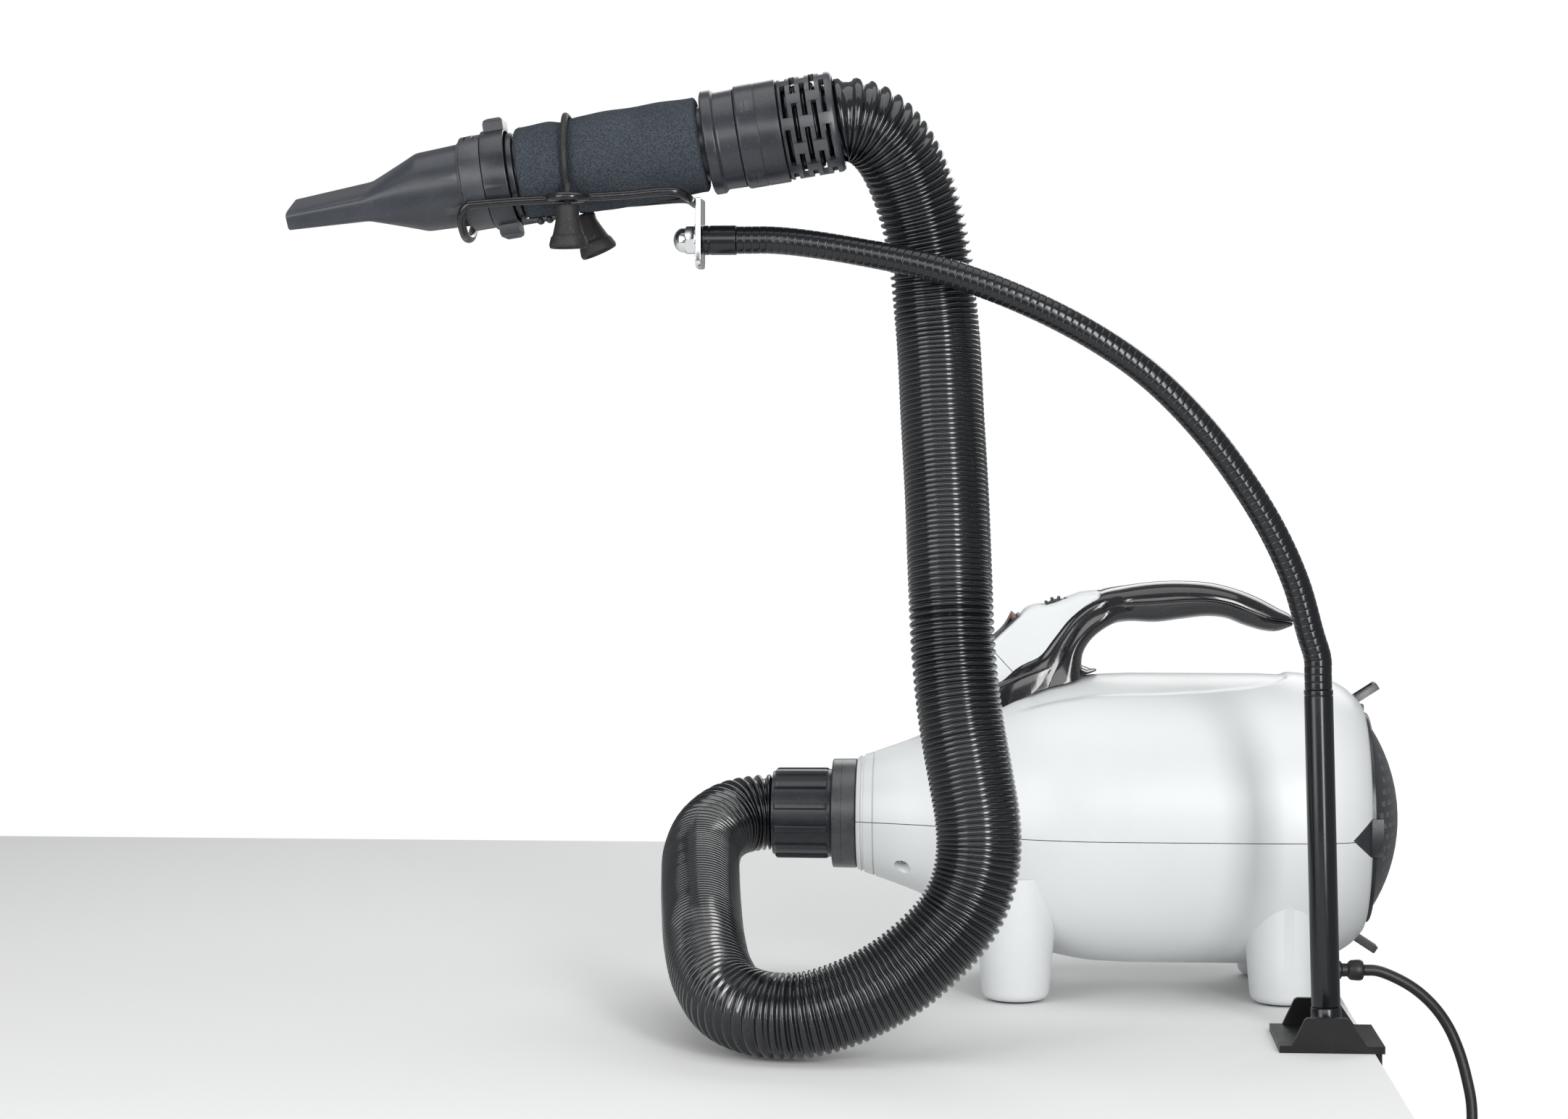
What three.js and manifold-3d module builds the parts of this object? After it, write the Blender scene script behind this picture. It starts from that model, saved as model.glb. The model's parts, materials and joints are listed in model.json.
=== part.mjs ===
// A table-top pet dryer: a zeppelin-shaped blower on four feet, a corrugated hose, a
// handpiece with a foam grip, and the gooseneck arm that holds the handpiece up.
// Millimetres, +X from the outlet to the intake, +Y away from the working side, +Z up.
import * as THREE from 'three';
import { mergeVertices } from 'three/addons/utils/BufferGeometryUtils.js';
import Module from 'manifold-3d';

const wasm = await Module();
wasm.setup();

// ---------------------------------------------------------------- driving dimensions
const seat = 0.3; // clearance between pieces that touch
const runningGap = 0.6; // clearance round pieces that turn

const blower = {
  axisZ: 104.5, bodyR: 88, wall: 2.8, noseR: 34.2, noseX: 15, shoulderX: 255, rearX: 318,
  lip: 3.3, seamZ: 98.5, noseSeamZ: 103, seamJogX: 58, seamJogL: 12, ribX: 264, ribT: 3,
};
const outlet = { ringR: 33.15, ringL: 14.7, boreR: 17.5, spigotR: 19.2, spigotL: 10 };
const foot = { bottomR: 20, growth: 0.08, spread: 50, frontX: 110.7, rearX: 268, rise: 1, edge: 5 };
const pad = { r: 13, t: 3.6 };
const intake = {
  rimR: 62.9, rimX: 306, rimT: 5.4, shelf: 5.5, domeX: 321, apex: 18, skin: 2.2, hole: 6.4, pitch: 14.8,
  margin: 7, filterT: 5,
};
const latch = { w: 15, l: 17.5, t: 2.8, rise: 33, x: 313.2, r: 68.2, wall: 1.8 };
const motor = {
  canR: 40, canX: 196, canL: 62, shaftR: 4, housingR: 52, housingX: 262.5, housingL: 33, sheet: 2, eyeR: 19,
  bossR: 16, bossL: 20, brushR: 24, brushL: 9.5, bootR: 24.3, bootT: 5.6,
};
const fan = { blades: 7, bladeT: 1.6, bladeL: 12, r: 44, hubR: 12 };
const post = { x: 178, t: 4, w: 12, heaterX: 90, heaterT: 3, heaterW: 10 };
const heater = { x: 66, l: 56, half: 27, t: 1.4, coilR: 24.5, wire: 2.2, turns: 4, margin: 7 };
const handle = { collar: 13, baseFront: 53, baseRear: 159, baseHalf: 27, split: 0.4 };
const scoop = { x: 212, l: 140, w: 68, t: 12, lift: 3.4 };
const panel = { half: 21, slope: 43, faceX: 104, faceZ: 217.2, edge: 3, joint: -13.5 };
const rocker = { l: 20.4, w: 13, tilt: 8, proud: 2.2, depth: 5.4, dip: 1.7 };
const switchBody = { l: 24.4, w: 16.4, t: 15, spacing: 18.6, lip: 1.4 };
const wheel = { x: 136.3, z: 224.2, r: 11.2, tooth: 1.6, teeth: 18, w: 5, slot: 7.4 };
const board = { l: 17.4, w: 28, t: 1.6, x: 131, z: 204 };
const gland = { x: 289.4, y: -50, z: 20, bodyR: 5.4, neckR: 3.8, bulbR: 6.1, reach: 25 };
const cord = {
  r: 3.25, sides: 8, steps: 14, coilPitch: 7.2, coilSteps: 14, coilTurns: 8.2, coilSides: 5, layers: 4,
  coilR: 42.8, coilX: 386, coilZ: -138,
};
const plug = { neckR: 4.6, r: 17.4, l: 40, pinR: 2.35, pinL: 19, pinSpacing: 19 };
const nut = { r: 26.6, boreR: 23.4, l: 36.4, ribs: 12, ribH: 1.1, ribW: 4.4, flange: 13.2 };
const hoseSize = { ribR: 23, valleyR: 20.4, boreR: 18.4, ribs: 86, points: 7, boreEvery: 6 };
const wand = {
  x: -57.3, y: -205, z: 491.1, rise: 9.3, tubeR: 20.2, boreR: 18, collarR: 23.6,
  foamR: 26, foamStart: -102.5, foamEnd: -2.5,
};
const nozzle = {
  r: 22.4, collarR: 25.6, wall: 1.9, mouthW: 40, mouthH: 10.5, tip: -231, flare: -186, round: -156,
  collarStart: -133, end: -116.5, roll: 17,
};
const ring = { r: 27, boreR: 25.3, tabR: 32.2, start: -120.6, l: 13, tabW: 17 };
const bead = { r: 2.1, first: -96, pitch: 5, count: 3, y: -4 };
const socket = {
  flangeR: 28.2, flangeL: 6, r: 26.4, boreR: 21.5, sleeveR: 28, cageR: 27.2, l: 29.5, sleeveL: 22.8,
  shoulder: 3, cageEnd: 72, hoseGap: 1, slots: 6, rows: 3, slotW: 20.8,
};
const grip = {
  wire: 2.35, half: 26, leftX: -187, leftZ: 456.6, rightZ: 463.4, crossZ: 459.6,
  eyeX: -129.5, eyeR: 9.7, eyeOut: 5,
};
const bracket = { x: -62.8, t: 3, w: 26, above: 22.1, below: 15.4, corner: 5 };
const elastic = { r: 1.8, wrap: 25, steps: 18 };
const stop = { r: 6, bellR: 10.4, l: 23, nearTilt: 1.5, farTilt: 24 };
const arm = { z: 438.9, studR: 4, poleTop: 190, poleFoot: 16 };
const flex = { r: 7.5, valleyR: 6.7, ribs: 34, points: 6, ferruleR: 8.1, ferruleL: 18, tubeR: 7.9 };
const clamp = {
  x: 276, y: -174, poleX: 280.9, l: 47, w: 68, t: 4, throat: 26, armX: 309, armT: 5, armW: 40, slotW: 10,
  jawT: 6, jawW: 28, jawReach: 14, flangeH: 15, flangeT: 3.6,
};
const screw = {
  x: 280, r: 4, padR: 11, padT: 4, neckR: 7, neckL: 3, gap: 20, l: 62, knobR: 15, knobT: 13, scallopR: 4,
};
const lean = -1.65; // the pole's lean towards the handpiece, in degrees
const facets = { casing: 24, large: 16, medium: 12, small: 8 };

// ---------------------------------------------------------------- sizes that follow from others
const mouthR = intake.rimR + seat; // the casing's rear opening
const lipR = mouthR + blower.lip;
const grilleR = intake.rimR - intake.rimT;

// ---------------------------------------------------------------- materials
const finish = (color, roughness, metalness = 0) =>
  new THREE.MeshStandardMaterial({ color, roughness, metalness });
const looks = {
  casing: finish(0xd3d9d7, 0.42), black: finish(0x16181a, 0.4), gloss: finish(0x08090b, 0.12),
  rubber: finish(0x101112, 0.75), foam: finish(0x232a33, 0.95), chrome: finish(0xc9ccd0, 0.12, 1),
  steel: finish(0x8e9296, 0.35, 1), sponge: finish(0x2a2c2e, 1), mica: finish(0xc8b58a, 0.6),
  motor: finish(0x3a3d40, 0.5, 0.6), board: finish(0x1f5a3a, 0.6),
};

// ---------------------------------------------------------------- solids
// A closed solid from any closed geometry: merged, without slivers, turned outwards.
function solid(source) {
  const bare = source.clone();
  bare.deleteAttribute('normal');
  bare.deleteAttribute('uv');
  const merged = mergeVertices(bare, 1e-4);
  const at = merged.getAttribute('position');
  const index = merged.getIndex().array;
  const kept = [];
  let volume = 0;
  const a = new THREE.Vector3();
  const b = new THREE.Vector3();
  const c = new THREE.Vector3();
  for (let i = 0; i < index.length; i += 3) {
    const [p, q, r] = [index[i], index[i + 1], index[i + 2]];
    if (p === q || q === r || r === p) continue;
    kept.push(p, q, r);
    a.fromBufferAttribute(at, p);
    b.fromBufferAttribute(at, q);
    c.fromBufferAttribute(at, r);
    volume += a.dot(b.cross(c));
  }
  if (volume < 0) kept.reverse();
  return new wasm.Manifold(new wasm.Mesh({
    numProp: 3, vertProperties: new Float32Array(at.array), triVerts: new Uint32Array(kept),
  }));
}

// The geometry of a solid, for a THREE.Mesh.
function geometryOf(body) {
  const shape = body.getMesh();
  const geometry = new THREE.BufferGeometry();
  geometry.setAttribute('position', new THREE.BufferAttribute(new Float32Array(shape.vertProperties), 3));
  geometry.setIndex(new THREE.BufferAttribute(new Uint32Array(shape.triVerts), 1));
  geometry.computeVertexNormals();
  return geometry;
}

const part = new THREE.Group();

// Adds a named piece to a group.
function piece(name, body, material, group = part) {
  const geometry = body.isBufferGeometry ? body : geometryOf(body);
  const mesh = new THREE.Mesh(geometry, material);
  mesh.name = name;
  group.add(mesh);
  return mesh;
}

const rad = THREE.MathUtils.degToRad;
const point = (x, y, z) => new THREE.Vector3(x, y, z);

// A turned solid on the X axis from [x, radius] points, closed on the axis or on itself.
function turned(profile, segments = facets.large) {
  const points = profile.map(([x, r]) => new THREE.Vector2(Math.max(r, 0), x));
  return new THREE.LatheGeometry(points, segments).rotateZ(-Math.PI / 2);
}

const turnedUp = (profile, segments = facets.large) => turned(profile, segments).rotateY(-Math.PI / 2);
const rod = (x0, x1, r, segments = facets.medium) => turned([[x0, 0], [x0, r], [x1, r], [x1, 0]], segments);
const pipe = (x0, x1, r0, r1, segments = facets.large) => turned([
  [x0, r0], [x0, r1], [x1, r1], [x1, r0], [x0, r0],
], segments);
const block = (x0, x1, y0, y1, z0, z1) => new THREE.BoxGeometry(x1 - x0, y1 - y0, z1 - z0)
  .translate((x0 + x1) / 2, (y0 + y1) / 2, (z0 + z1) / 2);
const united = (solids) => wasm.Manifold.union(solids);
const bothSides = (make) => [-1, 1].map(make);

// An outline in the XZ plane, pushed out to half a width either side of y = 0.
function plate(outline, half, bevel = 0, steps = 1) {
  const shape = new THREE.Shape(outline.map(([x, z]) => new THREE.Vector2(x, z)));
  const depth = 2 * (half - bevel);
  return new THREE.ExtrudeGeometry(shape, {
    depth, bevelEnabled: bevel > 0, bevelThickness: bevel, bevelSize: bevel,
    bevelOffset: -bevel, bevelSegments: steps,
  }).translate(0, 0, -depth / 2).rotateX(Math.PI / 2);
}

// A round section of some sides, pushed along a curve.
function tube(curve, r, sides, steps) {
  const section = new THREE.Shape();
  for (let i = 0; i < sides; i += 1) {
    const turn = (2 * Math.PI * i) / sides;
    if (i === 0) section.moveTo(r, 0);
    else section.lineTo(r * Math.cos(turn), r * Math.sin(turn));
  }
  section.closePath();
  return new THREE.ExtrudeGeometry(section, { steps, extrudePath: curve, bevelEnabled: false });
}

const route = (points, closed = false) => new THREE.CatmullRomCurve3(points, closed, 'centripetal');

// A skin over rings of points that all have the same count, with flat ends.
function loft(rings) {
  const count = rings[0].length;
  const corners = rings.flat().flatMap((p) => [p.x, p.y, p.z]);
  const faces = [];
  for (let i = 0; i + 1 < rings.length; i += 1) {
    for (let j = 0; j < count; j += 1) {
      const k = (j + 1) % count;
      const [a, b, c, d] = [i * count + j, i * count + k, (i + 1) * count + j, (i + 1) * count + k];
      faces.push(a, b, d, a, d, c);
    }
  }
  [0, rings.length - 1].forEach((i, side) => {
    const centre = rings[i].reduce((sum, p) => sum.add(p), point(0, 0, 0)).divideScalar(count);
    const middle = corners.length / 3;
    corners.push(centre.x, centre.y, centre.z);
    for (let j = 0; j < count; j += 1) {
      const [a, b] = [i * count + j, i * count + ((j + 1) % count)];
      faces.push(...(side === 0 ? [middle, b, a] : [middle, a, b]));
    }
  });
  const geometry = new THREE.BufferGeometry();
  geometry.setAttribute('position', new THREE.Float32BufferAttribute(corners, 3));
  geometry.setIndex(faces);
  return geometry;
}

// Moves a geometry or group onto the blower's axis.
const onAxis = (geometry) => geometry.translate(0, 0, blower.axisZ);
const onBlower = (body) => body.translate([0, 0, blower.axisZ]);

// ---------------------------------------------------------------- casings
// The outer skin from nose to rear: radii as shares of the way from the nose, or from the rear
// lip, to the body's full radius.
const noseReach = blower.bodyR - blower.noseR;
const tailReach = blower.bodyR - lipR;
const noseCurve = new THREE.SplineCurve([
  [blower.noseX, 0], [27, 0.0743], [52, 0.2454], [85, 0.5446], [118, 0.8234], [150, 0.9684], [178, 1],
].map(([x, share]) => new THREE.Vector2(x, blower.noseR + noseReach * share)));
const tailCurve = new THREE.SplineCurve([
  [blower.shoulderX, 1], [280, 0.9349], [297, 0.7767], [308, 0.507], [314.5, 0.2326], [blower.rearX, 0],
].map(([x, share]) => new THREE.Vector2(x, lipR + tailReach * share)));

function skin(grow, noseSteps = 6, tailSteps = 4) {
  const outline = [...noseCurve.getPoints(noseSteps), ...tailCurve.getPoints(tailSteps)];
  return outline.map((p) => [p.x, p.y + grow]);
}

// The body inside the outer skin, grown by some clearance.
function filled(grow, back = 0) {
  const line = skin(grow);
  line[line.length - 1][0] += back;
  return solid(onAxis(turned([[line[0][0], 0], ...line, [line[line.length - 1][0], 0]], facets.casing)));
}

function cavity() {
  const inside = ([x]) => x > blower.noseX + blower.wall && x < blower.rearX - 6;
  const line = skin(-blower.wall, 3, 2).filter(inside);
  const bore = outlet.boreR + 2;
  const shelf = blower.rearX - 12;
  return solid(onAxis(turned([
    [blower.noseX - 5, 0], [blower.noseX - 5, bore], [line[0][0], bore], ...line,
    [shelf, mouthR], [blower.rearX + 5, mouthR], [blower.rearX + 5, 0],
  ], facets.casing)));
}

// The space above or below the parting line, which steps down from the nose to the body.
function seamBlock(above) {
  const jogStart = blower.seamJogX - blower.seamJogL / 2;
  const shift = above ? seat / 2 : -seat / 2;
  const edge = above ? 3 * blower.bodyR : -blower.bodyR;
  const [front, back] = [-blower.bodyR, blower.rearX + blower.bodyR];
  const [nose, body] = [blower.noseSeamZ + shift, blower.seamZ + shift];
  return solid(plate([
    [front, nose], [jogStart, nose], [jogStart + blower.seamJogL, body], [back, body], [back, edge],
    [front, edge],
  ], 2 * blower.bodyR));
}

const feet = [['front', foot.frontX], ['rear', foot.rearX]].flatMap(([end, x]) => [['near', -1], ['far', 1]].map(
  ([side, sign]) => ({ name: `foot_pad_${end}_${side}`, x, y: sign * foot.spread }),
));

function footPods() {
  const height = blower.axisZ - blower.bodyR / 3;
  const profile = [
    [foot.rise, 0], [foot.rise, foot.bottomR - foot.edge], [foot.rise + 1.5, foot.bottomR - 1.6],
    [foot.rise + foot.edge, foot.bottomR], [height, foot.bottomR + height * foot.growth], [height, 0],
  ];
  return united(feet.map(({ x, y }) => solid(turnedUp(profile, facets.medium).translate(x, y, 0))));
}

// Straps across the inside that carry the motor's ends and the heater.
function innerRibs() {
  const bootR = motor.housingR + motor.bootT + runningGap;
  const strap = pipe(blower.ribX, blower.ribX + blower.ribT, bootR, blower.bodyR - 1, facets.casing);
  const reach = (low, high, side) => (side > 0 ? [low, high] : [-high, -low]);
  const posts = bothSides((side) => {
    const boot = reach(motor.bootR + seat, blower.bodyR - 1, side);
    const ends = reach(heater.half + seat, blower.bodyR, side);
    const { x, t, w, heaterX, heaterT, heaterW } = post;
    const motorPost = block(x, x + t, -w / 2, w / 2, ...boot);
    const heaterPost = block(heaterX, heaterX + heaterT, -heaterW / 2, heaterW / 2, ...ends);
    return solid(onAxis(motorPost)).add(solid(onAxis(heaterPost)));
  });
  return united([solid(onAxis(strap)), ...posts]).intersect(filled(-1));
}

// The notch in each side of the casing's rear edge, in which the intake rim's tabs lie.
const tabZone = { x: 305.5, h: 22, slant: 11.5, inset: 58 };

function sideNotch(grow) {
  const z = blower.seamZ + 1;
  const { x, slant, inset } = tabZone;
  const half = tabZone.h / 2 + grow;
  const back = blower.rearX + 22;
  const outline = [
    [x - grow, z], [x + slant, z + half], [back, z + half], [back, z - half], [x + slant, z - half],
  ];
  const middle = block(x - 20, back + 5, -inset, inset, z - 3 * half, z + 3 * half);
  return solid(plate(outline, blower.bodyR + 2)).subtract(solid(middle));
}

const screwSpot = { x: 42.7, y: 27, r: 4.6, headZ: 84, bossWall: 2 };

function screwBores() {
  const { x, y, r, headZ } = screwSpot;
  const bore = turnedUp([[20, 0], [20, r], [headZ, r], [headZ, 0]], facets.small);
  return bothSides((side) => solid(bore.clone().translate(x, side * y, 0)));
}

function screwBosses() {
  const { x, y, r, headZ, bossWall } = screwSpot;
  const top = blower.noseSeamZ - seat;
  const boss = turnedUp([
    [headZ - 24, 0], [headZ - 24, r + bossWall], [top, r + bossWall], [top, 0],
  ], facets.small);
  return united(bothSides((side) => solid(boss.clone().translate(x, side * y, 0)))).intersect(filled(-1));
}

function buildCasings() {
  const outer = filled(0);
  const inner = cavity();
  const ribs = innerRibs();
  const deep = latch.w / 2 + runningGap;
  const latchCuts = bothSides((side) => solid(onAxis(block(
    latch.x - 8, blower.rearX + 12, -deep, deep, Math.min(side * (intake.rimR - 3), side * (latch.r + 8)),
    Math.max(side * (intake.rimR - 3), side * (latch.r + 8)),
  ))));
  const cuts = united([sideNotch(seat + 0.1), ...latchCuts]);
  const dish = solid(new THREE.SphereGeometry(1, facets.large, facets.small)
    .scale(scoop.l / 2, scoop.w / 2, scoop.t / 2)
    .translate(scoop.x, 0, blower.axisZ + blower.bodyR + scoop.lift));
  const groove = solid(onAxis(pipe(blower.noseX + 6, blower.noseX + 7.1, blower.noseR + 1.7, 60, facets.casing)));
  const upper = outer.subtract(inner).add(ribs).subtract(cuts).intersect(seamBlock(true)).subtract(dish);
  const padCut = turnedUp([
    [-1, 0], [-1, pad.r + seat], [pad.t + seat, pad.r + seat], [pad.t + seat, 0],
  ], facets.small);
  const padCuts = feet.map(({ x, y }) => solid(padCut.clone().translate(x, y, 0)));
  const glandBore = solid(rod(gland.x - 8, gland.x + 5, gland.neckR + seat).translate(0, gland.y, gland.z));
  const lower = outer.add(footPods()).subtract(inner).add(ribs).add(screwBosses()).subtract(cuts)
    .intersect(seamBlock(false)).subtract(united([...screwBores(), ...padCuts, glandBore]));
  piece('upper_casing', largest(upper.subtract(groove)), looks.casing);
  piece('lower_casing', largest(lower.subtract(groove)), looks.casing);
  const profile = [[0, 0], [0, pad.r - 1], [1, pad.r], [pad.t, pad.r], [pad.t, 0]];
  feet.forEach(({ name, x, y }) => {
    piece(name, solid(turnedUp(profile, facets.small).translate(x, y, 0)), looks.rubber);
  });
}

// The largest connected body of a solid.
function largest(body) {
  return body.decompose().sort((a, b) => b.volume() - a.volume())[0];
}

// ---------------------------------------------------------------- outlet and coupling nut
function buildOutlet() {
  const { ringR, ringL, boreR, spigotR, spigotL } = outlet;
  piece('outlet_ring', solid(onAxis(turned([
    [-spigotL, boreR], [-spigotL, spigotR], [0, spigotR], [0, ringR - 1], [1, ringR], [ringL, ringR],
    [ringL, boreR],
    [-spigotL, boreR],
  ], facets.casing))), looks.black);
  let body = solid(turned([
    [-nut.l, nut.boreR], [-nut.l, nut.r - 1.6], [-nut.l + 1.6, nut.r - 0.4], [-seat, nut.r - 0.4],
    [-seat, spigotR + runningGap], [-nut.flange, spigotR + runningGap], [-nut.flange, nut.boreR],
    [-nut.l, nut.boreR],
  ], facets.casing));
  for (let i = 0; i < nut.ribs; i += 1) {
    const rib = block(-nut.l + 2, -seat, -nut.ribW / 2, nut.ribW / 2, nut.r - 1.6, nut.r + nut.ribH);
    body = body.add(solid(rib.rotateX((2 * Math.PI * i) / nut.ribs)));
  }
  const group = new THREE.Group();
  group.position.z = blower.axisZ;
  piece('coupling_nut', body, looks.black, group);
  part.add(group);
}

// ---------------------------------------------------------------- intake
// A latch's lever in its own frame, grown by some clearance: x along it, z out of it.
function lever(grow = 0) {
  const { w, l, t, wall } = latch;
  const bar = solid(block(-grow, l + grow, -w / 2 - grow, w / 2 + grow, -grow, t + 1.6 + grow));
  const hollow = solid(block(3, l - wall, -w / 2 + wall, w / 2 - wall, wall, t + 5));
  return grow > 0 ? bar : bar.subtract(hollow);
}

// The space that a latch takes up on the blower, with some clearance round it.
function latchSpace(side, grow) {
  const placed = lever(grow).rotate([0, -latch.rise, 0]).translate([latch.x, 0, latch.r]);
  return onBlower(side > 0 ? placed : placed.rotate([180, 0, 0]));
}

function buildIntake() {
  const { rimR, rimX, shelf, domeX, apex, skin: thick, hole, pitch, margin, filterT } = intake;
  const ledge = grilleR - shelf;
  const rim = solid(onAxis(turned([
    [rimX, ledge], [rimX, rimR], [domeX - 1, rimR], [domeX, rimR - 1], [domeX, grilleR + seat],
    [rimX + 2, grilleR + seat], [rimX + 2, ledge], [rimX, ledge],
  ], facets.casing)));
  const around = 2 * blower.bodyR;
  const outside = solid(block(tabZone.x - 25, domeX + 24, -around, around, -around, 2 * around))
    .subtract(filled(-1.6, 8));
  const tabs = sideNotch(0).subtract(solid(block(domeX + 3, domeX + 24, -around, around, 0, around)))
    .subtract(outside);
  const seats = bothSides((side) => {
    const [low, high] = [rimR - 1.6, latch.r - seat];
    const lug = block(latch.x - 5, latch.x + 5.4, -latch.w / 2 + 2, latch.w / 2 - 2, low, high);
    return solid(onAxis(side > 0 ? lug : lug.rotateX(Math.PI)));
  });
  const spaces = united(bothSides((side) => latchSpace(side, seat - 0.05)));
  piece('intake_rim', largest(united([rim, tabs, ...seats]).subtract(spaces)), looks.black);

  const foam = rimX + 2 + seat;
  piece('foam_filter', solid(onAxis(rod(foam, foam + filterT, grilleR - 0.2, facets.casing))), looks.sponge);

  const bow = (grilleR * grilleR + apex * apex) / (2 * apex);
  const skirt = foam + filterT + seat;
  const dome = (r) => domeX + apex - (bow - Math.sqrt(bow * bow - r * r));
  const radii = [grilleR * 0.765, grilleR * 0.435];
  const inside = grilleR - thick - 0.6;
  const cap = solid(turned([
    [skirt, inside], [skirt, grilleR], [domeX, grilleR], ...radii.map((r) => [dome(r), r]), [domeX + apex, 0],
    [domeX + apex - thick, 0], [dome(radii[0]) - thick, radii[0]], [domeX - thick * 0.4, inside],
    [skirt, inside],
  ], facets.casing));
  const rowPitch = pitch * Math.sqrt(0.75);
  const rows = Math.floor((grilleR - margin) / rowPitch);
  const pins = [];
  for (let row = -rows; row <= rows; row += 1) {
    const z = row * rowPitch;
    const offset = row % 2 === 0 ? 0 : pitch / 2;
    for (let i = -rows; i <= rows; i += 1) {
      const y = i * pitch + offset;
      const pin = block(skirt + 3, domeX + apex + 2, y - hole / 2, y + hole / 2, z - hole / 2, z + hole / 2);
      if (Math.hypot(y, z) <= grilleR - margin) pins.push(solid(pin));
    }
  }
  piece('intake_grille', onBlower(cap.subtract(united(pins))), looks.black);

  [['upper_latch', 1], ['lower_latch', -1]].forEach(([name, side]) => {
    const holder = new THREE.Group();
    holder.position.set(latch.x, 0, blower.axisZ + side * latch.r);
    holder.rotation.x = side > 0 ? 0 : Math.PI;
    holder.rotation.y = -rad(latch.rise);
    piece(name, lever(), looks.black, holder);
    part.add(holder);
  });
}

// ---------------------------------------------------------------- motor and heater
function buildMotor() {
  const { canR, canX, canL, shaftR, housingR, housingX, housingL, sheet, eyeR } = motor;
  const { bossR, bossL, brushR, brushL, bootR, bootT } = motor;
  const rear = housingX + housingL;
  const boss = canX - bossL;
  const bore = shaftR + runningGap;
  const join = canX + canL + seat;
  const add = (name, body, look) => piece(name, solid(onAxis(body)), look);
  add('motor_can', turned([
    [boss, bore], [boss, bossR], [canX - brushL, bossR], [canX - brushL, brushR], [canX, brushR],
    [canX, canR],
    [canX + canL, canR], [canX + canL, bore], [boss, bore],
  ], facets.medium), looks.motor);
  add('fan_housing', turned([
    [join, bore], [join, canR], [housingX, housingR], [rear, housingR], [rear, eyeR], [rear - sheet, eyeR],
    [rear - sheet, housingR - sheet], [housingX + sheet, housingR - sheet], [housingX + sheet, bore],
    [join, bore],
  ], facets.medium), looks.motor);
  add('motor_shaft', rod(boss + 2, rear - 5, shaftR, facets.medium), looks.steel);
  const { blades, bladeT, bladeL, r, hubR } = fan;
  const disc = housingX + 8;
  const press = shaftR + 0.05;
  const hub = solid(turned([
    [disc, press], [disc, r], [disc + 2, r], [disc + 2, hubR], [rear - 6, hubR - 3], [rear - 6, press],
    [disc, press],
  ], facets.medium));
  const vanes = Array.from({ length: blades }, (_, i) => solid(
    block(disc + 1, disc + 1 + bladeL, -bladeT / 2, bladeT / 2, hubR - 2, r - 1).rotateX((2 * Math.PI * i) / blades),
  ));
  piece('impeller', onBlower(united([hub, ...vanes])), looks.steel);
  const { ribX, ribT } = blower;
  const boot = pipe(ribX - 4, ribX + ribT + 4, housingR + seat, housingR + seat + bootT, facets.medium);
  add('rear_motor_mount', boot, looks.rubber);
  add('front_motor_mount', pipe(boss, canX - brushL - seat, bossR + seat, bootR, facets.medium), looks.rubber);
}

// A cross of two mica sheets, notched for the wire that winds round it.
function buildHeater() {
  const { x, l, half, t, coilR, wire, turns, margin } = heater;
  const upright = solid(block(x, x + l, -t / 2, t / 2, -half, half));
  const level = solid(block(x, x + l, -half, half, -t / 2, t / 2));
  const [perTurn, corners] = [8, 4];
  const pitch = (l - 2 * margin) / turns;
  const winding = Array.from({ length: turns * perTurn + 1 }, (_, i) => {
    const turn = (2 * Math.PI * i) / perTurn;
    const middle = x + margin + (pitch * i) / perTurn;
    return Array.from({ length: corners }, (_unused, k) => {
      const around = (2 * Math.PI * k) / corners;
      const reach = coilR + (wire / 2) * Math.cos(around);
      return point(middle + (wire / 2) * Math.sin(around), reach * Math.cos(turn), reach * Math.sin(turn));
    });
  });
  const side = wire / 2 + runningGap;
  const notches = Array.from({ length: turns * 4 + 1 }, (_, i) => {
    const middle = x + margin + (pitch * i) / 4;
    const notch = block(middle - side, middle + side, coilR - side, half + 1, -t, t);
    return solid(notch.rotateX((Math.PI * i) / 2));
  });
  piece('heater_frame', onBlower(upright.add(level).subtract(united(notches))), looks.mica);
  piece('heater_coil', onBlower(solid(loft(winding))), looks.steel);
}

// ---------------------------------------------------------------- handle and control panel
const spine = [
  { x: 276.2, z: 221.7, h: 2.4, w: 7 }, { x: 272, z: 222.6, h: 5, w: 10.5 },
  { x: 264, z: 223.6, h: 7.6, w: 13 },
  { x: 251, z: 228.4, h: 9.2, w: 14.6 }, { x: 239, z: 233, h: 9.2, w: 15.4 },
  { x: 225.5, z: 235.3, h: 10.1, w: 16 },
  { x: 209.4, z: 235, h: 11.4, w: 16 }, { x: 194, z: 233.7, h: 12.1, w: 16 },
  { x: 177, z: 232.8, h: 10.8, w: 16 },
  { x: 162.5, z: 229.6, h: 10.4, w: 16.4 }, { x: 149.5, z: 220, h: 10.2, w: 17.2 },
  { x: 140.8, z: 208, h: 10.6, w: 18.6 },
  { x: 137.5, z: 196, h: 13, w: 21 }, { x: 136, z: 184, h: 19, w: 24.5 }, { x: 135, z: 172, h: 23, w: 26 },
];

// The grip's whole skin, grown by some clearance.
function gripWhole(grow) {
  const line = route(spine.map((s) => point(s.x, 0, s.z)));
  const steps = facets.medium - 2;
  return solid(loft(spine.map((s, i) => {
    const along = line.getTangent(i / (spine.length - 1));
    const out = point(-along.z, 0, along.x);
    return Array.from({ length: steps }, (_, k) => {
      const turn = (2 * Math.PI * k) / steps;
      return point(s.x, (s.w + grow) * Math.cos(turn), s.z)
        .addScaledVector(out, (s.h + grow) * Math.sin(turn));
    });
  })));
}

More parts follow.
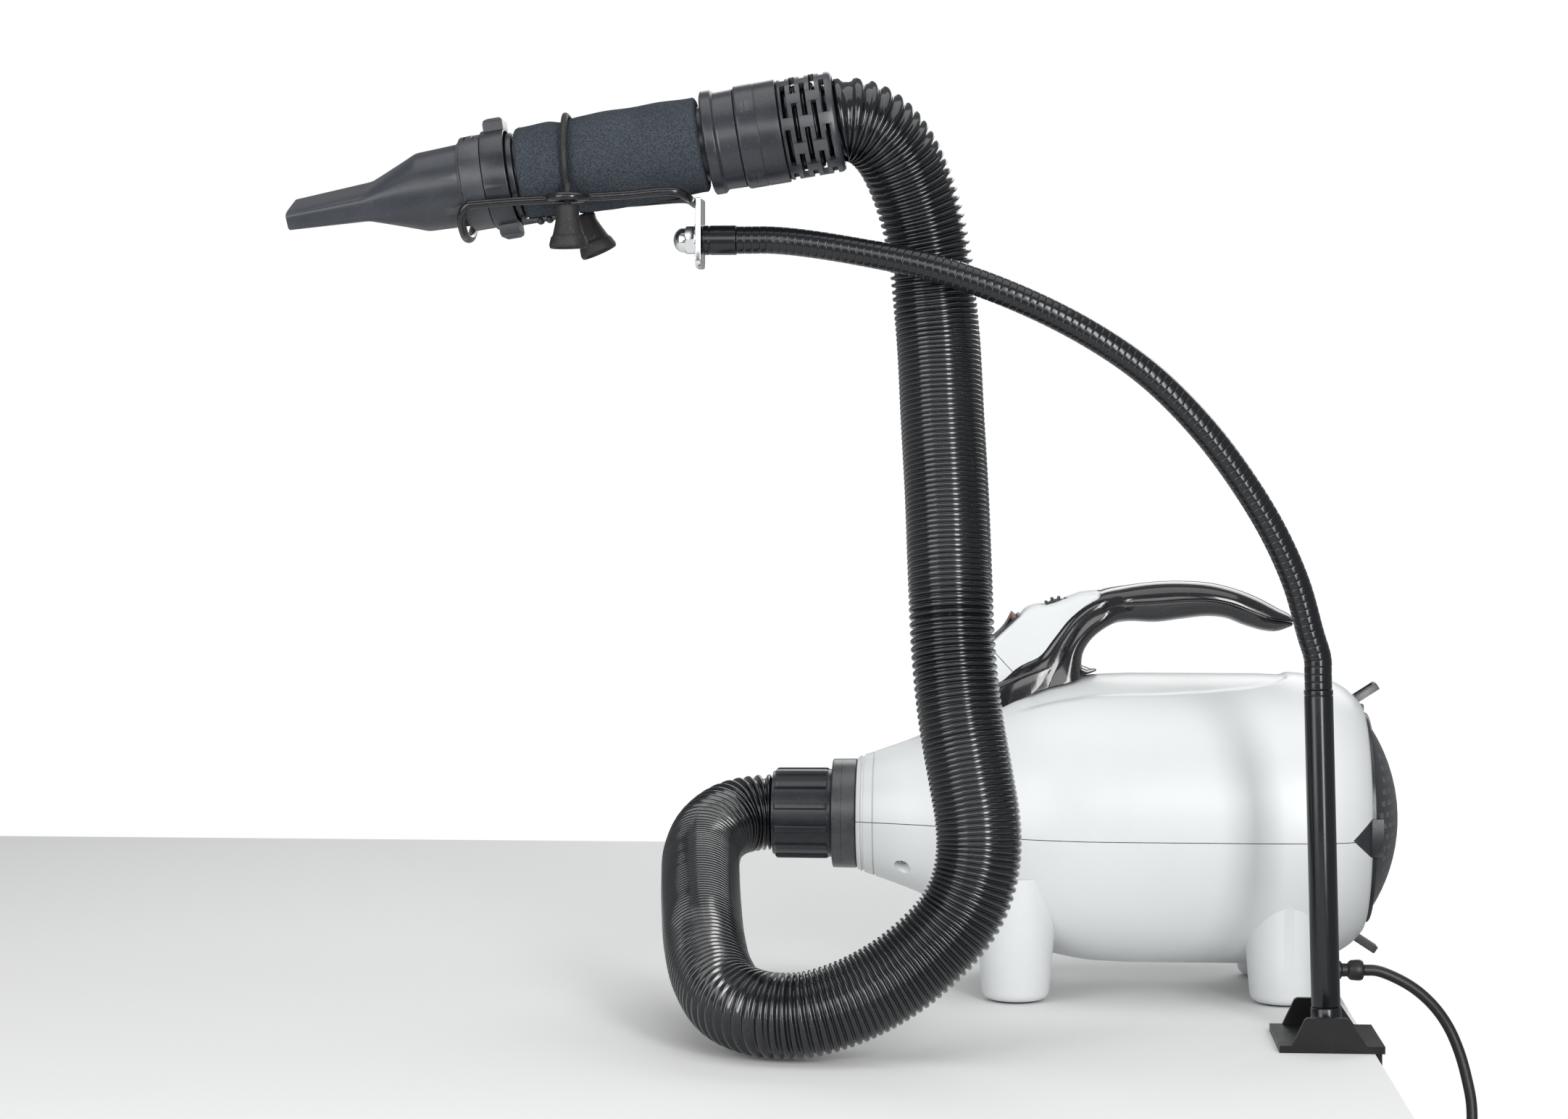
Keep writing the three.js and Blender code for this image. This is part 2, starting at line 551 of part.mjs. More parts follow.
// The space on the crown side (+1) or the finger side (-1) of the grip's parting line.
function gripSide(side) {
  const gap = (side * handle.split) / 2;
  const line = spine.map(({ x, z }) => [x - gap * 0.4, z + gap]);
  const far = side > 0
    ? [[135, 100], [0, 100], [0, 350], [350, 350], [350, 222]]
    : [[135, 100], [350, 100], [350, 222]];
  return solid(plate([...line, ...far], 60));
}

// The handle's foot: a band that lies on the casing round an oval.
function collarBand(grow) {
  const { baseFront, baseRear, baseHalf, collar } = handle;
  const middle = (baseFront + baseRear) / 2;
  const oval = new THREE.CylinderGeometry(1, 1, 2 * blower.bodyR, facets.medium).rotateX(Math.PI / 2)
    .scale((baseRear - baseFront) / 2 + grow, baseHalf + grow, 1)
    .translate(middle, 0, blower.axisZ + blower.bodyR);
  return solid(oval).intersect(filled(collar + grow)).subtract(filled(grow > 0 ? 0 : seat));
}

// A point on the switches' slope, some way up it from its middle.
const slopeAt = (along) => [
  panel.faceX + along * Math.cos(rad(panel.slope)), panel.faceZ + along * Math.sin(rad(panel.slope)),
];

// The control panel's side outline: a slope for the switches, a crest and the handle's throat.
const panelOutline = [
  [60, 140], [57.5, 158], [59, 170], [65, 180], slopeAt(-38), slopeAt(13.2), [117, 229.4], [122.5, 231.6],
  [129.5, 231.8], [134, 233.2], [145, 237.4], [150, 239.2], [163, 240.3], [163, 225], [150, 160], [140, 140],
];

// The space above (+1) or below (-1) the panel's joint, square to the slope.
function slopeSide(side) {
  const reach = [side > 0 ? seat / 2 : -4 * panel.half - seat / 2, side > 0 ? 4 * panel.half : -seat / 2];
  const space = solid(block(...reach, -3 * panel.half, 3 * panel.half, -4 * panel.half, 4 * panel.half));
  const [x, z] = slopeAt(panel.joint);
  return space.rotate([0, -panel.slope, 0]).translate([x, 0, z]);
}

// Moves a solid from the slope's own frame (x up the slope, z out of it) to its place.
function onSlope(body, y) {
  return body.rotate([0, -panel.slope, 0]).translate([panel.faceX, y, panel.faceZ]);
}

function switchHoles() {
  const { l, w, t, spacing } = switchBody;
  const [halfL, halfW] = [l / 2 + seat, w / 2 + seat];
  return united(bothSides((side) => onSlope(
    solid(block(-halfL, halfL, -halfW, halfW, -t - seat, panel.half)), (side * spacing) / 2,
  )));
}

// The slot that the speed wheel turns in, with the pocket for its board below.
function wheelSpace() {
  const reach = wheel.r + wheel.tooth + runningGap;
  const slot = solid(plate(circle(wheel.x, wheel.z, reach, facets.medium), wheel.slot / 2));
  const [halfL, halfW] = [board.l / 2 + seat, board.w / 2 + seat + 0.1];
  const pocket = block(board.x - halfL, board.x + halfL, -halfW, halfW, board.z - seat - 0.1, wheel.z - wheel.r);
  return slot.add(solid(pocket));
}

function buildHandleAndPanel() {
  const casing = filled(seat);
  const hollow = wheelSpace();
  const deck = solid(plate(panelOutline, panel.half, panel.edge))
    .subtract(united([casing, gripWhole(seat), collarBand(seat), switchHoles(), hollow]));
  piece('control_panel', largest(deck.intersect(slopeSide(1))), looks.casing);
  piece('panel_front_cover', largest(deck.intersect(slopeSide(-1))), looks.casing);
  const shell = gripWhole(0).subtract(casing).subtract(hollow);
  piece('handle_crown', largest(shell.intersect(gripSide(1))), looks.gloss);
  piece('handle_finger_side', largest(shell.intersect(gripSide(-1))), looks.gloss);
  piece('handle_collar', largest(collarBand(0).subtract(gripWhole(seat)).subtract(hollow)), looks.gloss);
}

function circle(x, z, r, sides) {
  return Array.from({ length: sides }, (_, i) => {
    const turn = (2 * Math.PI * i) / sides;
    return [x + r * Math.cos(turn), z + r * Math.sin(turn)];
  });
}

function buildSwitches() {
  const { l, w, t, lip, spacing } = switchBody;
  const [halfL, halfW] = [rocker.l / 2, rocker.w / 2];
  const { depth, proud, dip, tilt } = rocker;
  [['power', -1], ['heat', 1]].forEach(([name, side]) => {
    const shell = solid(block(-l / 2, l / 2, -w / 2, w / 2, -t, lip));
    const well = solid(block(
      -halfL - runningGap, halfL + runningGap, -halfW - seat, halfW + seat, -depth - 2, lip + 1,
    ));
    piece(`${name}_switch_body`, onSlope(shell.subtract(well), (side * spacing) / 2), looks.black);
    const up = proud + lip;
    const outline = [
      [-halfL, -lip], [-halfL, up], [0, up - dip], [halfL, up], [halfL, -lip], [3, -depth], [-3, -depth],
    ];
    const paddle = solid(plate(outline, halfW)).rotate([0, -tilt, 0]);
    piece(`${name}_rocker`, onSlope(paddle, (side * spacing) / 2), looks.black);
  });
}

function buildWheel() {
  const { x, z, r, tooth, teeth, w } = wheel;
  const outline = Array.from({ length: teeth * 4 }, (_, i) => {
    const turn = (2 * Math.PI * i) / (teeth * 4);
    const reach = i % 4 < 2 ? r + tooth : r;
    return [x + reach * Math.cos(turn), z + reach * Math.sin(turn)];
  });
  piece('speed_wheel', solid(plate(outline, w / 2)), looks.black);
  const sheet = block(
    board.x - board.l / 2, board.x + board.l / 2, -board.w / 2, board.w / 2, board.z, board.z + board.t,
  );
  piece('speed_control_board', solid(sheet), looks.board);
}

// ---------------------------------------------------------------- hose and other wound forms
// A corrugated skin along a curve: two rings a rib and, where there is a bore, its wall.
function ribbed(curve, { outR, inR, boreR, ribs, points, boreEvery }) {
  const frames = curve.computeFrenetFrames(ribs * 2, false);
  const ringAt = (i, r, corners) => {
    const centre = curve.getPointAt(i / (ribs * 2));
    for (let j = 0; j < points; j += 1) {
      const turn = (2 * Math.PI * j) / points;
      const p = centre.clone().addScaledVector(frames.normals[i], r * Math.cos(turn))
        .addScaledVector(frames.binormals[i], r * Math.sin(turn));
      corners.push(p.x, p.y, p.z);
    }
  };
  const corners = [];
  const faces = [];
  const band = (a, b) => {
    for (let j = 0; j < points; j += 1) {
      const k = (j + 1) % points;
      faces.push(a + j, a + k, b + k, a + j, b + k, b + j);
    }
  };
  let last = -1;
  for (let i = 0; i <= ribs * 2; i += 1) {
    const start = corners.length / 3;
    ringAt(i, i % 2 === 0 ? inR : outR, corners);
    if (last >= 0) band(last, start);
    last = start;
  }
  const steps = boreR ? Math.ceil(ribs / boreEvery) : 0;
  for (let i = steps; i >= 0 && boreR; i -= 1) {
    const start = corners.length / 3;
    ringAt(Math.round((i * ribs * 2) / steps), boreR, corners);
    band(last, start);
    last = start;
  }
  if (boreR) band(last, 0);
  const geometry = new THREE.BufferGeometry();
  if (!boreR) {
    [0, last].forEach((start, side) => {
      for (let j = 1; j + 1 < points; j += 1) {
        faces.push(...(side === 0 ? [start, start + j + 1, start + j] : [start, start + j, start + j + 1]));
      }
    });
  }
  geometry.setAttribute('position', new THREE.Float32BufferAttribute(corners, 3));
  geometry.setIndex(faces);
  return geometry;
}

const wandAxis = point(Math.cos(rad(wand.rise)), 0, Math.sin(rad(wand.rise)));
const wandPoint = (s) => point(wand.x, wand.y, wand.z).addScaledVector(wandAxis, s);

// The hose's route: from inside the coupling nut, down in front of the blower, along the table,
// and up behind the gooseneck into the handpiece's cage.
const hoseEnd = socket.l + socket.shoulder + 2 * seat;
const cageMouth = socket.cageEnd;
const hoseRoute = [
  point(-nut.flange - seat, 0, blower.axisZ), point(-28, 0, blower.axisZ), point(-44, -0.5, 104.4),
  point(-60, -9, 102),
  point(-71, -30, 95.5), point(-74.5, -60, 86), point(-72, -95, 75), point(-68, -130, 62),
  point(-63, -165, 49),
  point(-55, -200, 36.5), point(-42, -230, 27.5), point(-23.4, -246, 24.3), point(-4, -250, 24.6),
  point(14.5, -249, 29),
  point(32.7, -246, 36.5), point(49.9, -242, 46.7), point(66, -238, 60), point(78.7, -235, 74.5),
  point(86.5, -233, 90),
  point(90.3, -231, 108), point(90, -229, 126), point(86.4, -225, 148), point(80.6, -218, 180),
  point(76.5, -210, 215),
  point(74.4, -202, 255), point(72.4, -193, 300), point(69.6, -184, 345), point(67.6, -178.5, 381),
  point(65.5, -177, 404),
  point(62.8, -178, 429), point(58.3, -181.5, 452), point(51.5, -187.5, 473), point(42.5, -195, 490),
  point(31, -201.5, 500.5),
  wandPoint(cageMouth + 6), wandPoint(cageMouth - 4), wandPoint(cageMouth - 15), wandPoint(cageMouth - 27),
  wandPoint(hoseEnd),
];

function buildHose() {
  const curve = route(hoseRoute);
  curve.arcLengthDivisions = 600;
  const { ribR, valleyR, boreR, ribs, points, boreEvery } = hoseSize;
  piece('hose', solid(ribbed(curve, { outR: ribR, inR: valleyR, boreR, ribs, points, boreEvery })), looks.gloss);
}

// ---------------------------------------------------------------- handpiece
// A group whose X axis lies along the handpiece, away from its tip.
function onWand(turn = 0) {
  const group = new THREE.Group();
  group.position.set(wand.x, wand.y, wand.z);
  group.rotation.set(rad(turn), -rad(wand.rise), 0, 'YXZ');
  part.add(group);
  return group;
}

// A superellipse ring across the handpiece, wide in y and high in z.
function mouthRing(s, halfW, halfH, power, count = facets.large) {
  return Array.from({ length: count }, (_, i) => {
    const turn = (2 * Math.PI * i) / count;
    const [c, d] = [Math.cos(turn), Math.sin(turn)];
    return point(s, halfW * Math.sign(c) * Math.abs(c) ** power, halfH * Math.sign(d) * Math.abs(d) ** power);
  });
}

function buildNozzle() {
  const { r, collarR, wall, mouthW, mouthH, tip, flare, round, collarStart, end } = nozzle;
  const form = (grow, extra) => {
    const collar = (grow < 0 ? r : collarR) + grow;
    return solid(loft([
      mouthRing(tip - extra, mouthW / 2 + grow, mouthH / 2 + grow, 0.5),
      mouthRing(flare, mouthW / 2 + 1.6 + grow, mouthH / 2 + 2.4 + grow, 0.6),
      mouthRing((flare + round) / 2, r - 0.8 + grow, r * 0.625 + grow, 0.85),
      mouthRing(round, r - 0.4 + grow, r - 0.8 + grow, 1),
      mouthRing(collarStart, r + grow, r + grow, 1),
      mouthRing(collarStart + 1.5, collar, collar, 1),
      mouthRing(end + extra, collar, collar, 1),
    ]));
  };
  const window = solid(block(end - 10, end - 5, -5, 5, collarR - 1.2, collarR + 3));
  const cutBack = solid(pipe(ring.start - seat, end + 3, ring.boreR - runningGap, 2 * collarR));
  const body = form(0, 0).subtract(united([form(-wall, 2), window, cutBack]));
  piece('nozzle', body, looks.black, onWand(nozzle.roll));
}

function buildWandTube() {
  const { tubeR, boreR, collarR, foamR, foamEnd } = wand;
  const seatX = ring.start + ring.l + seat;
  const spigot = nozzle.end - 8;
  const tubeBody = solid(turned([
    [spigot, boreR], [spigot, nozzle.r - nozzle.wall - seat], [seatX, nozzle.r - nozzle.wall - seat],
    [seatX, collarR], [seatX + 3.3, collarR], [seatX + 3.3, tubeR], [foamEnd + 4.5, tubeR],
    [foamEnd + 4.5, boreR],
    [spigot, boreR],
  ]));
  const { r, first, pitch, count, y } = bead;
  const low = -foamR - 0.4;
  const last = first + pitch * (count - 1);
  const beads = Array.from({ length: count }, (_, i) => solid(
    new THREE.SphereGeometry(r, 6, 4).translate(first + i * pitch, y, low),
  ));
  const bar = solid(block(seatX + 0.7, last + 1.5, y - 1.4, y + 1.4, low - 0.8, low + 2.2));
  const leg = solid(block(seatX + 0.7, seatX + 3.1, y - 1.4, y + 1.4, low - 0.8, -collarR + 2.6));
  piece('wand_tube', united([tubeBody, bar, leg, ...beads]), looks.black, onWand());
}

function buildFoamGrip() {
  const { tubeR, foamR, foamStart, foamEnd } = wand;
  const pinch = grip.eyeX - wand.x;
  const bore = tubeR + seat;
  const foam = solid(turned([
    [foamStart, bore], [foamStart, foamR - 1], [foamStart + 1.5, foamR - 0.2], [pinch - 9, foamR],
    [pinch, foamR - 1.6], [pinch + 9, foamR], [foamEnd - 1.5, foamR + 0.6], [foamEnd, foamR - 0.4],
    [foamEnd, bore],
    [foamStart, bore],
  ]));
  const last = bead.first + bead.pitch * (bead.count - 1);
  const relief = block(foamStart - 1, last + 3.5, bead.y - 3.6, bead.y + 3.6, -foamR - 6, -foamR + 2.4);
  piece('foam_grip', foam.subtract(solid(relief)), looks.foam, onWand());
}

function buildLockingRing() {
  const { start, l, tabR, tabW, boreR, r } = ring;
  const end = start + l;
  const tabs = [0, Math.PI].map((turn) => solid(
    block(start + 2, end, -tabW / 2, tabW / 2, r - 3, tabR).rotateX(turn),
  ));
  const inner = solid(rod(start - 5, end + 5, boreR, facets.large));
  const body = united([solid(pipe(start, end, boreR, r)), ...tabs]).subtract(inner);
  piece('locking_ring', body, looks.black, onWand());
}

// ---------------------------------------------------------------- hose cuff
function buildSocket() {
  const { flangeR, flangeL, r, boreR, l } = socket;
  const bore = wand.tubeR + runningGap;
  piece('rear_socket', solid(turned([
    [0, bore], [0, flangeR - 1.5], [1.5, flangeR], [flangeL, flangeR], [flangeL + 2, r], [l, r + 0.6],
    [l, boreR],
    [3, boreR], [3, bore], [0, bore],
  ])), looks.black, onWand());
}

function buildSleeve() {
  const { sleeveR, l, sleeveL, shoulder } = socket;
  const inner = hoseSize.ribR + socket.hoseGap;
  const [start, end] = [l + seat, l + sleeveL];
  const neck = inner - 5;
  const sleeve = solid(turned([
    [start, neck], [start, sleeveR - 1], [start + 1.2, sleeveR], [end, sleeveR], [end, inner],
    [start + shoulder, inner], [start + shoulder, neck], [start, neck],
  ]));
  const slots = bothSides((side) => solid(
    block(l + 6, l + 16, side * 8 - 1, side * 8 + 1, sleeveR - 1.4, sleeveR + 3),
  ));
  piece('swivel_sleeve', sleeve.subtract(united(slots)), looks.black, onWand());
}

// The slotted cage that keeps the hose from kinking where it leaves the handpiece.
function buildCage() {
  const { cageR, l, sleeveL, cageEnd, hoseGap, slots, rows, slotW } = socket;
  const inner = hoseSize.ribR + hoseGap;
  const start = l + sleeveL + seat;
  const pitch = (cageEnd - start - 3) / rows;
  const cuts = [];
  for (let row = 0; row < rows; row += 1) {
    const s = start + 2.5 + row * pitch;
    for (let i = 0; i < slots; i += 1) {
      const turn = (2 * Math.PI * (i + (row % 2) * 0.5)) / slots;
      cuts.push(solid(block(s, s + pitch / 2, -slotW / 2, slotW / 2, inner - 6, cageR + 6).rotateX(turn)));
    }
  }
  const cage = solid(pipe(start, cageEnd, inner, cageR)).subtract(united(cuts));
  piece('hose_cage', largest(cage), looks.black, onWand());
}

// ---------------------------------------------------------------- cradle, bracket and gooseneck
// Height of the cradle's side wires at x, and of the handpiece's axis there.
const rightX = bracket.x - grip.wire - seat;
const wireZ = (x) => grip.leftZ + ((grip.rightZ - grip.leftZ) * (x - grip.leftX)) / (rightX - grip.leftX);
const wandZ = (x) => wand.z + (x - wand.x) * Math.tan(rad(wand.rise));

// One side of the cradle's wire, from the middle of its back to the middle of its front.
function cradleSide(sign) {
  const { wire, half, leftX, leftZ, crossZ, eyeX } = grip;
  const low = wandZ(leftX) - nozzle.collarR - runningGap - wire;
  const at = (x, y, z) => point(x, wand.y + sign * y, z);
  return [
    at(rightX, 9, crossZ), at(rightX - 0.5, half - 8, crossZ + 0.4), at(rightX - 6, half, wireZ(rightX - 6)),
    at(rightX - 34, half, wireZ(rightX - 34)), at(eyeX, half, wireZ(eyeX)),
    at(leftX + 12, half, wireZ(leftX + 12)),
    at(leftX + 2, half, leftZ - 1), at(leftX - 1, half - 2.5, low + 9), at(leftX - 1.5, 11, low + 0.4),
  ];
}

function buildCradle() {
  const { wire, half, crossZ, eyeX, eyeR, eyeOut } = grip;
  const wireSides = 5;
  const loop = solid(tube(route([...cradleSide(-1), ...cradleSide(1).reverse()]), wire, wireSides, 30));
  const eyes = bothSides((side) => [eyeX, wand.y + side * (half + eyeOut), wireZ(eyeX)]);
  const holes = eyes.map((at) => solid(
    turnedUp([[-8, 0], [-8, eyeR - wire], [8, eyeR - wire], [8, 0]], facets.small).translate(...at),
  ));
  const rings = eyes.map((at) => solid(new THREE.TorusGeometry(eyeR, wire, wireSides, facets.small).translate(...at)));
  const across = new THREE.LineCurve3(point(rightX, wand.y - 10, crossZ), point(rightX, wand.y + 10, crossZ));
  const cross = solid(tube(across, wire, wireSides, 1));
  piece('wire_cradle', united([loop.subtract(united(holes)), ...rings, cross]), looks.gloss);

  const { x, t } = bracket;
  const face = new THREE.ExtrudeGeometry(bracketShape(), { depth: t, bevelEnabled: false, curveSegments: 8 })
    .rotateX(Math.PI / 2).rotateZ(Math.PI / 2).translate(x, wand.y, 0);
  piece('bracket_plate', solid(face), looks.chrome);
}

// The bracket's face: a plate with rounded corners and a hole for the stud.
function bracketShape() {
  const { w, above, below, corner: r } = bracket;
  const half = w / 2;
  const [topZ, bottomZ] = [arm.z + above, arm.z - below];
  const shape = new THREE.Shape();
  shape.moveTo(-half, bottomZ + r);
  shape.quadraticCurveTo(-half, bottomZ, -half + r, bottomZ);
  shape.lineTo(half - r, bottomZ);
  shape.quadraticCurveTo(half, bottomZ, half, bottomZ + r);
  shape.lineTo(half, topZ);
  shape.lineTo(-half, topZ);
  shape.closePath();
  const hole = new THREE.Path();
  hole.absarc(0, arm.z, arm.studR + seat, 0, 2 * Math.PI, true);
  shape.holes.push(hole);
  return shape;
}

// The gooseneck's route, from the pole's top over to the ferrule behind the bracket.
const poleDirection = point(Math.sin(rad(lean)), 0, Math.cos(rad(lean)));
const onPole = (along) => point(clamp.poleX, clamp.y, clamp.t).addScaledVector(poleDirection, along);

function buildGooseneck() {
  const { ferruleR, ferruleL, r, valleyR, ribs, points } = flex;
  const { z, studR, poleTop } = arm;
  const { y } = wand;
  const start = bracket.x + bracket.t + seat;
  const mouth = start + ferruleL + seat;
  const curve = route([
    onPole(poleTop + seat), onPole(poleTop + 9), onPole(poleTop + 17), point(271, -175.2, 224),
    point(262.8, -178, 252),
    point(250, -182.5, 280), point(232, -188, 309), point(210, -194, 337.5), point(181, -200, 366),
    point(147.8, -205.5, 388.5), point(108, -209.5, 408), point(65.9, -211.5, 422.8), point(25, -210.5, 432),
    point(-8, -207.5, 437.4), point(mouth + 17, y, z), point(mouth + 9, y, z), point(mouth, y, z),
  ]);
  curve.arcLengthDivisions = 400;
  piece('gooseneck', solid(ribbed(curve, { outR: r, inR: valleyR, ribs, points })), looks.gloss);
  const stud = solid(rod(bracket.x - 9, start + 4, studR, facets.small));
  const end = start + ferruleL;
  const ferrule = solid(turned([
    [start, 0], [start, ferruleR - 0.8], [start + 1, ferruleR], [end - 1, ferruleR], [end, ferruleR - 0.8],
    [end, 0],
  ], facets.medium));
  piece('ferrule', ferrule.add(stud).translate([0, y, z]), looks.gloss);
  const bore = solid(rod(bracket.x - 9.6, bracket.x, studR + seat, facets.small));
  const hex = solid(turned([[-6.2, 0], [-6.2, 8.4], [-seat, 8.4], [-seat, 0]], 6));
  const domed = [[-13, 0], [-12.3, 3.4], [-10.4, 5.6], [-7.4, 6.6], [-5, 6.6], [-5, 0]];
  const cap = hex.add(solid(turned(domed, facets.small))).translate([bracket.x, 0, 0]);
  piece('acorn_nut', cap.subtract(bore).translate([0, y, z]), looks.chrome);
}

function buildPole() {
  const { tubeR } = flex;
  const { poleTop, poleFoot } = arm;
  const pole = new THREE.Group();
  pole.position.copy(onPole(0));
  pole.rotation.y = rad(lean);
  piece('pole_tube', solid(turnedUp([
    [poleFoot, 0], [poleFoot, tubeR], [poleTop, tubeR], [poleTop, 0],
  ], facets.medium)), looks.black, pole);
  piece('pole_collar', solid(turnedUp([
    [2 * seat, 0], [2 * seat, tubeR + 0.1], [poleFoot - 2, tubeR + 0.5], [poleFoot - seat, tubeR + 0.1],
    [poleFoot - seat, 0],
  ], facets.medium)), looks.black, pole);
  part.add(pole);
}

// The elastic cord over the grip, through the cradle's eyes, and the bell on each of its ends.
function buildElastic() {
  const { eyeX, half, eyeOut, wire } = grip;
  const over = wand.foamR + elastic.r + seat + 0.2;
  const eyeZ = wireZ(eyeX);
  const bellTop = eyeZ - wire - 1.2;
  const last = 12;
  const loop = Array.from({ length: last + 1 }, (_, i) => {
    const turn = rad(180 + elastic.wrap - ((180 + 2 * elastic.wrap) * i) / last);
    return point(eyeX - 4, wand.y + over * Math.cos(turn) * 1.02, wandZ(eyeX) + over * Math.sin(turn));
  });
  const ends = bothSides((side) => wand.y + side * (half + eyeOut));
  const curve = route([
    point(eyeX, ends[0], bellTop), point(eyeX, ends[0], eyeZ + 6), ...loop, point(eyeX, ends[1], eyeZ + 6),
    point(eyeX, ends[1], bellTop),
  ]);
  piece('elastic_cord', solid(tube(curve, elastic.r, 6, elastic.steps)), looks.rubber);
  const { r, bellR, l } = stop;
  const bell = [
    [0, 0], [0, r], [2, r + 0.4], [5, r], [l - 7, bellR - 2], [l - 6, bellR - 1], [l - 2, bellR],
    [l, bellR - 0.4],
    [l, 0],
  ];
  [['near_cord_stop', ends[0], stop.nearTilt], ['far_cord_stop', ends[1], stop.farTilt]].forEach(([name, y, tilt]) => {
    const holder = new THREE.Group();
    holder.position.set(eyeX, y, bellTop - seat - elastic.r * Math.sin(rad(tilt)));
    holder.rotation.y = rad(180 - tilt);
    piece(name, solid(turnedUp(bell, facets.small)), looks.rubber, holder);
    part.add(holder);
  });
}

// ---------------------------------------------------------------- table clamp
const jawZ = -clamp.throat - screw.gap - screw.padT; // the lower jaw's inner face is 1 mm below it
const padTop = -clamp.throat;

function buildClampBody() {
  const { x, y, l, w, t, throat, armX, armT, armW, slotW, jawT, jawW, jawReach, flangeH, flangeT } = clamp;
  const underside = jawZ - 1 - jawT;
  const plateBody = block(x - l / 2, armX, y - w / 2, y + w / 2, 0, t);
  const arms = [
    block(armX - armT, armX, y - armW / 2, y + armW / 2, underside, t),
    block(x - jawReach, armX, y - jawW / 2, y + jawW / 2, underside, jawZ - 1),
  ];
  const flange = plate([
    [x - 17, t - 1], [x - 9, t + flangeH], [x + 13, t + flangeH], [x + 24, t - 1],
  ], flangeT / 2);
  const flanges = bothSides((side) => flange.clone().translate(0, y + (side * (w - flangeT)) / 2, 0));
  const slot = block(armX - armT - 1, armX + 1, y - slotW / 2, y + slotW / 2, -throat, -6);
  const socketHole = turnedUp([[t, 0], [t, 3], [t + 9, 3], [t + 9, 0]], facets.small).translate(x, y, 0);
  const bore = screw.r + 0.35;
  const threadHole = turnedUp([
    [underside - 2, 0], [underside - 2, bore], [jawZ + 4, bore], [jawZ + 4, 0],
  ], facets.small).translate(screw.x, y, 0);
  const body = united([plateBody, ...arms, ...flanges].map(solid));
  piece('clamp_body', body.subtract(united([slot, socketHole, threadHole].map(solid))), looks.black);
}

function buildScrew() {
  const { x, r, padR, padT, neckR, neckL, l, knobR, knobT, scallopR } = screw;
  const { y } = clamp;
  const dimple = padTop - 2.2;
  const underPad = padTop - padT;
  const end = padTop - l;
  piece('pressure_pad', solid(turnedUp([
    [underPad - neckL, r + seat], [underPad - neckL, neckR], [underPad, padR], [padTop, padR], [padTop, 0],
    [dimple, 0], [dimple, r + seat], [underPad - neckL, r + seat],
  ], facets.small).translate(x, y, 0)), looks.black);
  piece('clamp_screw', solid(turnedUp([
    [end, 0], [end, r], [dimple - seat, r], [dimple - seat, 0],
  ], facets.small).translate(x, y, 0)), looks.steel);
  const top = end + knobT - 3;
  const base = top - knobT;
  const round = solid(turnedUp([
    [base, 0], [base, knobR - 2], [base + 2, knobR], [top - 2, knobR], [top, knobR - 3], [top, 0],
  ], facets.medium));
  const bore = turnedUp([
    [end - seat, 0], [end - seat, r + 0.1], [top + 3, r + 0.1], [top + 3, 0],
  ], facets.small);
  const scallop = turnedUp([
    [base - 2, 0], [base - 2, scallopR], [top + 2, scallopR], [top + 2, 0],
  ], facets.small);
  const scallops = Array.from({ length: 6 }, (_, i) => solid(
    scallop.clone().translate(knobR + 1.5, 0, 0).rotateZ((2 * Math.PI * i) / 6),
  ));
  piece('clamp_knob', round.subtract(united([solid(bore), ...scallops])).translate([x, y, 0]), looks.black);
}

// ---------------------------------------------------------------- power cord
function buildGland() {
  const { x, y, z, bodyR, neckR, bulbR, reach } = gland;
  const mouth = x + reach;
  const relief = turned([
    [x - 6, 0], [x - 6, neckR], [x + seat, neckR], [x + seat, bodyR], [x + 11.5, bodyR], [x + 12.5, neckR],
    [x + 15.5, neckR], [x + 17, bulbR - 0.6], [mouth - 2, bulbR], [mouth - 0.6, bulbR - 0.5],
    [mouth, bulbR - 2],
    [mouth, 0],
  ], facets.small);
  piece('cord_gland', solid(relief.translate(0, y, z)), looks.rubber);
}

const coilStart = rad(135);
const coilAngle = (turns) => coilStart + 2 * Math.PI * turns;

// The cord's middle after some turns of the coil: it spirals in and out again, layer by layer.
function coilAt(turns) {
  const { coilPitch, coilTurns, layers, coilR, coilX, coilZ } = cord;
  const perLayer = coilTurns / layers;
  const layer = Math.min(Math.floor(turns / perLayer), layers - 1);
  const inLayer = turns - layer * perLayer;
  const depth = layer % 2 === 0 ? inLayer : perLayer - inLayer;
  const near = Math.round(turns / perLayer);
  const away = turns - near * perLayer;
  const climbing = near > 0 && near < layers && Math.abs(away) < 0.25;
  const climb = climbing ? near - 0.5 + away / 0.5 : layer;
  const radius = coilR - coilPitch * depth;
  const angle = coilAngle(turns);
  const y = gland.y + coilPitch * (climb - (layers - 1) / 2);
  return point(coilX + radius * Math.cos(angle), y, coilZ + radius * Math.sin(angle));
}

